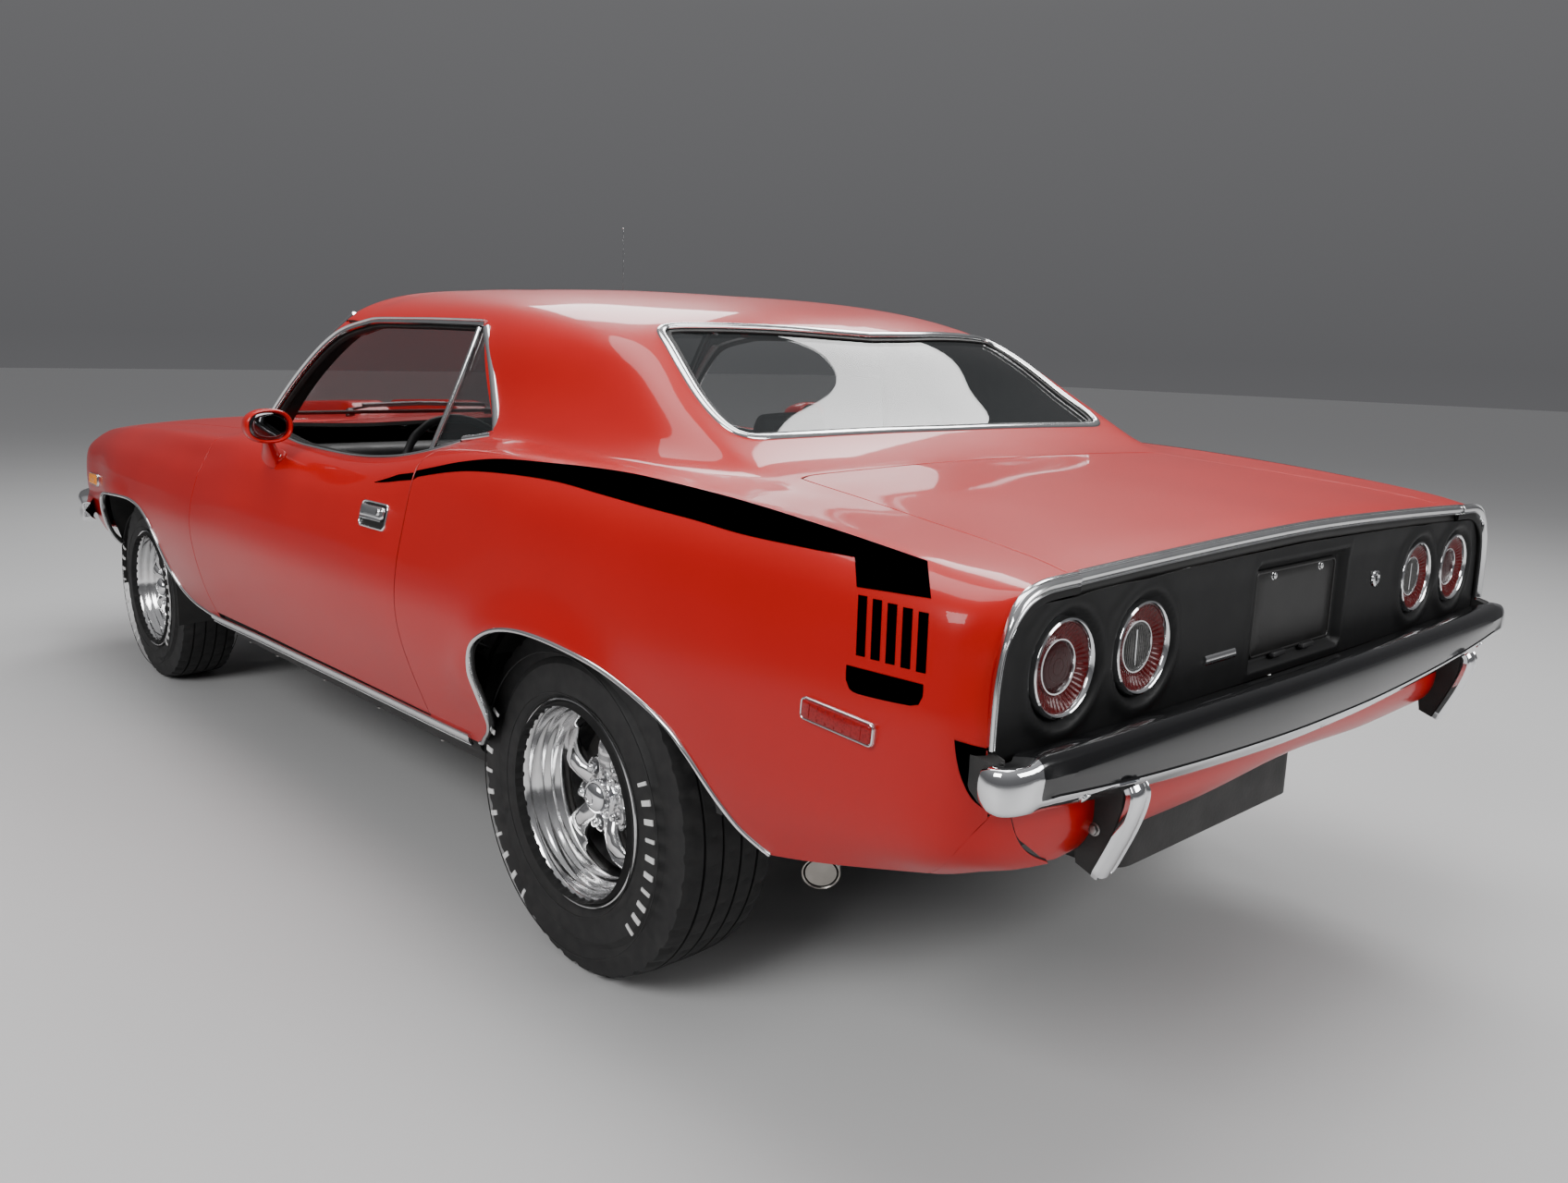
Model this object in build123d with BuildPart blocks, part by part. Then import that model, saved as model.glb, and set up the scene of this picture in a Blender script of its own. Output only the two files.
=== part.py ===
from build123d import *
import os
from math import sin, cos, tan, radians, degrees, atan2, hypot

os.makedirs("parts", exist_ok=True)

# ---------------------------------------------------------------------------
# Two-door hardtop coupe, millimetres.
# +X forward, +Y to the car's left, +Z up, origin on the floor under the middle.
# ---------------------------------------------------------------------------
LENGTH = 4740.0            # over both bumpers
REAR_END = -LENGTH / 2     # back of the bumper guards
REAR_AXLE_X = REAR_END + 1080.0
WHEELBASE = 2743.0
FRONT_AXLE_X = REAR_AXLE_X + WHEELBASE

REAR_TYRE_R, REAR_TYRE_W, REAR_WHEEL_Y = 347.0, 264.0, 750.0
FRONT_TYRE_R, FRONT_TYRE_W, FRONT_WHEEL_Y = 322.0, 232.0, 722.0
RIM_R, RIM_SEAT_R = 204.0, 190.0
KINGPIN_Y = 600.0

GAP = 5.0                  # shut lines
SEAM = 0.5                 # between panels that are welded together
SKIN = 26.0                # panel with its inner flange
GLASS = 8.0

DOOR_FRONT_X, DOOR_REAR_X = REAR_AXLE_X + 1870.0, REAR_AXLE_X + 545.0
DOOR_INNER_Y, DOOR_BOTTOM_Z = 812.0, 396.0
DOOR_HINGE_X, DOOR_HINGE_Y = DOOR_FRONT_X + 60.0, 928.0
COWL_X = REAR_AXLE_X + 1935.0      # hood's rear edge
NOSE_X = REAR_AXLE_X + 3480.0      # hood's front edge
HOOD_HINGE_X, HOOD_HINGE_Z = COWL_X + 32.0, 952.0
DECK_FRONT_X = REAR_AXLE_X - 328.0
DECK_REAR_X = REAR_AXLE_X - 975.0
DECK_HINGE_X, DECK_HINGE_Z = DECK_FRONT_X - 28.0, 992.0
FLOOR_Z = 318.0                    # top of the cabin floor

# Body below the glass. One row for each cross-section, columns named here:
# x from the rear axle, then height and half-width of: underside edge, lower
# side, widest line, upper side, shoulder, lid edge; then height on the middle.
BODY = [
    # x     zb   yb   zl   yl   zw   yw   zu   yu   zs   ys   ze   ye   zc
    (-985, 500, 770, 580, 850, 690, 880, 800, 868, 912, 815, 921, 694, 926),
    (-700, 475, 860, 560, 905, 690, 925, 800, 920, 953, 845, 960, 665, 972),
    (-320, 430, 870, 540, 925, 675, 946, 800, 938, 985, 850, 990, 610, 998),
    ( 100, 395, 868, 540, 927, 665, 950, 800, 938, 1003, 850, 1006, 640, 1010),
    ( 540, 376, 867, 538, 927, 664, 951, 792, 933, 975, 866, 980, 740, 985),
    (1000, 374, 868, 538, 927, 664, 951, 792, 930, 918, 850, 922, 760, 925),
    (1600, 370, 870, 500, 920, 664, 951, 792, 927, 930, 862, 940, 735, 962),
    (1870, 366, 872, 500, 925, 664, 950, 792, 920, 920, 850, 936, 705, 966),
    (2300, 380, 865, 500, 915, 650, 944, 780, 915, 896, 822, 914, 690, 948),
    (2742, 400, 855, 500, 905, 650, 935, 770, 905, 878, 800, 896, 675, 926),
    (3150, 430, 820, 500, 865, 645, 888, 750, 875, 848, 770, 864, 655, 892),
    (3420, 450, 770, 520, 805, 630, 830, 740, 820, 830, 735, 844, 612, 866),
    (3530, 470, 730, 540, 770, 630, 793, 735, 785, 818, 700, 830, 580, 850),
    (3600, 480, 660, 540, 700, 630, 722, 730, 714, 804, 630, 814, 520, 832),
]

# Glasshouse. Columns: x from the rear axle, height on the middle, then
# half-width and height of: crown, drip edge, belt.
HOUSE = [
    # x     zc    yk   zk    yd   zd    yb   zb
    (-420,  985, 600,  982, 700,  972, 835, 930),
    (-170, 1045, 450, 1050, 640, 1052, 830, 935),
    (  90, 1266, 450, 1255, 640, 1170, 815, 935),
    ( 300, 1315, 450, 1292, 655, 1215, 800, 930),
    ( 640, 1343, 450, 1325, 660, 1252, 790, 925),
    (1100, 1352, 450, 1335, 660, 1260, 785, 925),
    (1400, 1338, 450, 1316, 672, 1232, 785, 925),
    (1660, 1168, 450, 1130, 745, 1006, 785, 925),
    (1960,  975, 450,  962, 690,  945, 765, 925),
]

# Side window opening, x from the rear axle and z.
SIDE_WINDOW = [(1690, 900), (1650, 1000), (1400, 1206), (1260, 1236), (1000, 1242),
               (650, 1236), (452, 1010), (452, 900)]
WINDSHIELD = [(-700, 985), (-560, 1262), (0, 1318), (560, 1262), (700, 985), (0, 985)]
BACKLIGHT = [(-600, 1052), (-615, 1085), (-530, 1232), (0, 1256), (530, 1232),
             (615, 1085), (600, 1052), (0, 1044)]

# Wheel openings, x from their own axle and z.
REAR_ARCH = [(335, 300), (325, 400), (266, 434), (274, 489), (272, 559), (250, 630), (190, 668),
             (100, 688), (0, 694), (-121, 690), (-233, 674), (-338, 640),
             (-437, 586), (-530, 532), (-640, 476), (-640, 300)]
FRONT_ARCH = [(372, 300), (380, 430), (372, 520), (330, 600), (250, 648), (120, 668),
              (-60, 668), (-230, 652), (-370, 608), (-480, 560), (-580, 520),
              (-660, 453), (-776, 392), (-776, 300)]


def X(x):
    return x + REAR_AXLE_X


def body_form(inset=0.0, mode=Mode.ADD, rows=BODY):
    rings = []
    for row in rows:
        x, zb, yb, zl, yl, zw, yw, zu, yu, zs, ys, ze, ye, zc = row
        half = [(0, zb + inset), (yb - inset, zb + inset), (yl - inset, zl), (yw - inset, zw),
                (yu - inset, zu), (ys - inset, zs - inset * 0.8), (ye - inset * 0.5, ze - inset),
                (0, zc - inset)]
        rings.append(ring(X(x), half))
    loft(rings, ruled=True, mode=mode)


def house_form(inset=0.0, mode=Mode.ADD, low=0.0):
    rings = []
    for row in HOUSE:
        x, zc, yk, zk, yd, zd, yb, zb = row
        half = [(0, zb - low), (yb - inset, zb - low), (yd - inset, zd - inset * 0.7),
                (yk - inset * 0.3, zk - inset), (0, zc - inset)]
        rings.append(ring(X(x), half))
    loft(rings, ruled=True, mode=mode)


def ring(x, half):
    other = [(-y, z) for y, z in reversed(half) if y > 0]
    with BuildSketch(Plane.YZ.offset(x)) as sketch:
        with BuildLine():
            Polyline(*half, *other, close=True)
        make_face()
    return sketch.sketch.faces()[0]


def side_prism(points, y0, y1, mode=Mode.ADD):
    with BuildSketch(Plane.XZ.offset(-y1)) as outline:
        with BuildLine():
            Polyline(*points, close=True)
        make_face()
    extrude(outline.sketch, amount=y1 - y0, mode=mode)


def front_prism(points, x0, x1, mode=Mode.ADD):
    with BuildSketch(Plane.YZ.offset(x0)) as outline:
        with BuildLine():
            Polyline(*points, close=True)
        make_face()
    extrude(outline.sketch, amount=x1 - x0, mode=mode)


def plan_prism(points, z0, z1, mode=Mode.ADD):
    with BuildSketch(Plane.XY.offset(z0)) as outline:
        with BuildLine():
            Polyline(*points, close=True)
        make_face()
    extrude(outline.sketch, amount=z1 - z0, mode=mode)


def block(x0, x1, y0, y1, z0, z1, mode=Mode.ADD):
    with BuildSketch(Plane.XY.offset(z0)) as outline:
        with Locations(((x0 + x1) / 2, (y0 + y1) / 2)):
            Rectangle(x1 - x0, y1 - y0)
    extrude(outline.sketch, amount=z1 - z0, mode=mode)


def along_y(x, z, r, y0, y1, mode=Mode.ADD):
    with BuildSketch(Plane.XZ.offset(-y1)) as outline:
        with Locations((x, z)):
            Circle(r)
    extrude(outline.sketch, amount=y1 - y0, mode=mode)


def along_x(y, z, r, x0, x1, mode=Mode.ADD):
    with BuildSketch(Plane.YZ.offset(x0)) as outline:
        with Locations((y, z)):
            Circle(r)
    extrude(outline.sketch, amount=x1 - x0, mode=mode)


def rod(a, b, r, mode=Mode.ADD):
    d = Vector(*b) - Vector(*a)
    with BuildSketch(Plane(origin=a, z_dir=d)) as outline:
        Circle(r)
    extrude(outline.sketch, amount=d.length, mode=mode)


def ring_about_axle(profile, axle_x, y, z, mode=Mode.ADD):
    other = [(r, -w) for r, w in reversed(profile)]
    with BuildSketch(Plane.XY) as section:
        with BuildLine():
            Polyline(*profile, *other, close=True)
        make_face()
    face = section.sketch.faces()[0].moved(Location((axle_x, y, z)))
    revolve(face, axis=Axis((axle_x, y, z), (0, 1, 0)), mode=mode)


def save(part, name):
    part.part.label = name
    export_step(part.part, "parts/" + name + ".step")


def save_mirror(part, name):
    with BuildPart() as other:
        add(mirror(part.part, about=Plane.XZ, mode=Mode.PRIVATE))
    save(other, name)


# Lid outlines in plan, half-width at each x from the rear axle.
HOOD_EDGE = [(1935, 702), (2300, 688), (2742, 673), (3150, 650), (3420, 608), (3480, 590)]
DECK_EDGE = [(-328, 600), (-480, 622), (-700, 660), (-975, 692)]


def lid_outline(edge, grow=0.0, first=None, last=None):
    pts = [(X(x), y + grow) for x, y in edge]
    if first is not None:
        pts[0] = (first, pts[0][1])
    if last is not None:
        pts[-1] = (last, pts[-1][1])
    return pts + [(x, -y) for x, y in reversed(pts)]


# --- Doors ------------------------------------------------------------------
with BuildPart() as door_left:
    body_form()
    plan_prism([(DOOR_REAR_X, 1000), (DOOR_REAR_X, 920), (DOOR_REAR_X + 26, DOOR_INNER_Y),
                (DOOR_FRONT_X - 3, DOOR_INNER_Y), (DOOR_FRONT_X - 3, 1000)],
               DOOR_BOTTOM_Z, 1000, mode=Mode.INTERSECT)
save(door_left, "door_left")
save_mirror(door_left, "door_right")

# --- Rear quarter panels ------------------------------------------------------
VALANCE = [(-1010, 640), (-985, 628), (-905, 545), (-868, 500), (-868, 430), (-1010, 430)]

with BuildPart() as quarter_panel_left:
    body_form()
    body_form(SKIN, mode=Mode.SUBTRACT)
    block(X(-970), DOOR_REAR_X - GAP, 560, 1000, 376, 1030, mode=Mode.INTERSECT)
    side_prism([(X(x), z) for x, z in REAR_ARCH], 500, 1000, mode=Mode.SUBTRACT)
    side_prism([(X(x + 1), z + 1) for x, z in VALANCE], 500, 1000, mode=Mode.SUBTRACT)
    plan_prism(lid_outline(DECK_EDGE, GAP, first=DECK_FRONT_X + GAP, last=X(-1000)),
               880, 1040, mode=Mode.SUBTRACT)
    house_form(-1, mode=Mode.SUBTRACT, low=1)
    block(X(-330), DOOR_REAR_X + 40, 500, 720, 850, 1040, mode=Mode.SUBTRACT)
    block(X(150), DOOR_REAR_X + 40, 500, 835, 370, 410, mode=Mode.SUBTRACT)
    ring_about_axle([(100, REAR_TYRE_W / 2 + 6), (290, REAR_TYRE_W / 2 + 6), (328, 122), (348, 108), (355, 80)],
                    REAR_AXLE_X, REAR_WHEEL_Y, REAR_TYRE_R, mode=Mode.SUBTRACT)
    block(DOOR_REAR_X - GAP - 24, DOOR_REAR_X - GAP, 800, 905, 404, 925)
save(quarter_panel_left, "quarter_panel_left")
save_mirror(quarter_panel_left, "quarter_panel_right")

# --- Front fenders ------------------------------------------------------------
with BuildPart() as fender_left:
    body_form()
    body_form(SKIN, mode=Mode.SUBTRACT)
    block(DOOR_FRONT_X + 4, X(3436), 560, 1000, 366, 1000, mode=Mode.INTERSECT)
    side_prism([(x + FRONT_AXLE_X, z) for x, z in FRONT_ARCH], 500, 1000, mode=Mode.SUBTRACT)
    plan_prism(lid_outline(HOOD_EDGE, GAP, first=COWL_X - GAP, last=NOSE_X + 60), 700, 1000, mode=Mode.SUBTRACT)
    block(X(1850), COWL_X - GAP + 1, 500, 724, 800, 1000, mode=Mode.SUBTRACT)
    block(X(1850), X(3440), 500, 795, 340, 500, mode=Mode.SUBTRACT)
save(fender_left, "fender_left")
save_mirror(fender_left, "fender_right")

# --- Hood with two low scoops, and deck lid -----------------------------------
with BuildPart() as hood:
    body_form()
    body_form(28, mode=Mode.SUBTRACT)
    plan_prism(lid_outline(HOOD_EDGE), 760, 1040, mode=Mode.INTERSECT)
    for side in (1, -1):
        y0, y1 = sorted((side * 105, side * 285))
        side_prism([(X(2270), 925), (X(2400), 962), (X(2560), 978), (X(2790), 976),
                    (X(2790), 912), (X(2300), 915)], y0, y1)
save(hood, "hood")

with BuildPart() as deck_lid:
    body_form()
    body_form(28, mode=Mode.SUBTRACT)
    plan_prism(lid_outline(DECK_EDGE), 860, 1040, mode=Mode.INTERSECT)
    block(X(-990), X(-300), -720, 720, 880, 1040, mode=Mode.INTERSECT)
save(deck_lid, "deck_lid")

# --- Roof with its four pillars and the panel under the back window -------------
with BuildPart() as roof:
    house_form()
    house_form(30, mode=Mode.SUBTRACT, low=20)
    side_prism([(X(x), z) for x, z in SIDE_WINDOW], -1000, 1000, mode=Mode.SUBTRACT)
    front_prism(WINDSHIELD, X(1380), X(2100), mode=Mode.SUBTRACT)
    front_prism(BACKLIGHT, X(-500), X(180), mode=Mode.SUBTRACT)
    plan_prism(lid_outline(DECK_EDGE, GAP, first=DECK_FRONT_X + GAP, last=X(-1000)),
               880, 1040, mode=Mode.SUBTRACT)
    block(COWL_X - 9, X(2000), -1000, 1000, 900, 1000, mode=Mode.SUBTRACT)
    for side in (1, -1):
        y0, y1 = sorted((side * 720, side * 1000))
        block(X(1862), X(2000), y0, y1, 900, 1000, mode=Mode.SUBTRACT)
save(roof, "roof")

# --- Glass ------------------------------------------------------------------------
with BuildPart() as windshield:
    house_form(4)
    house_form(4 + GLASS, mode=Mode.SUBTRACT, low=20)
    front_prism([(y * 0.985, 987 + (z - 985) * 0.985) for y, z in WINDSHIELD], X(1383), X(2100),
                mode=Mode.INTERSECT)
save(windshield, "windshield")

with BuildPart() as back_window:
    house_form(4)
    house_form(4 + GLASS, mode=Mode.SUBTRACT, low=20)
    front_prism([(y * 0.985, 1050 + (z - 1050) * 0.985) for y, z in BACKLIGHT], X(-400), X(178),
                mode=Mode.INTERSECT)
save(back_window, "back_window")

with BuildPart() as quarter_glasses:
    house_form(8)
    house_form(8 + GLASS, mode=Mode.SUBTRACT, low=20)
    side_prism([(X(x), z) for x, z in [(458, 940), (458, 1008), (652, 1233), (664, 1233), (715, 940)]],
               -1000, 1000, mode=Mode.INTERSECT)
save(quarter_glasses, "quarter_glasses")

# --- Cowl, dash panel and hinge pillars ----------------------------------------------
with BuildPart() as cowl:
    body_form()
    block(X(1650), COWL_X - GAP, -790, 790, 870, 1000, mode=Mode.INTERSECT)
    block(X(1868), X(2000), 722, 900, 800, 1000, mode=Mode.SUBTRACT)
    block(X(1868), X(2000), -900, -722, 800, 1000, mode=Mode.SUBTRACT)
    block(X(1600), X(2000), -900, 900, 924, 1000, mode=Mode.SUBTRACT)
    block(X(1905), X(2000), -900, 900, 860, 905, mode=Mode.SUBTRACT)
    block(X(1820), X(1835), -780, 780, 320, 872)
    block(X(1815), X(1840), -142, 142, 300, 492, mode=Mode.SUBTRACT)
    for side in (1, -1):
        y0, y1 = sorted((side * 740, side * 790))
        block(X(1790), X(1862), y0, y1, 320, 872)
save(cowl, "cowl")

# --- Floor: cabin floor with tunnel, rear seat step, trunk floor, wheelhouses, shelf -----
def arch_points(r, low):
    pts = [(REAR_AXLE_X + r * cos(radians(a)), REAR_TYRE_R + r * sin(radians(a))) for a in range(14, 167, 19)]
    return [(pts[0][0], low)] + pts + [(pts[-1][0], low)]


with BuildPart() as floor_pan:
    block(X(180), X(1815), -150, 150, FLOOR_Z - 12, 500)
    block(X(100), X(1850), -135, 135, FLOOR_Z - 30, 485, mode=Mode.SUBTRACT)
    for side in (1, -1):
        y0, y1 = sorted((side * (150 + SEAM), side * 796))
        block(X(425), X(1840), y0, y1, FLOOR_Z - 18, FLOOR_Z)
        y0, y1 = sorted((side * (150 + SEAM), side * 560))
        side_prism([(X(425), FLOOR_Z + SEAM), (X(440), FLOOR_Z + SEAM), (X(440), 440), (X(190), 440), (X(190), 520),
                    (X(176), 520), (X(176), 425), (X(425), 425)], y0, y1)
        y0, y1 = sorted((side * 570, side * 830))
        i0, i1 = sorted((side * 584, side * 1000))
        side_prism(arch_points(422, 440), y0, y1)
        side_prism(arch_points(406, 300), i0, i1, mode=Mode.SUBTRACT)
    plan_prism([(X(-862), 555), (X(-862), -555), (X(-400), -555), (X(-400), -569), (X(175), -569), (X(175), 569),
                (X(-400), 569), (X(-400), 555)], 502, 518)
    side_prism([(X(60), 518 + SEAM), (X(80), 518 + SEAM), (X(45), 940), (X(25), 940)], -566, 566)
    block(X(-300), X(24), -640, 640, 928, 944)
save(floor_pan, "floor_pan")

# --- Sills -----------------------------------------------------------------------------
with BuildPart() as rockers:
    for side in (1, -1):
        y0, y1 = sorted((side * 798, side * 862))
        side_prism([(X(430), 372), (X(430), 330), (X(470), 300), (X(1900), 300), (X(1940), 330), (X(1940), 362),
                    (X(1862), 362), (X(1862), 390), (X(552), 390), (X(552), 372)], y0, y1)
save(rockers, "rockers")

# --- Tail ---------------------------------------------------------------------------------
LAMP_R, LAMP_Z = 66.0, 798.0
LAMP_YS = [-709, -510, 510, 709]
PLATE_Z, PLATE_BOLTS = 806.0, 177.8

with BuildPart() as tail_panel:
    front_prism([(-838, 632), (-866, 690), (-854, 800), (-812, 890), (-704, 905), (-704, 884), (704, 884),
                 (704, 905), (812, 890), (854, 800), (866, 690), (838, 632)], X(-984), X(-971.5))
    for y in LAMP_YS:
        along_x(y, LAMP_Z, LAMP_R + 1, X(-1000), X(-950), mode=Mode.SUBTRACT)
    for y in (-PLATE_BOLTS / 2, PLATE_BOLTS / 2):
        along_x(y, PLATE_Z, 3.5, X(-1000), X(-950), mode=Mode.SUBTRACT)
save(tail_panel, "tail_panel")

with BuildPart() as tail_lamps:
    for y in LAMP_YS:
        along_x(y, LAMP_Z, LAMP_R, X(-985), X(-960))
save(tail_lamps, "tail_lamps")

with BuildPart() as rear_valance:
    body_form()
    body_form(SKIN, mode=Mode.SUBTRACT)
    side_prism([(X(x), z) for x, z in VALANCE], -1000, 1000, mode=Mode.INTERSECT)
    front_prism([(-835, 560), (-800, 628), (800, 628), (835, 560), (700, 505), (-700, 505)], X(-985), X(-972))
save(rear_valance, "rear_valance")

REAR_BUMPER = [(-925, 893), (-962, 908), (-1005, 898), (-1040, 830), (-1058, 500), (-1066, 0)]
with BuildPart() as rear_bumper:
    plan_prism([(X(x), y) for x, y in REAR_BUMPER] + [(X(x), -y) for x, y in reversed(REAR_BUMPER[:-1])] +
               [(X(-925), -880), (X(-990), -872), (X(-998), -400), (X(-998), 400), (X(-990), 872), (X(-925), 880)],
               628, 712)
    body_form(-1, mode=Mode.SUBTRACT)
    for side in (1, -1):
        y0, y1 = sorted((side * 606, side * 668))
        side_prism([(REAR_END, 655), (X(-1060), 655), (X(-1060), 626), (X(-992), 626), (X(-985), 492), (X(-1010), 488), (REAR_END, 612)],
                   y0, y1)
save(rear_bumper, "rear_bumper")

# --- Nose -------------------------------------------------------------------------------------
HEADLAMP_Y, HEADLAMP_Z, HEADLAMP_R = 560.0, 655.0, 88.0
with BuildPart() as nose:
    body_form()
    body_form(SKIN, mode=Mode.SUBTRACT)
    block(X(3437), X(3600), -1000, 1000, 440, 1000, mode=Mode.INTERSECT)
    plan_prism(lid_outline(HOOD_EDGE, GAP, first=COWL_X, last=NOSE_X + GAP), 700, 1000, mode=Mode.SUBTRACT)
save(nose, "nose")

with BuildPart() as grille:
    front_prism([(-640, 530), (-664, 600), (-660, 715), (-590, 760), (0, 782), (590, 760), (660, 715), (664, 600),
                 (640, 530)], X(3566), X(3578))
    for y in (-HEADLAMP_Y, HEADLAMP_Y):
        along_x(y, HEADLAMP_Z, HEADLAMP_R + 2, X(3500), X(3620), mode=Mode.SUBTRACT)
save(grille, "grille")

with BuildPart() as headlamps:
    for y in (-HEADLAMP_Y, HEADLAMP_Y):
        along_x(y, HEADLAMP_Z, HEADLAMP_R, X(3540), X(3592))
save(headlamps, "headlamps")

FRONT_BUMPER = [(3200, 905), (3330, 887), (3450, 853), (3560, 790), (3625, 660), (3650, 400), (3660, 0)]
with BuildPart() as front_bumper:
    plan_prism([(X(x), y) for x, y in FRONT_BUMPER] + [(X(x), -y) for x, y in reversed(FRONT_BUMPER[:-1])] +
               [(X(3200), -889), (X(3330), -865), (X(3430), -832), (X(3530), -770), (X(3600), -400),
                (X(3600), 400), (X(3530), 770), (X(3430), 832), (X(3330), 865), (X(3200), 889)], 505, 600)
    body_form(-1, mode=Mode.SUBTRACT)
save(front_bumper, "front_bumper")

# --- Front structure: rails, aprons and radiator support ------------------------------------------
with BuildPart() as front_structure:
    for side in (1, -1):
        y0, y1 = sorted((side * 370, side * 430))
        block(X(1844), X(3420), y0, y1, 300, 400)
        y0, y1 = sorted((side * 410, side * 428))
        side_prism([(X(1844), 400), (X(3420), 400), (X(3420), 790), (X(2742), 840), (X(1844), 850)], y0, y1)
    block(X(3405), X(3420), -430, 430, 300, 790)
save(front_structure, "front_structure")

with BuildPart() as engine:
    block(X(2230), X(2960), -285, 285, 420, 820)
    block(X(2330), X(2900), -150, 150, 290, 420)
save(engine, "engine")

with BuildPart() as front_suspension:
    block(FRONT_AXLE_X - 60, FRONT_AXLE_X + 60, -368, 368, 212, 280)
    for side in (1, -1):
        plan_prism([(FRONT_AXLE_X - 130, side * 366), (FRONT_AXLE_X + 130, side * 366),
                    (FRONT_AXLE_X + 32, side * 574), (FRONT_AXLE_X - 32, side * 574)], 212, 244)
        plan_prism([(FRONT_AXLE_X - 110, side * 434), (FRONT_AXLE_X + 110, side * 434),
                    (FRONT_AXLE_X + 28, side * 574), (FRONT_AXLE_X - 28, side * 574)], 442, 466)
save(front_suspension, "front_suspension")

with BuildPart() as knuckle_left:
    with Locations((FRONT_AXLE_X, 600, FRONT_TYRE_R + 18)):
        Cylinder(22, 180)
    along_y(FRONT_AXLE_X, FRONT_TYRE_R, 45, 598, 622)
    along_y(FRONT_AXLE_X, FRONT_TYRE_R, 28, 600, 654)
    block(FRONT_AXLE_X - 140, FRONT_AXLE_X, 586, 604, 270, 290)
save(knuckle_left, "knuckle_left")
save_mirror(knuckle_left, "knuckle_right")

# --- Driveline, springs, exhaust, tank ------------------------------------------------------------
with BuildPart() as drive_shaft:
    block(X(1560), X(2215), -95, 95, 310, 470)
    rod((X(1562), 0, 395), (X(175), 0, REAR_TYRE_R), 38)
save(drive_shaft, "drive_shaft")

with BuildPart() as rear_axle:
    along_y(REAR_AXLE_X, REAR_TYRE_R, 38, -646, 646)
    along_y(REAR_AXLE_X, REAR_TYRE_R, 118, -110, 110)
    along_x(0, REAR_TYRE_R, 60, X(90), X(172))
    for y in (-500, 500):
        side_prism([(X(415), 385), (X(250), 338), (X(60), 309), (X(-60), 309), (X(-380), 340), (X(-780), 440), (X(-780), 418),
                    (X(-380), 312), (X(0), 276), (X(250), 308), (X(415), 362)], y - 32, y + 32)
        block(X(-55), X(55), y - 40, y + 40, 309 + SEAM, 330)
save(rear_axle, "rear_axle")

EXHAUST = [(2060, 200, 262), (1000, 250, 262), (840, 330, 262)]
TAILPIPE = [(330, 330, 262), (210, 390, 285), (110, 430, 410), (-150, 440, 462), (-300, 470, 445),
            (-430, 610, 370), (-520, 700, 338)]
with BuildPart() as exhaust:
    block(X(322), X(842), 262, 400, 210, 296)
    for line in (EXHAUST, TAILPIPE):
        for a, b in zip(line[:-1], line[1:]):
            rod((X(a[0]), a[1], a[2]), (X(b[0]), b[1], b[2]), 27)
        for a in line[1:-1]:
            with Locations((X(a[0]), a[1], a[2])):
                Sphere(27)
    add(mirror(exhaust.part, about=Plane.XZ, mode=Mode.PRIVATE))
save(exhaust, "exhaust")

with BuildPart() as fuel_tank:
    block(X(-860), X(-440), -330, 330, 352, 470)
    fillet(fuel_tank.edges().filter_by(Axis.Z), 50)
save(fuel_tank, "fuel_tank")

# --- Cabin ------------------------------------------------------------------------------------------
STEER_X, STEER_Y, STEER_Z, STEER_TILT = X(1290), 370.0, 828.0, 24.0
STEER_DIR = (-cos(radians(STEER_TILT)), 0, sin(radians(STEER_TILT)))
with BuildPart() as dashboard:
    side_prism([(X(1640), 650), (X(1560), 660), (X(1500), 740), (X(1500), 860), (X(1540), 900), (X(1640), 912)],
               -730, 730)
    rod((STEER_X - STEER_DIR[0] * 300, STEER_Y, STEER_Z - STEER_DIR[2] * 300),
        (STEER_X - STEER_DIR[0] * 62, STEER_Y, STEER_Z - STEER_DIR[2] * 62), 34)
save(dashboard, "dashboard")

with BuildPart() as steering_wheel:
    with BuildSketch(Plane(origin=(STEER_X, STEER_Y, STEER_Z), x_dir=(0, 1, 0), z_dir=STEER_DIR)) as spokes:
        Circle(192)
        Circle(170, mode=Mode.SUBTRACT)
        Circle(58)
        with PolarLocations(0, 3, start_angle=90):
            with Locations((115, 0)):
                Rectangle(124, 26)
    extrude(spokes.sketch, amount=9, both=True)
    rod((STEER_X - STEER_DIR[0] * 58, STEER_Y, STEER_Z - STEER_DIR[2] * 58), (STEER_X, STEER_Y, STEER_Z), 30)
save(steering_wheel, "steering_wheel")

SEAT = [(720, 400), (1250, 400), (1290, 470), (1240, 545), (930, 520), (800, 900), (770, 1035), (700, 1035),
        (660, 880), (700, 540)]
with BuildPart() as front_seats:
    for y in (-370, 370):
        side_prism([(X(x), z) for x, z in SEAT], y - 215, y + 215)
        block(X(790), X(1200), y - 190, y + 190, FLOOR_Z + 1, 402)
save(front_seats, "front_seats")

with BuildPart() as rear_seat:
    side_prism([(X(200), 442), (X(600), 442), (X(622), 480), (X(600), 560), (X(310), 540), (X(170), 900),
                (X(95), 905), (X(130), 545), (X(200), 530)], -535, 535)
    block(X(120), X(640), -155, 155, FLOOR_Z, 503, mode=Mode.SUBTRACT)
save(rear_seat, "rear_seat")

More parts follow.
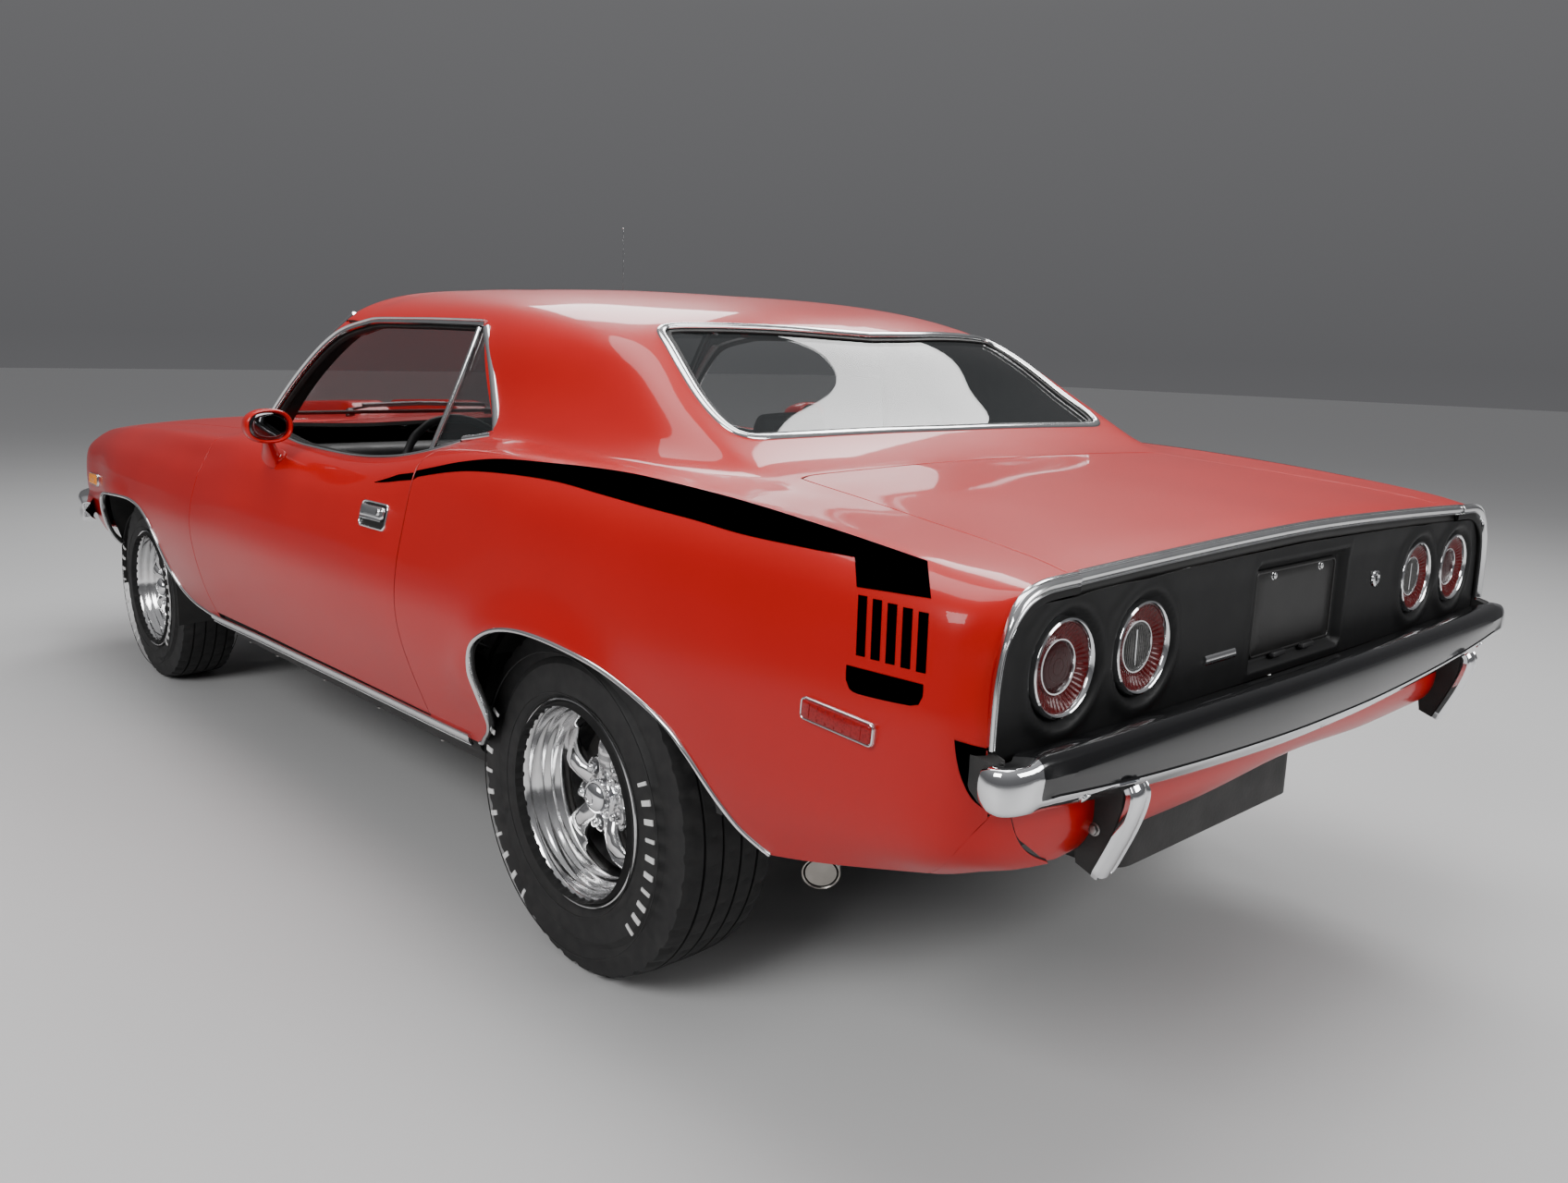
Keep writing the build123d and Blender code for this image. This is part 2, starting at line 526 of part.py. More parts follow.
# --- Mirrors, antenna --------------------------------------------------------------------------------
with BuildPart() as mirror_left:
    with BuildSketch(Plane.YZ.offset(X(1235))) as glass_end:
        with Locations((935, 990)):
            Ellipse(58, 42)
    with BuildSketch(Plane.YZ.offset(X(1335))) as nose_end:
        with Locations((925, 985)):
            Ellipse(26, 20)
    loft([glass_end.sketch.faces()[0], nose_end.sketch.faces()[0]], ruled=True)
    rod((X(1315), 898, 906), (X(1290), 922, 975), 14)
    body_form(-0.5, mode=Mode.SUBTRACT, rows=[row for row in BODY if 900 < row[0] < 2000])
save(mirror_left, "mirror_left")
save_mirror(mirror_left, "mirror_right")

with BuildPart() as antenna:
    rod((X(2060), -722, 930), (X(2052), -718, 1644), 2.5)
    rod((X(2060.2), -722, 905), (X(2060), -722, 934), 9)
    body_form(-0.5, mode=Mode.SUBTRACT, rows=[row for row in BODY if 1800 < row[0] < 2400])
save(antenna, "antenna")


# --- Wheels ---------------------------------------------------------------------------------------------
def wheel_parts(axle_x, y, tyre_r, tyre_w, seat_w):
    """Profiles in the (radius, width) plane about the wheel's own axis."""
    half = seat_w / 2
    tyre = [(192, half - 6), (206, half - 4), (tyre_r - 100, tyre_w / 2 - 2), (tyre_r - 72, tyre_w / 2),
            (tyre_r - 30, tyre_w / 2 - 14), (tyre_r - 10, tyre_w / 2 - 27), (tyre_r, tyre_w / 2 - 46)]
    rim = [(RIM_SEAT_R - 12, half + 8), (RIM_R, half + 8), (RIM_R, half - 2), (RIM_SEAT_R, half - 4)]
    return tyre, rim


WHEELS = [
    # name          axle x        centre y        tyre radius   tyre width    bead width  spoke plane  hub back
    ("rear_left", REAR_AXLE_X, REAR_WHEEL_Y, REAR_TYRE_R, REAR_TYRE_W, 204, 40, 648),
    ("front_left", FRONT_AXLE_X, FRONT_WHEEL_Y, FRONT_TYRE_R, FRONT_TYRE_W, 178, 30, 656),
]
for name, axle_x, y, tyre_r, tyre_w, seat_w, spoke_y, hub_back in WHEELS:
    tyre_profile, rim_profile = wheel_parts(axle_x, y, tyre_r, tyre_w, seat_w)
    with BuildPart() as tyre:
        ring_about_axle(tyre_profile, axle_x, y, tyre_r)
    with BuildPart() as rim:
        ring_about_axle(rim_profile, axle_x, y, tyre_r)
        along_y(axle_x, tyre_r, 72, hub_back, y + spoke_y + 22)
        with BuildSketch(Plane(origin=(axle_x, y + spoke_y + 14, tyre_r), x_dir=(1, 0, 0), z_dir=(0, -1, 0))) as spokes:
            with PolarLocations(0, 5, start_angle=90):
                with Locations((125, 0)):
                    Rectangle(128, 46)
        extrude(spokes.sketch, amount=26)
    save(tyre, "tyre_" + name)
    save_mirror(tyre, "tyre_" + name.replace("left", "right"))
    save(rim, "wheel_" + name)
    save_mirror(rim, "wheel_" + name.replace("left", "right"))
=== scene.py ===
import bpy
import bmesh
import math
import numpy as np
from mathutils import Vector, Matrix
from mathutils.geometry import delaunay_2d_cdt


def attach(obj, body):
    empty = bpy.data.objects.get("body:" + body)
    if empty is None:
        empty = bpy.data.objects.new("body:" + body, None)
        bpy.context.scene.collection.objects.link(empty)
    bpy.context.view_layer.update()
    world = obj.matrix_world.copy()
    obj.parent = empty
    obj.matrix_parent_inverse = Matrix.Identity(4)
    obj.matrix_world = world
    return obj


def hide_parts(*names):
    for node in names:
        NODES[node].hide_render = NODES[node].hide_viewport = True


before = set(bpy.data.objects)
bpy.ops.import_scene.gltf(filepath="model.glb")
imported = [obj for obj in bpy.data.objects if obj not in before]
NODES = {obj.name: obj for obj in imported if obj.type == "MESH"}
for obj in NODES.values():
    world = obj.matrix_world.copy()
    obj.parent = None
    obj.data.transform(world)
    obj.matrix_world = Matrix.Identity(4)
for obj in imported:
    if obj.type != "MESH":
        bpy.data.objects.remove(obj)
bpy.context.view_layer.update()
RX = -1.290                      # rear axle in the row frame; tables below are in metres from the rear axle
FX = 2.743                       # front axle from the rear axle
rng = np.random.default_rng(7)

# the photograph's camera, in the row frame
CAM_POS = (-3.211, 2.113, 1.217)
CAM_AXES = ((-0.678213, -0.734345, 0.027641), (0.160000, -0.110850, 0.980873), (-0.717236, 0.669664, 0.192675))

# =====================================================================================
# Materials
# =====================================================================================
MATS = {}


class NT:
    """Small helper around a node tree."""

    def __init__(self, name):
        self.mat = bpy.data.materials.new(name)
        self.mat.use_nodes = True
        self.nt = self.mat.node_tree
        self.nt.nodes.clear()
        self.out = self.nt.nodes.new("ShaderNodeOutputMaterial")
        self.b = self.nt.nodes.new("ShaderNodeBsdfPrincipled")
        self.nt.links.new(self.b.outputs[0], self.out.inputs[0])
        self.coord = None
        MATS[name] = self.mat

    def n(self, kind, **props):
        node = self.nt.nodes.new(kind)
        for k, v in props.items():
            setattr(node, k, v)
        return node

    def link(self, a, b):
        self.nt.links.new(a, b)

    def obj(self):
        if self.coord is None:
            self.coord = self.n("ShaderNodeTexCoord")
        return self.coord.outputs["Object"]

    def set(self, **kw):
        names = {"color": "Base Color", "rough": "Roughness", "metal": "Metallic", "coat": "Coat Weight",
                 "coat_rough": "Coat Roughness", "spec": "Specular IOR Level", "trans": "Transmission Weight",
                 "ior": "IOR", "sheen": "Sheen Weight", "alpha": "Alpha", "coat_ior": "Coat IOR"}
        for k, v in kw.items():
            s = self.b.inputs[names[k]]
            s.default_value = (*v, 1.0) if k == "color" and len(v) == 3 else v

    def noise(self, scale, detail=3.0, rough=0.5, vec=None):
        t = self.n("ShaderNodeTexNoise")
        t.inputs["Scale"].default_value = scale
        t.inputs["Detail"].default_value = detail
        t.inputs["Roughness"].default_value = rough
        self.link(vec if vec is not None else self.obj(), t.inputs["Vector"])
        return t.outputs["Fac"]

    def ramp(self, fac, stops):
        r = self.n("ShaderNodeValToRGB")
        el = r.color_ramp.elements
        while len(el) < len(stops):
            el.new(0.5)
        for e, (p, c) in zip(el, stops):
            e.position = p
            e.color = (*c, 1.0) if len(c) == 3 else c
        self.link(fac, r.inputs["Fac"])
        return r.outputs["Color"]

    def fmap(self, fac, lo, hi, a=0.0, b=1.0):
        m = self.n("ShaderNodeMapRange")
        m.inputs["From Min"].default_value = a
        m.inputs["From Max"].default_value = b
        m.inputs["To Min"].default_value = lo
        m.inputs["To Max"].default_value = hi
        self.link(fac, m.inputs["Value"])
        return m.outputs["Result"]

    def bump(self, height, strength, distance, prev=None, coat=False):
        b = self.n("ShaderNodeBump")
        b.inputs["Strength"].default_value = strength
        b.inputs["Distance"].default_value = distance
        self.link(height, b.inputs["Height"])
        if prev is not None:
            self.link(prev, b.inputs["Normal"])
        return b.outputs["Normal"]

    def normal(self, nrm, coat=False):
        self.link(nrm, self.b.inputs["Normal"])
        if coat:
            self.link(nrm, self.b.inputs["Coat Normal"])


def make_materials():
    # glossy red paint: base with faint depth variation, clear coat over it with slight orange peel
    m = NT("body_paint")
    m.set(rough=0.38, coat=0.45, coat_rough=0.025, spec=0.18, coat_ior=1.45)
    c = m.ramp(m.noise(2.3, 3), [(0.3, (0.40, 0.0023, 0.0016)), (0.7, (0.44, 0.0030, 0.0021))])
    m.link(c, m.b.inputs["Base Color"])
    nb = m.bump(m.noise(420, 1.0), 0.035, 0.0004)
    nb = m.bump(m.noise(5.5, 1.0), 0.04, 0.004, nb)
    m.link(nb, m.b.inputs["Coat Normal"])

    # near-black inner skins and rim walls of the body panels: painted shade, so that the shut lines and panel gaps read
    # dark
    m = NT("panel_inside")
    m.set(rough=0.55, spec=0.3)
    c = m.ramp(m.noise(9, 4), [(0.3, (0.016, 0.015, 0.015)), (0.75, (0.028, 0.026, 0.025))])
    m.link(c, m.b.inputs["Base Color"])
    m.normal(m.bump(m.noise(160, 2), 0.15, 0.0006))

    m = NT("jamb_paint")
    m.set(rough=0.30, coat=0.7, coat_rough=0.06, spec=0.45)
    c = m.ramp(m.noise(3.3, 3), [(0.3, (0.32, 0.0024, 0.0017)), (0.7, (0.36, 0.0031, 0.0022))])
    m.link(c, m.b.inputs["Base Color"])
    m.link(m.bump(m.noise(300, 1.0), 0.06, 0.0005), m.b.inputs["Coat Normal"])

    # also used as painted shade: the film beside the rear bumper ends and the lip under the deck trim
    m = NT("black_satin")       # satin black stripe, tail panel and bumper face
    m.set(rough=0.36, spec=0.5)
    c = m.ramp(m.noise(30, 3), [(0.3, (0.0085, 0.0082, 0.0080)), (0.7, (0.0125, 0.0120, 0.0116))])
    m.link(c, m.b.inputs["Base Color"])
    m.link(m.fmap(m.noise(12, 3), 0.33, 0.42), m.b.inputs["Roughness"])
    m.normal(m.bump(m.noise(650, 2), 0.10, 0.0003))

    m = NT("black_texture")     # textured black of the recessed tail panel
    m.set(rough=0.50, spec=0.28)
    c = m.ramp(m.noise(40, 3), [(0.3, (0.0040, 0.0041, 0.0044)), (0.7, (0.0062, 0.0063, 0.0066))])
    m.link(c, m.b.inputs["Base Color"])
    m.link(m.fmap(m.noise(15, 3), 0.46, 0.6), m.b.inputs["Roughness"])
    m.normal(m.bump(m.noise(900, 2), 0.25, 0.0003))

    m = NT("bumper_black")      # upper face of the chrome rear bumper: painted reflection, glossy near-black standing in for the dark room mirrored in it
    m.set(metal=0.0, rough=0.18, coat=0.55, coat_rough=0.03, spec=0.3)
    c = m.ramp(m.noise(5, 3), [(0.3, (0.0035, 0.0036, 0.0042)), (0.7, (0.0050, 0.0052, 0.0060))])
    m.link(c, m.b.inputs["Base Color"])
    m.link(m.bump(m.noise(7, 2), 0.05, 0.003), m.b.inputs["Coat Normal"])

    m = NT("chrome")
    m.set(metal=1.0, rough=0.045)
    c = m.ramp(m.noise(6, 3), [(0.3, (0.82, 0.83, 0.845)), (0.7, (0.87, 0.875, 0.885))])
    m.link(c, m.b.inputs["Base Color"])
    m.link(m.fmap(m.noise(14, 4), 0.03, 0.075), m.b.inputs["Roughness"])
    m.normal(m.bump(m.noise(18, 2), 0.02, 0.002))

    m = NT("chrome_trim")       # bright stainless trim, faintly softer than plating
    m.set(metal=1.0, rough=0.12)
    c = m.ramp(m.noise(12, 3), [(0.3, (0.74, 0.745, 0.75)), (0.7, (0.82, 0.825, 0.83))])
    m.link(c, m.b.inputs["Base Color"])
    m.link(m.fmap(m.noise(40, 4), 0.09, 0.18), m.b.inputs["Roughness"])

    m = NT("polished_alloy")
    m.set(metal=1.0, rough=0.14)
    c = m.ramp(m.noise(25, 5), [(0.25, (0.70, 0.70, 0.70)), (0.75, (0.86, 0.86, 0.865))])
    m.link(c, m.b.inputs["Base Color"])
    m.link(m.fmap(m.noise(55, 5), 0.06, 0.22), m.b.inputs["Roughness"])
    m.normal(m.bump(m.noise(120, 4), 0.06, 0.0008))

    m = NT("cast_alloy")        # unpolished inside of the rims
    m.set(metal=1.0, rough=0.42)
    c = m.ramp(m.noise(60, 4), [(0.3, (0.30, 0.30, 0.305)), (0.7, (0.46, 0.46, 0.465))])
    m.link(c, m.b.inputs["Base Color"])
    m.normal(m.bump(m.noise(300, 3), 0.25, 0.0006))

    m = NT("tyre_rubber")
    m.set(rough=0.62, spec=0.35)
    c = m.ramp(m.noise(45, 4), [(0.3, (0.012, 0.012, 0.0125)), (0.75, (0.022, 0.0215, 0.021))])
    m.link(c, m.b.inputs["Base Color"])
    m.link(m.fmap(m.noise(22, 3), 0.5, 0.74), m.b.inputs["Roughness"])
    m.normal(m.bump(m.noise(500, 3), 0.22, 0.0005))

    m = NT("tyre_white")        # raised white marks on the sidewall
    m.set(rough=0.6, spec=0.4)
    c = m.ramp(m.noise(60, 4), [(0.25, (0.60, 0.60, 0.59)), (0.7, (0.74, 0.74, 0.73))])
    m.link(c, m.b.inputs["Base Color"])
    m.normal(m.bump(m.noise(400, 2), 0.1, 0.0003))

    m = NT("rubber_black")
    m.set(rough=0.55, spec=0.35)
    c = m.ramp(m.noise(30, 3), [(0.3, (0.010, 0.010, 0.010)), (0.7, (0.018, 0.018, 0.018))])
    m.link(c, m.b.inputs["Base Color"])
    m.normal(m.bump(m.noise(700, 2), 0.15, 0.0003))

    m = NT("plastic_black")     # grained moulded plastic and dash pad
    m.set(rough=0.46, spec=0.45)
    c = m.ramp(m.noise(20, 3), [(0.3, (0.010, 0.010, 0.0105)), (0.7, (0.017, 0.017, 0.0175))])
    m.link(c, m.b.inputs["Base Color"])
    v = m.n("ShaderNodeTexVoronoi")
    v.inputs["Scale"].default_value = 750
    m.link(m.obj(), v.inputs["Vector"])
    m.normal(m.bump(v.outputs["Distance"], 0.22, 0.0006))

    m = NT("vinyl")             # black seat vinyl, grained, with pleats in the geometry
    m.set(rough=0.42, spec=0.5)
    c = m.ramp(m.noise(14, 4), [(0.3, (0.0105, 0.0105, 0.011)), (0.75, (0.019, 0.0185, 0.019))])
    m.link(c, m.b.inputs["Base Color"])
    v = m.n("ShaderNodeTexVoronoi")
    v.inputs["Scale"].default_value = 420
    m.link(m.obj(), v.inputs["Vector"])
    nb = m.bump(v.outputs["Distance"], 0.3, 0.0008)
    m.normal(m.bump(m.noise(22, 3), 0.2, 0.004, nb))
    m.link(m.fmap(m.noise(18, 3), 0.34, 0.52), m.b.inputs["Roughness"])

    m = NT("carpet")
    m.set(rough=0.95, spec=0.1, sheen=0.3)
    c = m.ramp(m.noise(900, 4), [(0.3, (0.006, 0.006, 0.006)), (0.75, (0.022, 0.021, 0.021))])
    m.link(c, m.b.inputs["Base Color"])
    m.normal(m.bump(m.noise(1300, 3), 0.8, 0.002))

    m = NT("headliner")
    m.set(rough=0.8, spec=0.25)
    c = m.ramp(m.noise(25, 3), [(0.3, (0.020, 0.020, 0.020)), (0.7, (0.032, 0.032, 0.032))])
    m.link(c, m.b.inputs["Base Color"])
    v = m.n("ShaderNodeTexVoronoi")
    v.inputs["Scale"].default_value = 500
    m.link(m.obj(), v.inputs["Vector"])
    m.normal(m.bump(v.outputs["Distance"], 0.35, 0.0008))

    def glass(name, tint, alpha, rough=0.0):
        m = NT(name)
        m.nt.nodes.remove(m.b)
        mix = m.n("ShaderNodeMixShader")
        tr = m.n("ShaderNodeBsdfTransparent")
        tr.inputs["Color"].default_value = (*tint, 1)
        gl = m.n("ShaderNodeBsdfGlossy")
        gl.inputs["Roughness"].default_value = rough
        gl.inputs["Color"].default_value = (0.95, 0.97, 0.97, 1)
        fr = m.n("ShaderNodeFresnel")
        fr.inputs["IOR"].default_value = 1.52
        add = m.n("ShaderNodeMath", operation="MULTIPLY_ADD")
        add.inputs[1].default_value = 1.0
        add.inputs[2].default_value = alpha
        m.link(fr.outputs[0], add.inputs[0])
        nz = m.noise(5, 2)
        bp = m.bump(nz, 0.012, 0.002)
        m.link(bp, gl.inputs["Normal"])
        m.link(add.outputs[0], mix.inputs[0])
        m.link(tr.outputs[0], mix.inputs[1])
        m.link(gl.outputs[0], mix.inputs[2])
        m.link(mix.outputs[0], m.out.inputs[0])
        return m.mat

    def glass_p(name, color, alpha, rough=0.02):
        m = NT(name)
        m.set(rough=rough, spec=0.7, alpha=alpha, color=color, coat=1.0, coat_rough=0.01)
        c = m.ramp(m.noise(3, 2), [(0.3, tuple(0.9 * x for x in color)), (0.7, color)])
        m.link(c, m.b.inputs["Base Color"])
        m.link(m.bump(m.noise(6, 2), 0.015, 0.002), m.b.inputs["Coat Normal"])
        return m.mat

    glass_p("glass", (0.012, 0.016, 0.017), 0.34)
    glass_p("glass_dark", (0.008, 0.010, 0.011), 0.62)

    m = NT("mirror_glass")
    m.set(metal=1.0, rough=0.02, color=(0.12, 0.12, 0.125))
    c = m.ramp(m.noise(5, 2), [(0.3, (0.10, 0.10, 0.105)), (0.7, (0.13, 0.13, 0.135))])
    m.link(c, m.b.inputs["Base Color"])

    def lamp(name, c0, c1, rough=0.08, emit=0.0):
        m = NT(name)
        m.set(rough=0.25, spec=0.20, coat=0.22, coat_rough=0.03)
        v = m.n("ShaderNodeTexVoronoi")
        v.inputs["Scale"].default_value = 260
        m.link(m.obj(), v.inputs["Vector"])
        c = m.ramp(v.outputs["Distance"], [(0.0, c0), (0.6, c1)])
        m.link(c, m.b.inputs["Base Color"])
        m.normal(m.bump(v.outputs["Distance"], 0.25, 0.0012))
        return m

    lamp("lens_red", (0.040, 0.0008, 0.0010), (0.095, 0.0018, 0.0024))
    lamp("lens_red_dark", (0.014, 0.0006, 0.0008), (0.034, 0.0010, 0.0014))
    lamp("lens_red_side", (0.17, 0.004, 0.005), (0.28, 0.009, 0.010))
    lamp("lens_amber", (0.75, 0.20, 0.010), (0.95, 0.32, 0.02))
    lamp("lens_clear", (0.06, 0.06, 0.06), (0.12, 0.118, 0.115))

    m = NT("lens_head")
    m.set(rough=0.05, spec=0.7, alpha=0.28, color=(0.8, 0.82, 0.82), coat=1.0, coat_rough=0.01)
    w = m.n("ShaderNodeTexWave")
    w.inputs["Scale"].default_value = 40
    m.link(m.obj(), w.inputs["Vector"])
    c = m.ramp(w.outputs["Fac"], [(0.2, (0.6, 0.62, 0.62)), (0.8, (0.85, 0.87, 0.87))])
    m.link(c, m.b.inputs["Base Color"])
    m.normal(m.bump(w.outputs["Fac"], 0.3, 0.002))

    def metal(name, c0, c1, r0, r1, scale=20, bumpd=0.0006, metalness=1.0, bs=0.2):
        m = NT(name)
        m.set(metal=metalness, rough=(r0 + r1) / 2)
        c = m.ramp(m.noise(scale, 5), [(0.3, c0), (0.7, c1)])
        m.link(c, m.b.inputs["Base Color"])
        m.link(m.fmap(m.noise(scale * 1.7, 4), r0, r1), m.b.inputs["Roughness"])
        m.normal(m.bump(m.noise(scale * 12, 3), bs, bumpd))
        return m

    metal("bare_steel", (0.28, 0.27, 0.26), (0.42, 0.41, 0.40), 0.28, 0.45)
    metal("cast_iron", (0.025, 0.024, 0.023), (0.055, 0.052, 0.05), 0.5, 0.7, 30, 0.001, 0.6)
    metal("engine_paint", (0.50, 0.075, 0.012), (0.62, 0.10, 0.018), 0.28, 0.42, 14, 0.0006, 0.0)
    # near-black underbody finish, also used as painted shade on the fuel tank and on the blocks behind the rear bumper
    # corners
    metal("under_black", (0.010, 0.010, 0.010), (0.024, 0.023, 0.022), 0.5, 0.72, 12, 0.0015, 0.0, 0.35)
    metal("exhaust_steel", (0.34, 0.32, 0.29), (0.50, 0.47, 0.43), 0.25, 0.42, 18)
    metal("gunmetal", (0.10, 0.10, 0.105), (0.17, 0.17, 0.175), 0.3, 0.45, 30)

    m = NT("gauge_face")
    m.set(rough=0.3, spec=0.4, coat=1.0, coat_rough=0.03)
    c = m.ramp(m.noise(200, 2), [(0.3, (0.012, 0.012, 0.012)), (0.7, (0.02, 0.02, 0.02))])
    m.link(c, m.b.inputs["Base Color"])

    m = NT("gauge_mark")
    m.set(rough=0.4)
    c = m.ramp(m.noise(200, 2), [(0.3, (0.62, 0.62, 0.6)), (0.7, (0.75, 0.75, 0.72))])
    m.link(c, m.b.inputs["Base Color"])


make_materials()

# =====================================================================================
# Mesh helpers
# =====================================================================================


def make(name, verts, faces, mats, body="body", face_mats=None, smooth=True, normals=None, replaces=(), slot=None,
         angle=None):
    """A mesh piece. verts are in metres from the rear axle (x), shifted here to the row frame."""
    v = np.array(verts, float).reshape(-1, 3).copy()
    v[:, 0] += RX
    me = bpy.data.meshes.new(name)
    me.from_pydata(v.tolist(), [], [tuple(int(i) for i in f) for f in faces])
    if isinstance(mats, str):
        mats = [mats]
    for m in mats:
        me.materials.append(MATS[m])
    if face_mats is not None:
        me.polygons.foreach_set("material_index", np.array(face_mats, np.int32))
    me.polygons.foreach_set("use_smooth", np.full(len(me.polygons), bool(smooth)))
    if angle is not None and normals is None:
        me.validate()
        bm = bmesh.new()
        bm.from_mesh(me)
        lim = math.radians(angle)
        for e in bm.edges:
            if len(e.link_faces) == 2 and e.calc_face_angle(0.0) > lim:
                e.smooth = False
        bm.to_mesh(me)
        bm.free()
    me.update()
    if normals is not None:
        n = np.array(normals, float)
        ln = np.linalg.norm(n, axis=1, keepdims=True)
        n = n / np.maximum(ln, 1e-12)
        me.normals_split_custom_set_from_vertices(n.tolist())
    ob = bpy.data.objects.new(name, me)
    bpy.context.scene.collection.objects.link(ob)
    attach(ob, body)
    if replaces:
        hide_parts(*replaces)
    return ob


class Soup:
    """Collects several closed lumps into one piece."""

    def __init__(self):
        self.v, self.f, self.m = [], [], []

    def add(self, v, f, mat=0):
        base = len(self.v)
        self.v.extend([tuple(p) for p in np.array(v, float).reshape(-1, 3)])
        self.f.extend([tuple(base + int(i) for i in q) for q in f])
        if isinstance(mat, (list, tuple, np.ndarray)):
            self.m.extend(list(mat))
        else:
            self.m.extend([mat] * len(f))
        return self

    def addp(self, part, mat=0):
        return self.add(part[0], part[1], mat)

    def make(self, name, mats, body="body", **kw):
        kw.setdefault("angle", 35)
        return make(name, self.v, self.f, mats, body, face_mats=self.m, **kw)


def flip(f):
    return [tuple(reversed(q)) for q in f]


def mirror_part(part):
    v, f = part
    v = np.array(v, float).copy()
    v[:, 1] *= -1
    return v, flip(f)


def moved(part, d):
    return np.array(part[0], float) + np.array(d, float), part[1]


def rotated(part, axis, deg, centre=(0, 0, 0)):
    c = np.array(centre, float)
    R = np.array(Matrix.Rotation(math.radians(deg), 3, Vector(axis)))
    return (np.array(part[0], float) - c) @ R.T + c, part[1]


def grid_faces(n, m, closed_u=False, closed_v=False, base=0):
    """Faces of an n by m grid of points (row-major, n rows of m)."""
    f = []
    for i in range(n if closed_u else n - 1):
        for j in range(m if closed_v else m - 1):
            a = base + i * m + j
            b = base + i * m + (j + 1) % m
            c = base + ((i + 1) % n) * m + (j + 1) % m
            d = base + ((i + 1) % n) * m + j
            f.append((a, d, c, b))
    return f


def loft(rings, cap=True, closed=False):
    """Closed rings of equal count joined by quads; caps are fans round a middle vertex unless closed."""
    rings = np.array(rings, float)
    n, m = rings.shape[:2]
    v = rings.reshape(-1, 3)
    f = grid_faces(n, m, closed_u=closed, closed_v=True)
    if cap and not closed:
        v = np.vstack([v, rings[0].mean(0), rings[-1].mean(0)])
        a, b = n * m, n * m + 1
        for j in range(m):
            f.append((a, j, (j + 1) % m))
            f.append((b, (n - 1) * m + (j + 1) % m, (n - 1) * m + j))
    return fix(v, f)


def fix(v, f):
    """Outward winding for a closed mesh, by signed volume."""
    v = np.array(v, float)
    vol = 0.0
    for q in f:
        for k in range(1, len(q) - 1):
            vol += np.dot(v[q[0]], np.cross(v[q[k]], v[q[k + 1]]))
    return (v, flip(f)) if vol < 0 else (v, f)


def frames_along(path, up=(0, 0, 1), closed=False):
    """Tangent, side and up vectors along a polyline, with up held near the given direction."""
    p = np.array(path, float)
    n = len(p)
    t = np.zeros_like(p)
    if closed:
        t = np.roll(p, -1, 0) - np.roll(p, 1, 0)
    else:
        t[1:-1] = p[2:] - p[:-2]
        t[0], t[-1] = p[1] - p[0], p[-1] - p[-2]
    t /= np.linalg.norm(t, axis=1, keepdims=True)
    ups = np.array(up, float)
    if ups.ndim == 1:
        ups = np.tile(ups, (n, 1))
    side = np.cross(t, ups)
    side /= np.maximum(np.linalg.norm(side, axis=1, keepdims=True), 1e-9)
    u = np.cross(side, t)
    return t, side, u


def sweep(profile, path, up=(0, 0, 1), closed=False, scale=None, cap=True):
    """Closed profile (side, up) swept along path. up may be one vector or one per point."""
    p = np.array(path, float)
    t, s, u = frames_along(p, up, closed)
    pr = np.array(profile, float)
    rings = []
    for i in range(len(p)):
        k = 1.0 if scale is None else scale[i]
        rings.append(p[i] + k * (pr[:, :1] * s[i] + pr[:, 1:] * u[i]))
    return loft(rings, cap=cap, closed=closed)


def circle(r, n=16, phase=0.0):
    a = np.linspace(0, 2 * math.pi, n, endpoint=False) + phase
    return np.stack([r * np.cos(a), r * np.sin(a)], 1)


def tube(path, r, n=12, closed=False):
    p = np.array(path, float)
    # rotation-minimising frames
    t = np.zeros_like(p)
    if closed:
        t = np.roll(p, -1, 0) - np.roll(p, 1, 0)
    else:
        t[1:-1] = p[2:] - p[:-2]
        t[0], t[-1] = p[1] - p[0], p[-1] - p[-2]
    t /= np.linalg.norm(t, axis=1, keepdims=True)
    a = np.array([0, 0, 1.0]) if abs(t[0][2]) < 0.9 else np.array([1.0, 0, 0])
    s = np.cross(t[0], a)
    s /= np.linalg.norm(s)
    rings = []
    rr = np.broadcast_to(np.array(r, float), (len(p),))
    c = circle(1.0, n)
    for i in range(len(p)):
        s = s - np.dot(s, t[i]) * t[i]
        s /= np.linalg.norm(s)
        u = np.cross(s, t[i])
        rings.append(p[i] + rr[i] * (c[:, :1] * s + c[:, 1:] * u))
    return loft(rings, closed=closed)


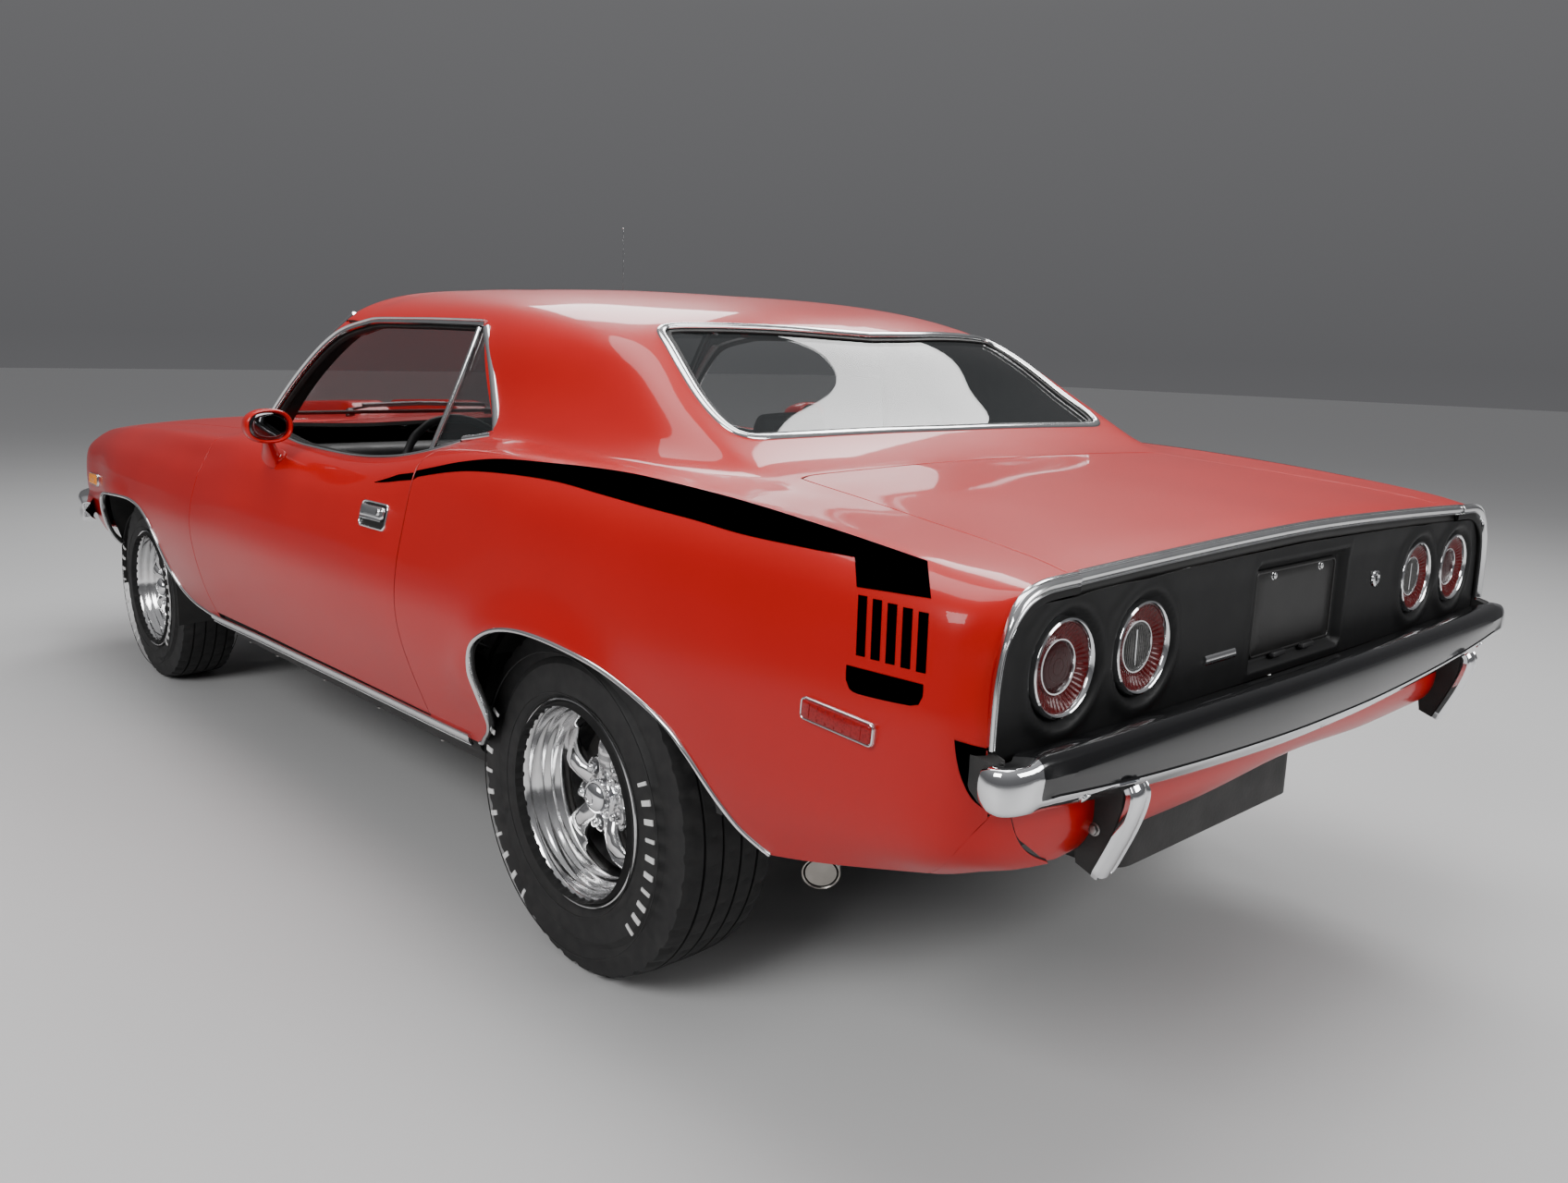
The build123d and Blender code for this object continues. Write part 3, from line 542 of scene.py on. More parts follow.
def revolve(profile, origin, axis, n=48, x_dir=None, closed_profile=True, arc=None):
    """profile (radius, along axis) turned about axis through origin. closed_profile joins its ends."""
    pr = np.array(profile, float)
    ax = np.array(axis, float)
    ax /= np.linalg.norm(ax)
    if x_dir is None:
        x_dir = np.array([0, 0, 1.0]) if abs(ax[2]) < 0.9 else np.array([1.0, 0, 0])
    xd = np.array(x_dir, float) - np.dot(x_dir, ax) * ax
    xd /= np.linalg.norm(xd)
    yd = np.cross(ax, xd)
    a = np.linspace(0, 2 * math.pi, n, endpoint=False)
    rings = []
    for t in a:
        d = math.cos(t) * xd + math.sin(t) * yd
        rings.append(np.array(origin) + pr[:, :1] * d + pr[:, 1:] * ax)
    rings = np.array(rings)
    m = len(pr)
    if closed_profile:
        f = grid_faces(n, m, closed_u=True, closed_v=True)
        return fix(rings.reshape(-1, 3), f)
    # open profile: ends with radius 0 become a point, others are capped by a fan
    v = list(rings.reshape(-1, 3))
    f = grid_faces(n, m, closed_u=True)
    for end in (0, m - 1):
        mid = np.array(origin) + pr[end, 1] * ax
        v.append(mid)
        c = len(v) - 1
        for i in range(n):
            f.append((c, i * m + end, ((i + 1) % n) * m + end) if end == 0 else (c, ((i + 1) % n) * m + end, i * m + end))
    v = np.array(v)
    if pr[0, 0] < 1e-9 or pr[-1, 0] < 1e-9:
        v, f = weld(v, f)
    return fix(v, f)


def weld(v, f, eps=1e-7):
    """Merges equal points and drops faces that collapse."""
    key = np.round(np.array(v) / eps).astype(np.int64)
    _, first, inv = np.unique(key, axis=0, return_index=True, return_inverse=True)
    inv = inv.reshape(-1)
    nv = np.array(v)[first]
    nf = []
    for q in f:
        r = []
        for i in q:
            j = int(inv[i])
            if not r or r[-1] != j:
                r.append(j)
        if len(r) > 1 and r[0] == r[-1]:
            r.pop()
        if len(set(r)) >= 3:
            nf.append(tuple(r))
    return nv, nf


def rounded_rect(w, h, r, n=4):
    pts = []
    for cx, cy, a0 in ((w / 2 - r, h / 2 - r, 0), (-w / 2 + r, h / 2 - r, 90), (-w / 2 + r, -h / 2 + r, 180), (w / 2 - r, -h / 2 + r, 270)):
        for k in range(n + 1):
            a = math.radians(a0 + 90 * k / n)
            pts.append((cx + r * math.cos(a), cy + r * math.sin(a)))
    return np.array(pts)


def slab(outline, origin, xd, yd, depth, bevel=0.001, crown=0.0):
    """A bevelled plate: closed 2D outline (counter-clockwise) in the plane of xd, yd, thickness along their cross."""
    o = np.array(outline, float)
    xd, yd = np.array(xd, float), np.array(yd, float)
    n = np.cross(xd, yd)
    c = o.mean(0)
    t = np.roll(o, -1, 0) - np.roll(o, 1, 0)
    t /= np.maximum(np.linalg.norm(t, axis=1, keepdims=True), 1e-9)
    nrm = np.stack([t[:, 1], -t[:, 0]], 1)
    rings = []
    for off, z in ((-bevel, 0.0), (0.0, bevel), (0.0, depth - bevel), (-bevel * 0.4, depth - bevel * 0.4), (-bevel, depth)):
        q = o + nrm * off
        rings.append(np.array(origin) + q[:, :1] * xd + q[:, 1:] * yd + z * n)
    q = o + nrm * (-bevel)
    for k, lift in ((0.75, 0.45), (0.45, 0.8), (0.2, 0.95)):
        qq = c + (q - c) * k
        rings.append(np.array(origin) + qq[:, :1] * xd + qq[:, 1:] * yd + (depth + crown * lift) * n)
    rings = np.array(rings)
    v, f = loft(rings, cap=True)
    v = np.array(v)
    v[-1] = np.array(origin) + c[0] * xd + c[1] * yd + (depth + crown) * n
    return v, f


def box_part(lo, hi, bevel=0.003, n=2):
    """A box with rounded vertical edges and bevelled rims."""
    lo, hi = np.array(lo, float), np.array(hi, float)
    w, h = hi[0] - lo[0], hi[1] - lo[1]
    b = min(bevel, w * 0.45, h * 0.45, (hi[2] - lo[2]) * 0.45)
    out = rounded_rect(w, h, b * 1.2, n)
    c = (lo + hi) / 2
    return slab(out, (c[0], c[1], lo[2]), (1, 0, 0), (0, 1, 0), hi[2] - lo[2], b)


def bolt(centre, axis, r, h, n=6, washer=True):
    """A hex head with a domed top and washer."""
    s = Soup()
    if washer:
        s.addp(revolve([(0, 0), (r * 1.25, 0), (r * 1.25, h * 0.15), (r * 1.05, h * 0.25), (0, h * 0.25)], centre, axis, 18, closed_profile=False))
    ax = np.array(axis, float)
    ax /= np.linalg.norm(ax)
    c = np.array(centre, float)
    a = np.array([0, 0, 1.0]) if abs(ax[2]) < 0.9 else np.array([1.0, 0, 0])
    xd = np.cross(a, ax)
    xd /= np.linalg.norm(xd)
    yd = np.cross(ax, xd)
    s.addp(slab(circle(r, n), c + ax * h * 0.2, xd, yd, h * 0.8, r * 0.12, r * 0.1))
    return s.v, s.f


def smooth_poly(points, spacing, closed=False, corner=None):
    """Resamples a polyline at even spacing after a Catmull-Rom rounding; corner lists indices kept sharp."""
    p = np.array(points, float)
    n = len(p)
    corner = set(corner or [])
    out = []
    rngi = n if closed else n - 1
    for i in range(rngi):
        p0, p1 = p[i], p[(i + 1) % n]
        pm = p[(i - 1) % n] if (closed or i > 0) else p0
        pp = p[(i + 2) % n] if (closed or i + 2 < n) else p1
        if i in corner:
            pm = p0
        if (i + 1) % n in corner:
            pp = p1
        L = np.linalg.norm(p1 - p0)
        d0 = (p1 - pm) * (L / max(np.linalg.norm(p0 - pm) + L, 1e-9)) if np.linalg.norm(p0 - pm) > 1e-9 else (p1 - p0)
        d1 = (pp - p0) * (L / max(np.linalg.norm(pp - p1) + L, 1e-9)) if np.linalg.norm(pp - p1) > 1e-9 else (p1 - p0)
        k = max(1, int(round(L / spacing)))
        for j in range(k):
            s = j / k
            h00, h10 = 2 * s**3 - 3 * s**2 + 1, s**3 - 2 * s**2 + s
            h01, h11 = -2 * s**3 + 3 * s**2, s**3 - s**2
            out.append(h00 * p0 + h10 * d0 + h01 * p1 + h11 * d1)
    if not closed:
        out.append(p[-1])
    return np.array(out)


RIDGED = [(-.5, -.3), (-.5, .30), (-.46, .50), (-.40, .42), (-.36, .26), (-.22, .60), (0, .74), (.22, .60), (.36, .26), (.40, .42),
          (.46, .50), (.5, .30), (.5, -.3)]
DOMED = [(-.5, -.3), (-.5, .15), (-.44, .45), (-.28, .78), (0, .95), (.28, .78), (.44, .45), (.5, .15), (.5, -.3)]
FLAT = [(-.5, -.3), (-.5, .55), (-.46, .80), (-.40, .88), (0, .92), (.40, .88), (.46, .80), (.5, .55), (.5, -.3)]
L_STRIP = [(-.5, -.3), (-.5, .20), (-.40, .80), (-.30, .95), (-.16, .80), (-.06, .45), (.2, .36), (.46, .30), (.5, .1), (.5, -.3)]


def tangents(p, closed=False):
    t = np.zeros_like(p)
    if closed:
        t = np.roll(p, -1, 0) - np.roll(p, 1, 0)
    else:
        t[1:-1] = p[2:] - p[:-2]
        t[0], t[-1] = p[1] - p[0], p[-1] - p[-2]
    return t / np.maximum(np.linalg.norm(t, axis=1, keepdims=True), 1e-12)


def ribbon(path, face, width, thick, prof=DOMED, closed=False, cap=True):
    """A strip lying on a surface: face is the outward direction (one or one per point)."""
    p = np.array(path, float)
    n = len(p)
    t = tangents(p, closed)
    f = np.array(np.broadcast_to(np.array(face, float), (n, 3)))
    f = f - np.sum(f * t, 1, keepdims=True) * t
    f /= np.maximum(np.linalg.norm(f, axis=1, keepdims=True), 1e-12)
    w = np.cross(f, t)
    wd = np.broadcast_to(np.array(width, float), (n,))
    th = np.broadcast_to(np.array(thick, float), (n,))
    pr = np.array(prof, float)
    rings = [p[i] + pr[:, :1] * wd[i] * w[i] + pr[:, 1:] * th[i] * f[i] for i in range(n)]
    return loft(rings, cap=cap, closed=closed)


def both(part_or_soup):
    v, f = part_or_soup if isinstance(part_or_soup, tuple) else (part_or_soup.v, part_or_soup.f)
    return (v, f), mirror_part((v, f))


def add_both(soup, part, mat=0):
    soup.addp(part, mat)
    soup.addp(mirror_part(part), mat)


def grid_normals(P, tri):
    fn = np.cross(P[tri[:, 1]] - P[tri[:, 0]], P[tri[:, 2]] - P[tri[:, 0]])
    vn = np.zeros_like(P)
    for k in range(3):
        np.add.at(vn, tri[:, k], fn)
    return vn / np.maximum(np.linalg.norm(vn, axis=1, keepdims=True), 1e-12)


def plate(outline, func, spacing=.008, thick=.004, holes=(), out=None, inner=None):
    """A closed sheet from a flat outline: func turns (a, b) rows into points; out is its outward direction."""
    o = np.array(outline, float)
    co, tri = triangulate(o, spacing, spacing, holes)
    P = func(co[:, 0], co[:, 1])
    N = grid_normals(P, tri)
    if np.sum(N @ np.array(out, float)) < 0:
        tri = tri[:, ::-1]
        N = -N
    v, f, n, m = shell(P, N, tri, thick=thick, hem=min(.0012, thick * .3), inner=inner)
    return v, f, n, m


def dense(poly, spacing=.01, closed=True):
    p = np.array(poly, float)
    out = []
    m = len(p) if closed else len(p) - 1
    for i in range(m):
        a, b = p[i], p[(i + 1) % len(p)]
        k = max(1, int(math.ceil(np.linalg.norm(b - a) / spacing)))
        for j in range(k):
            out.append(a + (b - a) * j / k)
    if not closed:
        out.append(p[-1])
    return np.array(out)


def sst(t):
    t = np.clip(t, 0, 1)
    return t * t * (3 - 2 * t)


# =====================================================================================
# Body surface: sections across the car, metres from the rear axle
# =====================================================================================
# Columns of a section: b bottom edge, l lower side, w widest, k crease, u upper side, a shoulder start,
# s shoulder top, c ledge, d belt or sail foot, e mid sail or side glass, f drip edge, g roof corner, h roof, i middle.
# Each is (z, y); the middle has y = 0.
KNOTS = "b l w k u a s c d e f g h i".split()
KW = np.cumsum([0, .16, .13, .09, .08, .09, .07, .06, .07, .11, .11, .11, .16, .42])
UW = {k: float(w) for k, w in zip(KNOTS, KW)}
SIDE = [   # x, then z,y of b, l, w, k, u, a, s
    (-1.000, .528, .735, .585, .815, .680, .846, .752, .846, .820, .838, .878, .828, .908, .806),
    (-0.985, .526, .775, .580, .848, .680, .873, .755, .870, .820, .862, .882, .851, .911, .822),
    (-0.955, .522, .812, .574, .884, .684, .905, .758, .903, .824, .895, .890, .880, .917, .838),
    (-0.920, .512, .832, .570, .898, .687, .919, .762, .917, .830, .908, .898, .889, .925, .845),
    (-0.850, .494, .846, .566, .904, .690, .926, .765, .923, .836, .914, .906, .893, .937, .848),
    (-0.700, .458, .857, .560, .908, .690, .930, .767, .927, .842, .917, .917, .896, .954, .851),
    (-0.500, .418, .861, .550, .918, .683, .940, .765, .936, .848, .925, .928, .903, .971, .856),
    (-0.320, .400, .865, .540, .925, .676, .947, .762, .942, .852, .930, .936, .907, .983, .858),
    (-0.100, .390, .867, .540, .927, .670, .950, .758, .944, .856, .931, .943, .909, .993, .860),
    (0.100, .384, .867, .540, .928, .666, .951, .756, .944, .858, .930, .947, .908, .999, .861),
    (0.300, .384, .867, .539, .928, .664, .951, .755, .943, .856, .925, .942, .905, .996, .862),
    (0.460, .378, .867, .538, .928, .664, .951, .755, .942, .850, .921, .930, .901, .982, .864),
    (0.600, .376, .867, .538, .928, .664, .951, .755, .942, .844, .920, .913, .900, .960, .866),
    (0.800, .375, .867, .538, .928, .664, .951, .755, .943, .834, .922, .888, .900, .931, .864),
    (1.000, .374, .867, .536, .928, .664, .951, .755, .943, .828, .923, .876, .901, .917, .862),
    (1.300, .372, .868, .530, .927, .664, .951, .755, .943, .827, .921, .876, .899, .919, .862),
    (1.600, .370, .870, .515, .924, .664, .951, .755, .942, .828, .916, .879, .895, .922, .862),
    (1.870, .365, .872, .500, .924, .660, .950, .742, .939, .812, .914, .866, .885, .909, .856),
    (2.100, .370, .870, .500, .920, .655, .948, .740, .937, .806, .912, .857, .880, .902, .845),
    (2.300, .378, .866, .500, .915, .652, .945, .742, .933, .804, .907, .852, .874, .896, .833),
    (2.742, .400, .855, .500, .905, .648, .936, .744, .922, .798, .893, .842, .853, .879, .805),
    (3.000, .418, .838, .500, .884, .645, .913, .742, .900, .790, .876, .830, .840, .864, .795),
    (3.150, .430, .818, .500, .864, .644, .890, .738, .880, .782, .860, .820, .826, .850, .782),
    (3.300, .440, .792, .508, .836, .640, .860, .734, .853, .776, .837, .810, .806, .838, .763),
    (3.420, .450, .768, .518, .806, .636, .830, .730, .826, .770, .813, .801, .784, .828, .742),
    (3.510, .462, .738, .528, .775, .632, .798, .725, .796, .764, .786, .793, .758, .818, .716),
    (3.580, .474, .690, .538, .726, .630, .748, .720, .746, .757, .737, .785, .712, .808, .672),
    (3.620, .482, .640, .545, .672, .628, .692, .716, .690, .752, .682, .778, .660, .800, .624),
]
TOP = [    # x, then z,y of c, d, e, f, g, h and z of i
    (-1.000, .917, .784, .919, .710, .920, .620, .921, .520, .9215, .40, .922, .22, .9225),
    (-0.985, .920, .790, .922, .710, .923, .620, .924, .520, .9248, .40, .9255, .22, .9262),
    (-0.955, .926, .794, .928, .710, .929, .620, .931, .520, .932, .40, .933, .22, .934),
    (-0.920, .933, .797, .935, .712, .936, .622, .938, .522, .940, .40, .9415, .22, .943),
    (-0.850, .943, .799, .945, .715, .946, .624, .948, .524, .950, .41, .952, .23, .954),
    (-0.700, .958, .800, .960, .720, .961, .632, .963, .530, .966, .43, .969, .25, .972),
    (-0.500, .976, .801, .977, .728, .978, .648, .981, .560, .984, .46, .987, .28, .990),
    (-0.400, .983, .801, .983, .735, .984, .665, .987, .590, .990, .49, .994, .31, .9965),
    (-0.325, .988, .801, .988, .741, .989, .680, .992, .620, .995, .535, 1.000, .345, 1.0025),
    (-0.265, .991, .801, .992, .745, .995, .692, 1.001, .645, 1.006, .580, 1.013, .365, 1.016),
    (-0.200, .994, .801, 1.000, .749, 1.012, .703, 1.026, .664, 1.032, .605, 1.037, .385, 1.039),
    (-0.130, .997, .800, 1.010, .750, 1.036, .708, 1.061, .671, 1.072, .612, 1.080, .400, 1.083),
    (-0.050, 1.000, .799, 1.021, .748, 1.064, .706, 1.102, .667, 1.117, .608, 1.133, .400, 1.150),
    (0.050, 1.004, .797, 1.033, .746, 1.094, .700, 1.154, .655, 1.183, .592, 1.216, .400, 1.235),
    (0.147, 1.007, .794, 1.041, .745, 1.114, .697, 1.193, .651, 1.235, .578, 1.266, .400, 1.283),
    (0.245, 1.009, .792, 1.047, .745, 1.127, .700, 1.215, .656, 1.263, .570, 1.293, .405, 1.307),
    (0.360, 1.010, .790, 1.049, .745, 1.134, .706, 1.228, .664, 1.284, .566, 1.313, .410, 1.326),
    (0.460, 1.005, .792, 1.044, .747, 1.134, .710, 1.237, .668, 1.296, .566, 1.324, .415, 1.336),
    (0.600, .978, .806, .996, .762, 1.115, .718, 1.245, .668, 1.305, .567, 1.333, .420, 1.344),
    (0.800, .943, .818, .951, .778, 1.100, .722, 1.249, .667, 1.310, .568, 1.338, .425, 1.350),
    (1.000, .927, .818, .930, .784, 1.090, .724, 1.250, .667, 1.312, .569, 1.340, .428, 1.353),
    (1.300, .929, .820, .928, .786, 1.085, .728, 1.244, .669, 1.307, .571, 1.337, .430, 1.351),
    (1.440, .933, .822, .933, .785, 1.080, .736, 1.224, .677, 1.286, .577, 1.318, .432, 1.333),
    (1.600, .938, .824, .950, .778, .975, .735, .985, .700, .982, .560, .985, .40, .992),
    (1.750, .932, .822, .944, .780, .958, .733, .964, .690, .968, .560, .973, .40, .980),
    (1.870, .921, .815, .929, .775, .937, .728, .942, .680, .951, .560, .959, .40, .966),
    (1.937, .917, .808, .924, .762, .930, .722, .934, .690, .945, .560, .954, .38, .961),
    (2.100, .911, .802, .917, .758, .921, .718, .925, .686, .937, .560, .947, .36, .955),
    (2.300, .904, .793, .910, .750, .914, .712, .918, .680, .930, .555, .940, .36, .948),
    (2.742, .887, .770, .893, .735, .896, .702, .900, .666, .911, .540, .920, .34, .927),
    (3.000, .873, .758, .879, .724, .882, .690, .886, .652, .896, .530, .904, .33, .910),
    (3.150, .860, .746, .866, .712, .870, .680, .874, .642, .884, .520, .892, .32, .897),
    (3.300, .848, .728, .854, .694, .858, .662, .862, .624, .872, .505, .879, .31, .884),
    (3.420, .838, .708, .844, .674, .848, .642, .851, .604, .861, .490, .868, .30, .872),
    (3.510, .827, .684, .833, .652, .837, .620, .841, .584, .850, .475, .857, .29, .861),
    (3.580, .815, .642, .821, .612, .825, .582, .829, .548, .837, .450, .843, .28, .847),
    (3.620, .806, .596, .811, .568, .815, .540, .818, .508, .826, .420, .831, .26, .834),
]


def spline_matrix(t, tq, natural=True):
    """Rows give a natural cubic spline through knots t, evaluated at tq, as weights of the knot values."""
    t, tq = np.array(t, float), np.array(tq, float)
    n = len(t)
    h = np.diff(t)
    A = np.zeros((n, n))
    B = np.zeros((n, n))
    A[0, 0] = A[-1, -1] = 1
    for i in range(1, n - 1):
        A[i, i - 1], A[i, i], A[i, i + 1] = h[i - 1], 2 * (h[i - 1] + h[i]), h[i]
        B[i, i - 1], B[i, i], B[i, i + 1] = 6 / h[i - 1], -6 / h[i - 1] - 6 / h[i], 6 / h[i]
    M = np.linalg.solve(A, B)
    k = np.clip(np.searchsorted(t, tq, side="right") - 1, 0, n - 2)
    s = tq - t[k]
    hk = h[k]
    W = np.zeros((len(tq), n))
    r = np.arange(len(tq))
    a, b = (hk - s), s
    W[r, k] += a / hk
    W[r, k + 1] += b / hk
    W += ((a**3 / (6 * hk) - a * hk / 6)[:, None]) * M[k] + ((b**3 / (6 * hk) - b * hk / 6)[:, None]) * M[k + 1]
    return W


def hermite_matrix(t, tq):
    """As spline_matrix, but local: tangents from the neighbours, so nothing rings far from a kink."""
    t, tq = np.array(t, float), np.array(tq, float)
    n = len(t)
    D = np.zeros((n, n))
    for i in range(n):
        if i == 0:
            D[i, 0], D[i, 1] = -1 / (t[1] - t[0]), 1 / (t[1] - t[0])
        elif i == n - 1:
            D[i, -2], D[i, -1] = -1 / (t[-1] - t[-2]), 1 / (t[-1] - t[-2])
        else:
            h0, h1 = t[i] - t[i - 1], t[i + 1] - t[i]
            D[i, i - 1] += -h1 / (h0 * (h0 + h1))
            D[i, i + 1] += h0 / (h1 * (h0 + h1))
            D[i, i] += (h1 - h0) / (h0 * h1)
    k = np.clip(np.searchsorted(t, tq, side="right") - 1, 0, n - 2)
    h = (t[k + 1] - t[k])
    s = (tq - t[k]) / h
    r = np.arange(len(tq))
    W = np.zeros((len(tq), n))
    W[r, k] += 2 * s**3 - 3 * s**2 + 1
    W[r, k + 1] += -2 * s**3 + 3 * s**2
    W += ((s**3 - 2 * s**2 + s) * h)[:, None] * D[k] + ((s**3 - s**2) * h)[:, None] * D[k + 1]
    return W


GX = np.arange(-1.0, 3.6205, 0.01)
GU = np.linspace(0, KW[-1], 331)


def gauss_smooth(a, sigma, axis=0):
    """Gaussian smoothing along an axis with sigma in samples, ends held by odd reflection."""
    a = np.moveaxis(a, axis, 0)
    r = int(4 * sigma) + 1
    k = np.exp(-0.5 * (np.arange(-r, r + 1) / sigma)**2)
    k /= k.sum()
    lo = 2 * a[0] - a[1:r + 1][::-1]
    hi = 2 * a[-1] - a[-r - 1:-1][::-1]
    b = np.concatenate([lo, a, hi], 0)
    out = sum(k[j] * b[j:j + len(a)] for j in range(2 * r + 1))
    return np.moveaxis(out, 0, axis)


def build_surface():
    side = np.array(SIDE)
    top = np.array(TOP)
    # the deck crowns a little more towards its rear edge
    k = np.interp(top[:, 0], [-1.0, -.985, -.955, -.92, -.85, -.70, -.50], [1, 1, .86, .70, .42, .14, 0])
    for c, d in ((5, .0005), (7, .003), (9, .007), (11, .0115), (13, .0142)):
        top[:, c] += k * d
    ws = spline_matrix(side[:, 0], GX)
    wt = hermite_matrix(top[:, 0], GX)
    z = np.zeros((len(GX), 14))
    y = np.zeros((len(GX), 14))
    for j in range(7):
        z[:, j] = ws @ side[:, 1 + 2 * j]
        y[:, j] = ws @ side[:, 2 + 2 * j]
    for j in range(6):
        z[:, 7 + j] = wt @ top[:, 1 + 2 * j]
        y[:, 7 + j] = wt @ top[:, 2 + 2 * j]
    z[:, 13] = wt @ top[:, 13]
    # fair the sections along the car, less at the tail corner and the ends
    zs, ys = gauss_smooth(z, 3.0), gauss_smooth(y, 3.0)
    wgt = np.clip((GX + 0.90) / 0.12, 0, 1) * np.clip((3.45 - GX) / 0.15, 0, 1)
    wgt = wgt[:, None]
    z, y = z * (1 - wgt) + zs * wgt, y * (1 - wgt) + ys * wgt
    # across: mirror past the middle so that the surface is smooth there
    t = np.concatenate([KW, 2 * KW[-1] - KW[-2::-1][:3]])
    z2 = np.concatenate([z, z[:, -2::-1][:, :3]], 1)
    y2 = np.concatenate([y, -y[:, -2::-1][:, :3]], 1)
    smooth = spline_matrix(t, GU)
    k = 3
    low = spline_matrix(t[:k + 1], GU[GU <= KW[k]])
    high = spline_matrix(t[k:], GU[GU > KW[k]])
    sharp = np.zeros_like(smooth)
    sharp[:len(low), :k + 1] = low
    sharp[len(low):, k:] = high
    c = np.clip((GX - 0.10) / 0.55, 0, 1)
    c = (c * c * (3 - 2 * c)) * 0.9
    c = (c * np.clip((3.3 - GX) / 0.5, 0, 1))[:, None]
    Z = (z2 @ smooth.T) * (1 - c) + (z2 @ sharp.T) * c
    Y = (y2 @ smooth.T) * (1 - c) + (y2 @ sharp.T) * c
    # swell round the wheel openings
    for ax, az, r0, amp in ((0.0, .347, .345, .010), (FX, .322, .345, .005)):
        d = np.hypot((GX[:, None] - ax - (-.02)) * .92, (Z - az)) - r0
        w = amp * np.exp(-(np.maximum(d, 0) / .05)**2) * np.clip((Z - .45) / .12, 0, 1)
        Y = Y + w * (np.arange(len(GU))[None] < 140)
    # the flank draws in ahead of the front wheel
    dy = np.interp(GX, [1.3, 1.9, 2.3, 2.55, FX, 2.9, 3.0, 3.1, 3.2, 3.3, 3.4], [0, .004, .009, .011, .014, .021, .026, .027, .018, .004, 0])
    dy = gauss_smooth(dy[:, None], 7.0)
    fade = np.clip((Z - .70) / .15, 0, 1)
    Y = Y - dy * (1 - fade * fade * (3 - 2 * fade)) * (np.arange(len(GU))[None] < 140)
    return Y, Z


SY, SZ = build_surface()


def bic(F, x, u):
    """Catmull-Rom lookup in the dense grid."""
    fx = (np.clip(x, GX[0], GX[-1]) - GX[0]) / (GX[1] - GX[0])
    fu = (np.clip(u, 0, GU[-1]) - GU[0]) / (GU[1] - GU[0])
    i = np.clip(np.floor(fx).astype(int), 1, len(GX) - 3)
    j = np.clip(np.floor(fu).astype(int), 1, len(GU) - 3)
    a, b = fx - i, fu - j

    def w(t):
        return (-0.5 * t + t**2 - 0.5 * t**3, 1 - 2.5 * t**2 + 1.5 * t**3, 0.5 * t + 2 * t**2 - 1.5 * t**3, -0.5 * t**2 + 0.5 * t**3)
    wa, wb = w(a), w(b)
    out = 0
    for p in range(4):
        for q in range(4):
            out = out + wa[p] * wb[q] * F[i + p - 1, j + q - 1]
    return out


def S(x, u):
    x, u = np.broadcast_arrays(np.array(x, float), np.array(u, float))
    return np.stack([x, bic(SY, x, u), bic(SZ, x, u)], -1)


def SN(x, u):
    """Outward unit normal."""
    x, u = np.broadcast_arrays(np.array(x, float), np.array(u, float))
    e, g = 0.004, 0.006
    dx = S(np.minimum(x + e, GX[-1]), u) - S(np.maximum(x - e, GX[0]), u)
    du = S(x, np.minimum(u + g, GU[-1])) - S(x, np.maximum(u - g, 0))
    n = np.cross(du, dx)
    n /= np.maximum(np.linalg.norm(n, axis=-1, keepdims=True), 1e-12)
    n[u >= GU[-1] - 1e-6, 1] = 0.0
    return n / np.maximum(np.linalg.norm(n, axis=-1, keepdims=True), 1e-12)


def u_of_z(x, z, lo="b", hi="s"):
    """u where the side is at height z."""
    us = np.linspace(UW[lo], UW[hi], 160)
    out = []
    for xx, zz in zip(np.atleast_1d(x), np.atleast_1d(z)):
        zc = bic(SZ, np.full_like(us, xx), us)
        zc = np.maximum.accumulate(zc)
        out.append(np.interp(zz, zc, us))
    return np.array(out)


def u_of_y(x, y, lo="s", hi="i"):
    """u where the top is at half-width y."""
    us = np.linspace(UW[lo], UW[hi], 260)
    out = []
    for xx, yy in zip(np.atleast_1d(x), np.atleast_1d(y)):
        yc = bic(SY, np.full_like(us, xx), us)
        yc = np.minimum.accumulate(yc)
        out.append(np.interp(-yy, -yc, us))
    return np.array(out)


def side_point(x, z, off=0.0):
    """Point on the side at (x, z), pushed out along the normal."""
    u = u_of_z(x, z)
    return S(x, u) + off * SN(x, u)


def seg(points, spacing=0.014):
    """Dense points along a polyline in (x, u)."""
    p = np.array(points, float)
    out = []
    for a, b in zip(p[:-1], p[1:]):
        d = np.hypot(b[0] - a[0], b[1] - a[1])
        k = max(1, int(math.ceil(d / spacing)))
        for j in range(k):
            out.append(a + (b - a) * j / k)
    out.append(p[-1])
    return np.array(out)


def inside(poly, pts):
    x, y = pts[:, 0], pts[:, 1]
    c = np.zeros(len(pts), bool)
    n = len(poly)
    for i in range(n):
        x0, y0 = poly[i]
        x1, y1 = poly[(i + 1) % n]
        cond = (y0 > y) != (y1 > y)
        with np.errstate(divide="ignore", invalid="ignore"):
            xi = (x1 - x0) * (y - y0) / (y1 - y0) + x0
        c ^= cond & (x < xi)
    return c


def dist_to(poly, pts, closed=True):
    best = np.full(len(pts), 1e9)
    n = len(poly)
    for i in range(n if closed else n - 1):
        a, b = poly[i], poly[(i + 1) % n]
        d = b - a
        L = max(np.dot(d, d), 1e-16)
        t = np.clip(((pts - a) @ d) / L, 0, 1)
        q = a + t[:, None] * d
        best = np.minimum(best, np.hypot(*(pts - q).T))
    return best


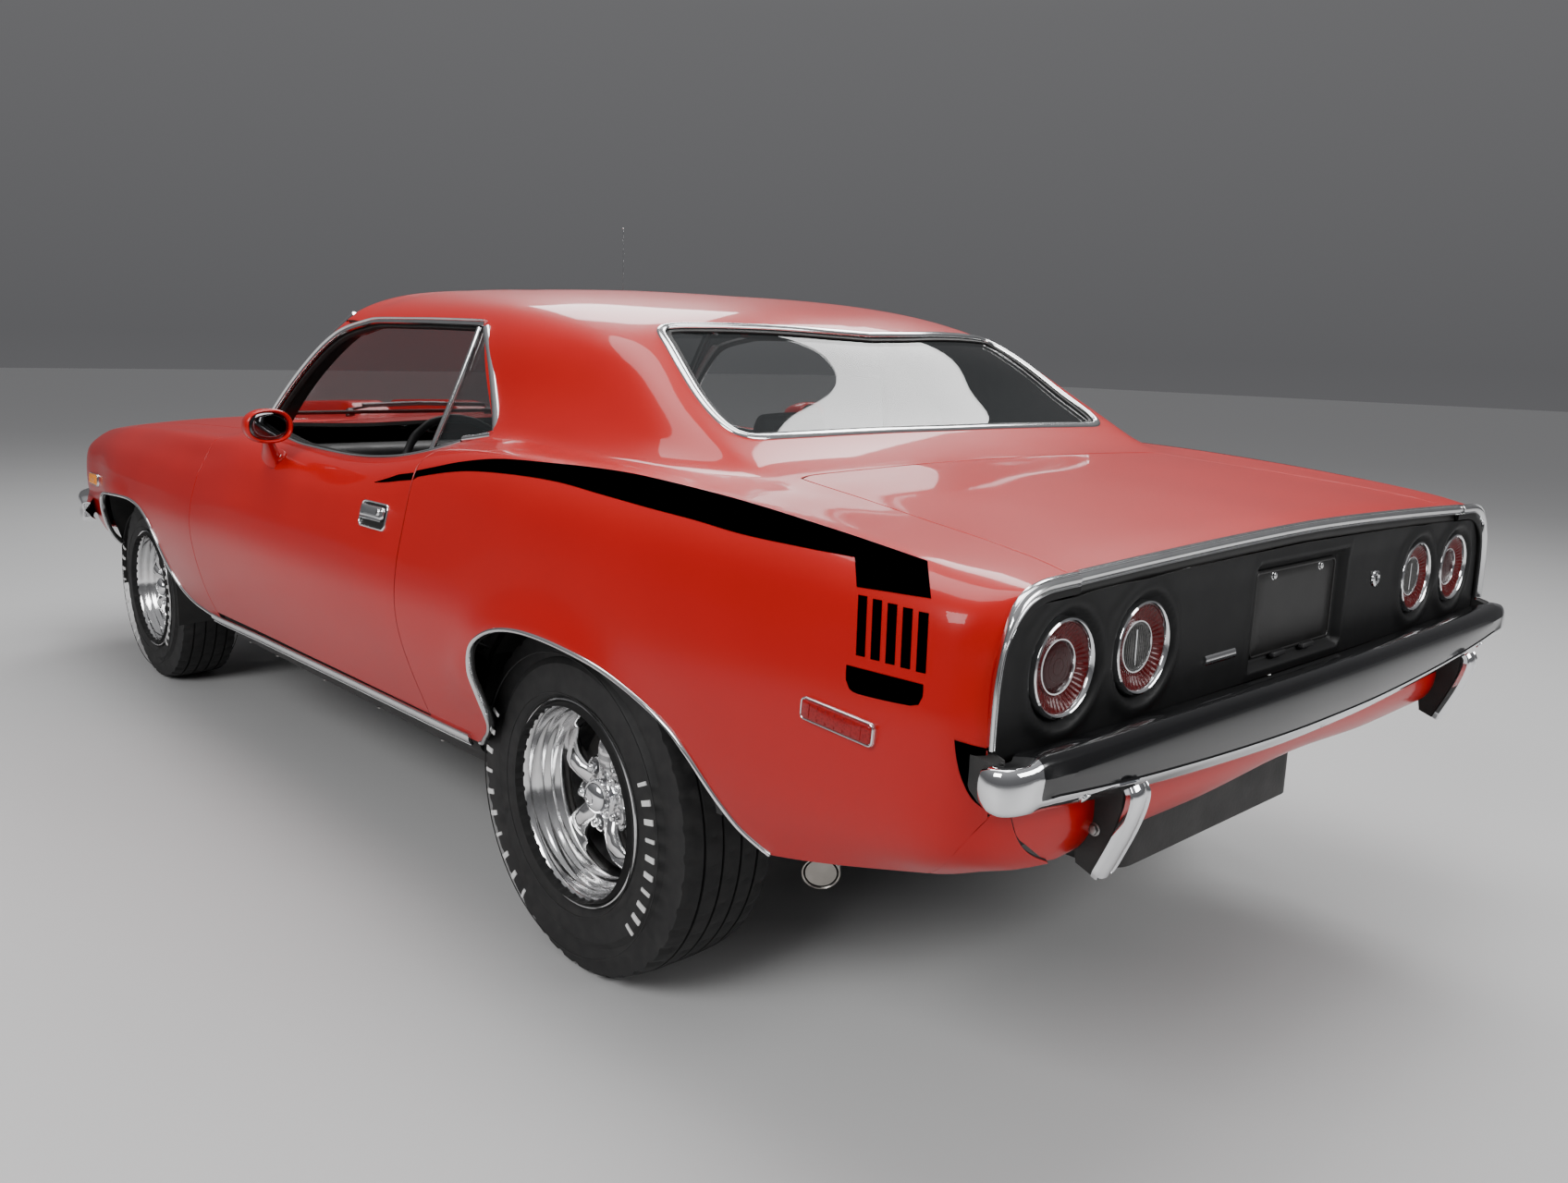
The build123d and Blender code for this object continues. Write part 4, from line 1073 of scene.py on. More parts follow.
def triangulate(loops, sx=0.02, su=0.014, holes=()):
    """Points and triangles filling the outer loop less the holes, in the plane of (x, u)."""
    outer = np.array(loops, float)
    allb = [outer] + [np.array(h, float) for h in holes]
    bpts = np.vstack(allb)
    edges, base = [], 0
    for L in allb:
        n = len(L)
        edges += [(base + i, base + (i + 1) % n) for i in range(n)]
        base += n
    lo, hi = outer.min(0), outer.max(0)
    xs = np.arange(lo[0] + sx * .5, hi[0], sx)
    us = np.arange(lo[1] + su * .5, hi[1], su)
    g = np.stack(np.meshgrid(xs, us, indexing="ij"), -1).reshape(-1, 2)
    keep = inside(outer, g)
    for h in allb[1:]:
        keep &= ~inside(h, g)
    g = g[keep]
    d = np.full(len(g), 1e9)
    for L in allb:
        d = np.minimum(d, dist_to(L, g))
    g = g[d > 0.45 * min(sx, su)]
    pts = np.vstack([bpts, g])
    co, ed, tri, ov, oe, of = delaunay_2d_cdt([Vector(p) for p in pts.tolist()], edges, [], 1 if False else 0, 1e-7)
    co = np.array([tuple(c) for c in co])
    tri = np.array([t for t in tri if len(t) == 3], int)
    cen = co[tri].mean(1)
    keep = inside(outer, cen)
    for h in allb[1:]:
        keep &= ~inside(h, cen)
    tri = tri[keep]
    a = co[tri[:, 1]] - co[tri[:, 0]]
    b = co[tri[:, 2]] - co[tri[:, 0]]
    area = a[:, 0] * b[:, 1] - a[:, 1] * b[:, 0]
    tri[area < 0] = tri[area < 0][:, ::-1]
    tri = tri[np.abs(area) > 1e-12]
    return co, tri


def boundary_loops(tri, n):
    """Directed boundary loops of a triangle set."""
    cnt = {}
    for t in tri:
        for a, b in ((t[0], t[1]), (t[1], t[2]), (t[2], t[0])):
            cnt[(a, b)] = cnt.get((a, b), 0) + 1
    nxt = {}
    for (a, b) in cnt:
        if (b, a) not in cnt:
            nxt[a] = b
    loops = []
    while nxt:
        a = next(iter(nxt))
        loop = [a]
        b = nxt.pop(a)
        while b != loop[0]:
            loop.append(b)
            b = nxt.pop(b)
        loops.append(loop)
    return loops


def shell(P, N, tri, thick=0.012, hem=0.0013, open_edges=None, inner=None, inner_mat=1, rim_mat=0):
    """A closed panel from an outer skin: rolled hem, rim and inner skin. Returns verts, faces, normals, materials."""
    P, N = np.array(P, float), np.array(N, float)
    n = len(P)
    V, NN, F, M = [P], [N], [tuple(t) for t in tri], [0] * len(tri)
    loops = boundary_loops(tri, n)
    # inner skin
    Q = P - N * thick if inner is None else inner(P, N)
    base_in = n
    V.append(Q)
    NN.append(-N)
    F += [(base_in + t[0], base_in + t[2], base_in + t[1]) for t in tri]
    M += [inner_mat] * len(tri)
    count = 2 * n
    for loop in loops:
        L = np.array(loop)
        p, nn, q = P[L], N[L], Q[L]
        t = np.roll(p, -1, 0) - np.roll(p, 1, 0)
        t /= np.maximum(np.linalg.norm(t, axis=1, keepdims=True), 1e-9)
        e = np.cross(t, nn)
        e /= np.maximum(np.linalg.norm(e, axis=1, keepdims=True), 1e-9)
        rings = [(p + e * hem * .7 - nn * hem * .25, nn * .75 + e * .66), (p + e * hem - nn * hem, e),
                 (p + e * hem - nn * hem * 2.2, e), (q + e * hem, e)]
        prev = L
        for k, (pos, nor) in enumerate(rings):
            V.append(pos)
            NN.append(nor)
            cur = np.arange(count, count + len(L))
            count += len(L)
            for i in range(len(L)):
                j = (i + 1) % len(L)
                F.append((prev[i], cur[i], cur[j], prev[j]))
                M.append(rim_mat if k < 2 else inner_mat)
            prev = cur
        for i in range(len(L)):
            j = (i + 1) % len(L)
            F.append((prev[i], base_in + L[i], base_in + L[j], prev[j]))
            M.append(inner_mat)
    return np.vstack(V), F, np.vstack(NN), M


def panel_arrays(outline, sx=0.02, su=0.014, holes=(), disp=None):
    co, tri = triangulate(outline, sx, su, holes)
    P = S(co[:, 0], co[:, 1])
    N = SN(co[:, 0], co[:, 1])
    if disp is not None:
        P, N = disp(P, N, co)
    # orient triangles with the normals
    a, b, c = P[tri[:, 0]], P[tri[:, 1]], P[tri[:, 2]]
    s = np.einsum("ij,ij->i", np.cross(b - a, c - a), N[tri].sum(1))
    if np.sum(s < 0) > np.sum(s > 0):
        tri = tri[:, ::-1]
    return P, N, tri, co


def mirrored(P, N):
    P2, N2 = P.copy(), N.copy()
    P2[:, 1] *= -1
    N2[:, 1] *= -1
    return P2, N2


def join_mirror(P, N, tri, tol=1e-5):
    """Left half plus its mirror image, welded on the middle."""
    n = len(P)
    P2, N2 = mirrored(P, N)
    on = np.abs(P[:, 1]) < tol
    P[on, 1] = 0
    idx = np.zeros(n, int)
    k = n
    for i in range(n):
        if on[i]:
            idx[i] = i
        else:
            idx[i] = k
            k += 1
    V = np.vstack([P, P2[~on]])
    NN = np.vstack([N, N2[~on]])
    T = np.vstack([tri, idx[tri][:, ::-1]])
    return V, NN, T


# ---- Outlines, metres from the rear axle ---------------------------------------------------------------
REAR_ARCH = [(.335, .372), (.310, .396), (.270, .425), (.243, .460), (.232, .52), (.228, .575), (.204, .628), (.158, .661), (.090, .684),
             (0, .694), (-.121, .690), (-.233, .674), (-.338, .640), (-.398, .609), (-.436, .574), (-.462, .540), (-.486, .504), (-.517, .462), (-.565, .4275)]
FRONT_ARCH = [(.374, .36), (.380, .430), (.372, .505), (.342, .572), (.268, .620), (.150, .647), (0, .661), (-.129, .669), (-.245, .670),
              (-.355, .655), (-.430, .620), (-.474, .568), (-.500, .506), (-.528, .450), (-.575, .406), (-.650, .384), (-.740, .376), (-.82, .372)]
# body-side openings as curves in (x, z): chrome mouldings and lips follow them
GAPH = 0.0026
DECK_SIDE = [(-.3255, .560), (-.329, .585), (-.340, .602), (-.480, .624), (-.700, .661), (-.9735, .6915)]
HOOD_SIDE = [(1.937, .702), (2.300, .688), (2.742, .673), (3.150, .650), (3.420, .608), (3.4775, .590)]
WIN_BACK = [(-.178, 0), (-.178, .30), (-.176, .50), (-.172, .565), (-.155, .598), (-.120, .610), (-.060, .606), (.020, .590),
            (.100, .567), (.150, .549), (.168, .530), (.168, .505), (.150, .44), (.118, .30), (.095, .15), (.087, 0)]


def arch_curve(arch, cx):
    p = smooth_poly([(cx + a, b) for a, b in arch], 0.012)
    return p


REAR_ARCH_C = arch_curve(REAR_ARCH, 0.0)
FRONT_ARCH_C = arch_curve(FRONT_ARCH, FX)


def xz_to_xu(p, lo="b", hi="s"):
    p = np.array(p, float)
    return np.stack([p[:, 0], u_of_z(p[:, 0], p[:, 1], lo, hi)], 1)


def xy_to_xu(p, lo="s", hi="i"):
    p = np.array(p, float)
    return np.stack([p[:, 0], u_of_y(p[:, 0], p[:, 1], lo, hi)], 1)


def dedupe(p, eps=1e-5):
    out = [p[0]]
    for q in p[1:]:
        if np.hypot(*(q - out[-1])) > eps:
            out.append(q)
    if np.hypot(*(out[0] - out[-1])) < eps:
        out.pop()
    return np.array(out)


DOOR_R, DOOR_F = .545, 1.870
UI = GU[-1]
U_DRIP = UW["f"] + .012          # roof edge above the side windows
POST_LOW, POST_TOP = (.440, 1.020), (.636, 1.246)


def post_u(x, z):
    """u on the sail for a height, between ledge and drip."""
    us = np.linspace(UW["s"], UW["g"], 200)
    out = []
    for xx, zz in zip(np.atleast_1d(x), np.atleast_1d(z)):
        out.append(np.interp(zz, np.maximum.accumulate(bic(SZ, np.full_like(us, xx), us)), us))
    return np.array(out)


def bottom_run(x0, x1, u=0.0):
    return seg([(x0, u), (x1, u)], 0.02)


def shell_outline():
    """Left half of the welded body shell: quarter, sail, roof and the panel under the back window."""
    parts = []
    # tail bottom, forward to the wheel opening
    arch = REAR_ARCH_C[::-1]
    a_u = xz_to_xu(arch)
    k0 = arch[0][0]
    seam_u = float(u_of_z([-.985], [.620])[0])
    parts.append(seg([(-.985, seam_u), (-.8745, 0.0), (k0, 0.0)], .02)[:-1])
    parts.append(a_u)
    parts.append(seg([(arch[-1][0], 0.0), (DOOR_R - GAPH, 0.0)], .02))
    belt_u = float(u_of_y([DOOR_R], [.772], "s", "g")[0])
    parts.append(seg([(DOOR_R - GAPH, 0.0), (DOOR_R - GAPH, belt_u)], .014)[1:])
    # belt back to the rear post, up the post
    lo_u = float(post_u([POST_LOW[0]], [POST_LOW[1]])[0])
    hi_u = float(post_u([POST_TOP[0]], [POST_TOP[1]])[0])
    n = 8
    belt = [(x, float(u_of_y([x], [y], "s", "g")[0])) for x, y in zip(np.linspace(DOOR_R - GAPH, POST_LOW[0], n), np.linspace(.772, .757, n))]
    parts.append(np.array(belt)[1:-1])
    parts.append(seg([(POST_LOW[0], lo_u), (POST_TOP[0] - .01, hi_u - .006)], .014))
    drip = [(POST_TOP[0] + .012, U_DRIP), (.80, U_DRIP), (1.10, U_DRIP), (1.30, U_DRIP + .001), (1.388, U_DRIP + .008)]
    parts.append(seg(drip, .02))
    head = [(1.388 + .057 * (1 - (y / .66)**2), y) for y in (.64, .60, .52, .42, .30, .15, 0.0)]
    hu = xy_to_xu(head, "f", "i")
    hu[-1, 1] = UI
    parts.append(seg(hu, .02)[1:])
    wb = smooth_poly(WIN_BACK[::-1], .014, corner=[0, len(WIN_BACK) - 1])
    wu = xy_to_xu(wb, "e", "i")
    wu[0, 1] = UI
    wu[-1, 1] = UI
    parts.append(seg([(hu[-1, 0], UI), (wu[0, 0], UI)], .02)[1:-1])
    parts.append(wu)
    dk = [(x + (.0026 if k == 0 else 0), y) for k, (x, y) in enumerate(DECK_SIDE)]
    front = [(-.3229, 0.0), (-.3229, .30), (-.3229, .545), (-.3262, .580), (-.338, .6045), (-.480, .6266), (-.700, .6636), (-.985, .6945)]
    fr = smooth_poly(front, .018, corner=[0, 1, 2, 4, 7])
    fu = xy_to_xu(fr, "s", "i")
    fu[0, 1] = UI
    parts.append(seg([(wu[-1, 0], UI), (fu[0, 0], UI)], .02)[1:-1])
    parts.append(fu)
    parts.append(seg([tuple(fu[-1]), (-.985, seam_u)], .014)[1:-1])
    return dedupe(np.vstack(parts))


def build_shell():
    out = shell_outline()
    P, N, tri, co = panel_arrays(out, .022, .017)
    mid = co[:, 1] > UI - 1e-5
    P[mid, 1] = 0
    N[mid, 1] = 0
    V, NN, T = join_mirror(P, N, tri, 1e-7)
    v, f, n, m = shell(V, NN, T, thick=.012)
    # the inside of the roof and its pillars is lined
    m = [2 if k == 1 and v[list(q)][:, 2].mean() > .990 and v[list(q)][:, 0].mean() > -.12 else k for k, q in zip(m, f)]
    return make("body_shell", v, f, ["body_paint", "panel_inside", "headliner"], "body", face_mats=m, normals=n,
                replaces=("quarter_panel_left", "quarter_panel_right", "roof"), slot="body_paint")


def arch_to_u(curve, n_above=0.0):
    return xz_to_xu(curve)


def build_doors():
    x0, x1 = DOOR_R + GAPH, DOOR_F - GAPH
    top = []
    for x in np.linspace(x0, x1, 60):
        y = np.interp(x, [.547, .70, .85, 1.0, 1.4, 1.6, 1.72, 1.87], [.772, .776, .783, .786, .787, .781, .772, .765])
        top.append((x, float(u_of_y([x], [y], "s", "g")[0])))
    z0 = .398
    bot = [(x, float(u_of_z([x], [z0])[0])) for x in np.linspace(x0, x1, 60)]
    out = np.vstack([np.array(bot), seg([bot[-1], top[-1]], .014)[1:-1], np.array(top)[::-1], seg([top[0], bot[0]], .014)[1:-1]])
    P, N, tri, co = panel_arrays(dedupe(out), .02, .014)

    def inner(p, n):
        q = p - n * .012
        # the door's body reaches in to its trim face
        q[:, 1] = np.minimum(q[:, 1], np.where(p[:, 2] > .89, q[:, 1], .83))
        return q
    for side in ("left", "right"):
        p, n = (P, N) if side == "left" else mirrored(P, N)
        t = tri if side == "left" else tri[:, ::-1]

        def inn(a, b, s=1 if side == "left" else -1):
            q = a - b * .012
            yy = np.minimum(q[:, 1] * s, .832)
            k = np.clip((a[:, 2] - .845) / .05, 0, 1)
            q[:, 1] = s * (yy * (1 - k) + q[:, 1] * s * k)
            return q
        v, f, nn, m = shell(p, n, t, inner=inn, rim_mat=2, inner_mat=2)
        # the rolled hem, its rim walls and the inner skin take the jamb paint
        make("door_skin_" + side, v, f, ["body_paint", "panel_inside", "jamb_paint"], "door_" + side, face_mats=m, normals=nn,
             replaces=("door_" + side,), slot="body_paint")


def build_fenders():
    x0, x1 = DOOR_F + GAPH, 3.4355
    hood = smooth_poly([(DOOR_F + GAPH, .7045)] + [(x, y + .0045) for x, y in HOOD_SIDE[:5]] + [(3.4355, .6075)], .02)
    topu = xy_to_xu(hood, "s", "i")
    arch = FRONT_ARCH_C
    au = xz_to_xu(arch)          # from the front foot back to the sill
    rear_foot = float(arch[-1][0])
    front_foot = float(arch[0][0])
    out = np.vstack([
        seg([(x0, 0.0), (rear_foot, 0.0)], .02)[:-1], au[::-1],
        seg([(front_foot, 0.0), (x1, 0.0)], .02)[1:],
        seg([(x1, 0.0), tuple(topu[-1])], .014)[1:-1], topu[::-1],
        seg([tuple(topu[0]), (x0, 0.0)], .014)[1:-1]])
    P, N, tri, co = panel_arrays(dedupe(out), .02, .014)
    for side in ("left", "right"):
        p, n = (P, N) if side == "left" else mirrored(P, N)
        t = tri if side == "left" else tri[:, ::-1]
        v, f, nn, m = shell(p, n, t, thick=.012)
        make("fender_skin_" + side, v, f, ["body_paint", "panel_inside"], "body", face_mats=m, normals=nn,
             replaces=("fender_" + side,), slot="body_paint")


def scoop_disp(P, N, co):
    """Twin scoops raised out of the hood, open at the front."""
    P = P.copy()
    x, y = P[:, 0], np.abs(P[:, 1])
    fx = np.clip((x - 2.20) / .16, 0, 1)
    fx = fx * fx * (3 - 2 * fx)
    fx *= np.where(x <= 2.775, 1.0, np.clip(1 - (x - 2.775) / .014, 0, 1))
    wy = .095 + .012 * np.clip((x - 2.2) / .58, 0, 1)
    fy = np.clip(1 - (np.abs(y - .195) - (wy - .035)) / .035, 0, 1)
    fy = fy * fy * (3 - 2 * fy)
    h = .050 * fx * fy
    # centre bulge
    fb = np.clip((x - 2.0) / .3, 0, 1) * np.clip((3.42 - x) / .5, 0, 1)
    fc = np.clip(1 - (y - .07) / .05, 0, 1)
    fc = fc * fc * (3 - 2 * fc)
    h = h + .008 * (fb * fb * (3 - 2 * fb)) * fc
    P[:, 2] += h
    return P, N


def build_hood():
    side = smooth_poly(HOOD_SIDE, .02)
    su = xy_to_xu(side, "s", "i")
    out = np.vstack([su, seg([tuple(su[-1]), (3.4775, UI)], .02)[1:], seg([(3.4775, UI), (1.937, UI)], .02)[1:],
                     seg([(1.937, UI), tuple(su[0])], .02)[1:-1]])
    P, N, tri, co = panel_arrays(dedupe(out), .018, .014, disp=scoop_disp)
    mid = co[:, 1] > UI - 1e-5
    P[mid, 1] = 0
    N[mid, 1] = 0
    V, NN, T = join_mirror(P, N, tri, 1e-7)
    # normals from the displaced faces, blended so that the flat part keeps the exact ones
    fn = np.cross(V[T[:, 1]] - V[T[:, 0]], V[T[:, 2]] - V[T[:, 0]])
    vn = np.zeros_like(V)
    for k in range(3):
        np.add.at(vn, T[:, k], fn)
    vn /= np.maximum(np.linalg.norm(vn, axis=1, keepdims=True), 1e-12)
    w = np.clip((np.abs(V[:, 1]) < .34) & (V[:, 0] > 2.0) & (V[:, 0] < 3.46), 0, 1)[:, None].astype(float)
    NN = NN * (1 - w) + vn * w
    v, f, n, m = shell(V, NN, T, thick=.020)
    make("hood_skin", v, f, ["body_paint", "panel_inside"], "hood", face_mats=m, normals=n, replaces=("hood",), slot="body_paint")


def build_deck():
    side = smooth_poly([(-.3285, .0), (-.3285, .545), (-.3315, .576), (-.342, .599), (-.480, .6214), (-.700, .6584), (-.9725, .6885)], .018,
                       corner=[0, 1, 3, 6])
    su = xy_to_xu(side, "s", "i")
    su[0, 1] = UI
    out = np.vstack([su, seg([tuple(su[-1]), (-.9725, UI)], .02)[1:], seg([(-.9725, UI), (-.3285, UI)], .02)[1:-1]])
    P, N, tri, co = panel_arrays(dedupe(out), .02, .016)
    mid = co[:, 1] > UI - 1e-5
    P[mid, 1] = 0
    N[mid, 1] = 0
    V, NN, T = join_mirror(P, N, tri, 1e-7)
    v, f, n, m = shell(V, NN, T, thick=.022)
    make("deck_skin", v, f, ["body_paint", "panel_inside"], "deck_lid", face_mats=m, normals=n, replaces=("deck_lid",), slot="body_paint")


build_shell()
build_doors()
build_fenders()
build_hood()
build_deck()

# ---- section tail ----
LAMPS = [.709, .510, -.510, -.709]
LZ = .798


def tail_x(y, z):
    """The recessed tail panel: soft funnel round each lamp and a tray for the plate."""
    x = np.full_like(y, -.9805)
    for c in LAMPS:
        r = np.hypot(y - c, z - LZ)
        x = x - .0062 * np.exp(-((r - .091) / .013)**2) * (r > .0) + .013 * (1 - sst((r - .072) / .012))
    d = np.maximum(np.abs(y) - .166, np.abs(z - .797) - .082)
    x = x + .015 * (1 - sst((d + .002) / .010)) - .0022 * np.exp(-((d - .012) / .006)**2)
    # gentle outward lean towards the edges
    return x - .004 * sst((z - .86) / .05)


def build_tail_panel():
    half = [(.853, .690), (.857, .730), (.853, .785), (.846, .828), (.834, .862), (.815, .882), (.780, .893), (.70, .897), (.40, .905), (0, .911)]
    out = smooth_poly(half, .008, corner=[0, len(half) - 1])
    left = out[::-1] * [-1, 1]
    poly = np.vstack([out, left[1:], dense([(-.853, .690), (.853, .690)], .008, closed=False)[1:-1]])
    v, f, n, m = plate(poly, lambda y, z: np.stack([tail_x(y, z), y, z], 1), .0070, .0035, out=(-1, 0, 0))
    make("tail_panel_skin", v, f, ["black_texture", "panel_inside"], "body", face_mats=m, normals=n, replaces=("tail_panel",), slot="black_paint")
    s = Soup()
    # number plate left blank, two fixing screws, and the body-side fixings
    s.addp(slab(rounded_rect(.305, .152, .012), (-.9675, 0, .797), (0, -1, 0), (0, 0, 1), .0022, .0006), 0)
    rim = [(-.9702, y, z + .797) for y, z in rounded_rect(.298, .145, .010, 5)]
    s.addp(ribbon(rim, (-1, 0, 0), .005, .0016, DOMED, closed=True), 0)
    for y in (-.0889, .0889):
        s.addp(bolt((-.9697, y, .861), (-1, 0, 0), .0062, .0045, 12), 1)
    # generic bare plate light housings at the foot of the tray
    for y in (-.055, .055):
        s.addp(box_part((-.980, y - .022, .7165), (-.966, y + .022, .7265), .002), 2)
    s.make("number_plate", ["black_satin", "chrome_trim", "plastic_black"], "body")
    # lock cylinder and a plain badge bar
    s = Soup()
    s.addp(revolve([(0, 0), (.0155, 0), (.0165, .002), (.0155, .005), (.011, .0065), (.0095, .0045), (0, .0045)], (-.9795, -.31, .816), (-1, 0, 0), 28,
                   closed_profile=False), 0)
    s.addp(box_part((-.9855, -.3112, .8105), (-.9835, -.3088, .8215), .0004), 1)
    s.make("deck_lock", ["chrome", "black_satin"], "body")
    s = Soup()
    bar = [(-.9815, y, .7485) for y in np.linspace(.322, .226, 13)]
    s.addp(ribbon(bar, (-1, 0, 0), .0165, .0040, DOMED), 0)
    s.make("badge_bar", ["chrome_trim"], "body")


def build_lamps():
    s = Soup()
    for c in LAMPS:
        o = (-.968, c, LZ)
        ax = (-1, 0, 0)
        # chrome bezel
        s.addp(revolve([(.0635, -.006), (.0635, .0125), (.0650, .0160), (.0680, .0178), (.0708, .0165), (.0722, .0130), (.0724, -.006)], o, ax, 72), 0)
        # fluted reflector cone
        n, m = 180, 9
        rr = np.linspace(.0636, .0400, m)
        rings = []
        for i in range(n):
            a = 2 * math.pi * i / n
            d = np.array([0, math.cos(a), math.sin(a)])
            w = .0007 * (1 if (i % 4) < 2 else -1)
            k = (rr - .040) / .0236
            sx = .0005 + .0105 * k**1.15 + w * np.sin(np.clip(k, 0, 1) * math.pi)
            front = [np.array(o) + r * d + np.array(ax) * x for r, x in zip(rr, sx)]
            back = [np.array(o) + .0395 * d + np.array(ax) * -.005, np.array(o) + .0636 * d + np.array(ax) * -.005]
            rings.append(front + back)
        rings = np.array(rings)
        s.addp(fix(rings.reshape(-1, 3), grid_faces(n, m + 2, closed_u=True, closed_v=True)), 1)
        s.addp(revolve([(.0368, -.004), (.0368, .0040), (.0378, .0052), (.0396, .0052), (.0406, .0036), (.0406, -.004)], o, ax, 64), 0)
        inner = abs(c) < .6
        # centre lens
        prof = [(0, -.003), (.0369, -.003), (.0369, .0015)] + [(.0369 * math.cos(t), .0015 + .0032 * math.sin(t)) for t in np.linspace(.15, 1.4, 9)] + [(0, .0048)]
        s.addp(revolve(prof, o, ax, 56, closed_profile=False), 2 if not inner else 3)
        if inner:
            for k in range(-6, 7):
                yy = c + k * .0050
                h = math.sqrt(max(.0355**2 - (k * .0050)**2, 1e-5)) * .93
                s.addp(tube([(-.9725, yy, LZ - h), (-.9730, yy, LZ + h)], .0010, 6), 3)
            s.addp(tube([(-.9742, c + .006, LZ - .027), (-.9742, c + .006, LZ + .027)], .0011, 8), 0)
        else:
            for r in (.012, .022, .031):
                s.addp(revolve([(r - .0008, 0), (r, .0008), (r + .0008, 0), (r, -.0008)], (-.9722 + .0022 * (r / .037)**2, c, LZ), ax, 48), 2)
    s.make("tail_lamp_set", ["chrome", "lens_red", "lens_red_dark", "lens_clear"], "body", replaces=("tail_lamps",), slot="lamp_red", angle=40)


def build_tail_trim():
    # side, corner and outer top of the trim: on the body
    side = [(.8715, .716), (.8705, .760), (.8680, .800), (.8620, .833), (.8520, .864), (.8380, .889), (.8150, .9085), (.780, .9190), (.745, .9215), (.7035, .9225)]
    p = smooth_poly(side, .006)
    path = np.stack([np.full(len(p), -.9885), p[:, 0], p[:, 1]], 1)
    k = sst((p[:, 1] - .84) / .075)
    w = .0090 + (.0205 - .0090) * k
    path[:, 1] -= .0015 * k
    face = np.stack([np.full(len(p), -1.0), .55 * (1 - k) + .10 * k, .12 * k], 1)
    s = Soup()
    add_both(s, ribbon(path, face, w, .0105, RIDGED), 0)
    # black liner covering the body's cut edge inside the trim
    lin = path.copy()
    lin[:, 1] -= .0095 + .001 * k
    lin[:, 2] -= .012 * k
    lin[:, 0] = -.9845
    add_both(s, ribbon(lin, (-1, 0, 0), .0140 + .006 * k, .0040, FLAT), 1)
    s.make("tail_trim_sides", ["chrome_trim", "black_texture"], "body")
    ys = np.linspace(.6985, -.6985, 90)
    z = .9405 - .0180 * (np.abs(ys) / .70)**1.6
    path = np.stack([np.full(90, -.9845) - .003 * (1 - (ys / .70)**2), ys, z], 1)
    s = Soup()
    s.addp(ribbon(path, (-1, 0, .12), .0210, .0115, RIDGED), 0)
    # black lip under the trim over the lid's edge: painted shade of the gap there
    path2 = np.stack([np.full(90, -.9750), ys * .994, z - .0180], 1)
    s.addp(ribbon(path2, (-1, 0, 0), .0200, .0042, FLAT), 1)
    s.make("deck_trim", ["chrome_trim", "black_satin"], "deck_lid")


BUMP_R = [(-.984, .884), (-.996, .895), (-1.010, .900), (-1.024, .897), (-1.036, .886), (-1.044, .866), (-1.049, .838), (-1.053, .790),
          (-1.058, .660), (-1.061, .500), (-1.064, .300), (-1.066, .150), (-1.066, 0)]


def bumper_rings(plan, sec_fn):
    """Rings of a hollow bumper: plan is (x, y); sec_fn(i, s) gives outer (out, z) points; inside is 3.5 mm behind."""
    p = np.array(plan, float)
    t = np.zeros_like(p)
    t[1:-1] = p[2:] - p[:-2]
    t[0], t[-1] = p[1] - p[0], p[-1] - p[-2]
    t /= np.linalg.norm(t, axis=1, keepdims=True)
    nrm = np.stack([t[:, 1], -t[:, 0]], 1)
    rings = []
    d = np.concatenate([[0], np.cumsum(np.linalg.norm(np.diff(p, axis=0), axis=1))])
    for i in range(len(p)):
        q = np.array(sec_fn(i, d[i] / d[-1]), float)
        tt = np.gradient(q, axis=0)
        tt /= np.maximum(np.linalg.norm(tt, axis=1, keepdims=True), 1e-9)
        nn = np.stack([tt[:, 1], -tt[:, 0]], 1)
        if np.mean(nn[:, 0]) > 0:
            nn = -nn
        inner = (q + nn * .0035)[::-1]
        loop = np.vstack([q, inner])
        rings.append(np.stack([p[i, 0] + loop[:, 0] * nrm[i, 0], p[i, 1] + loop[:, 0] * nrm[i, 1], loop[:, 1]], 1))
    return rings


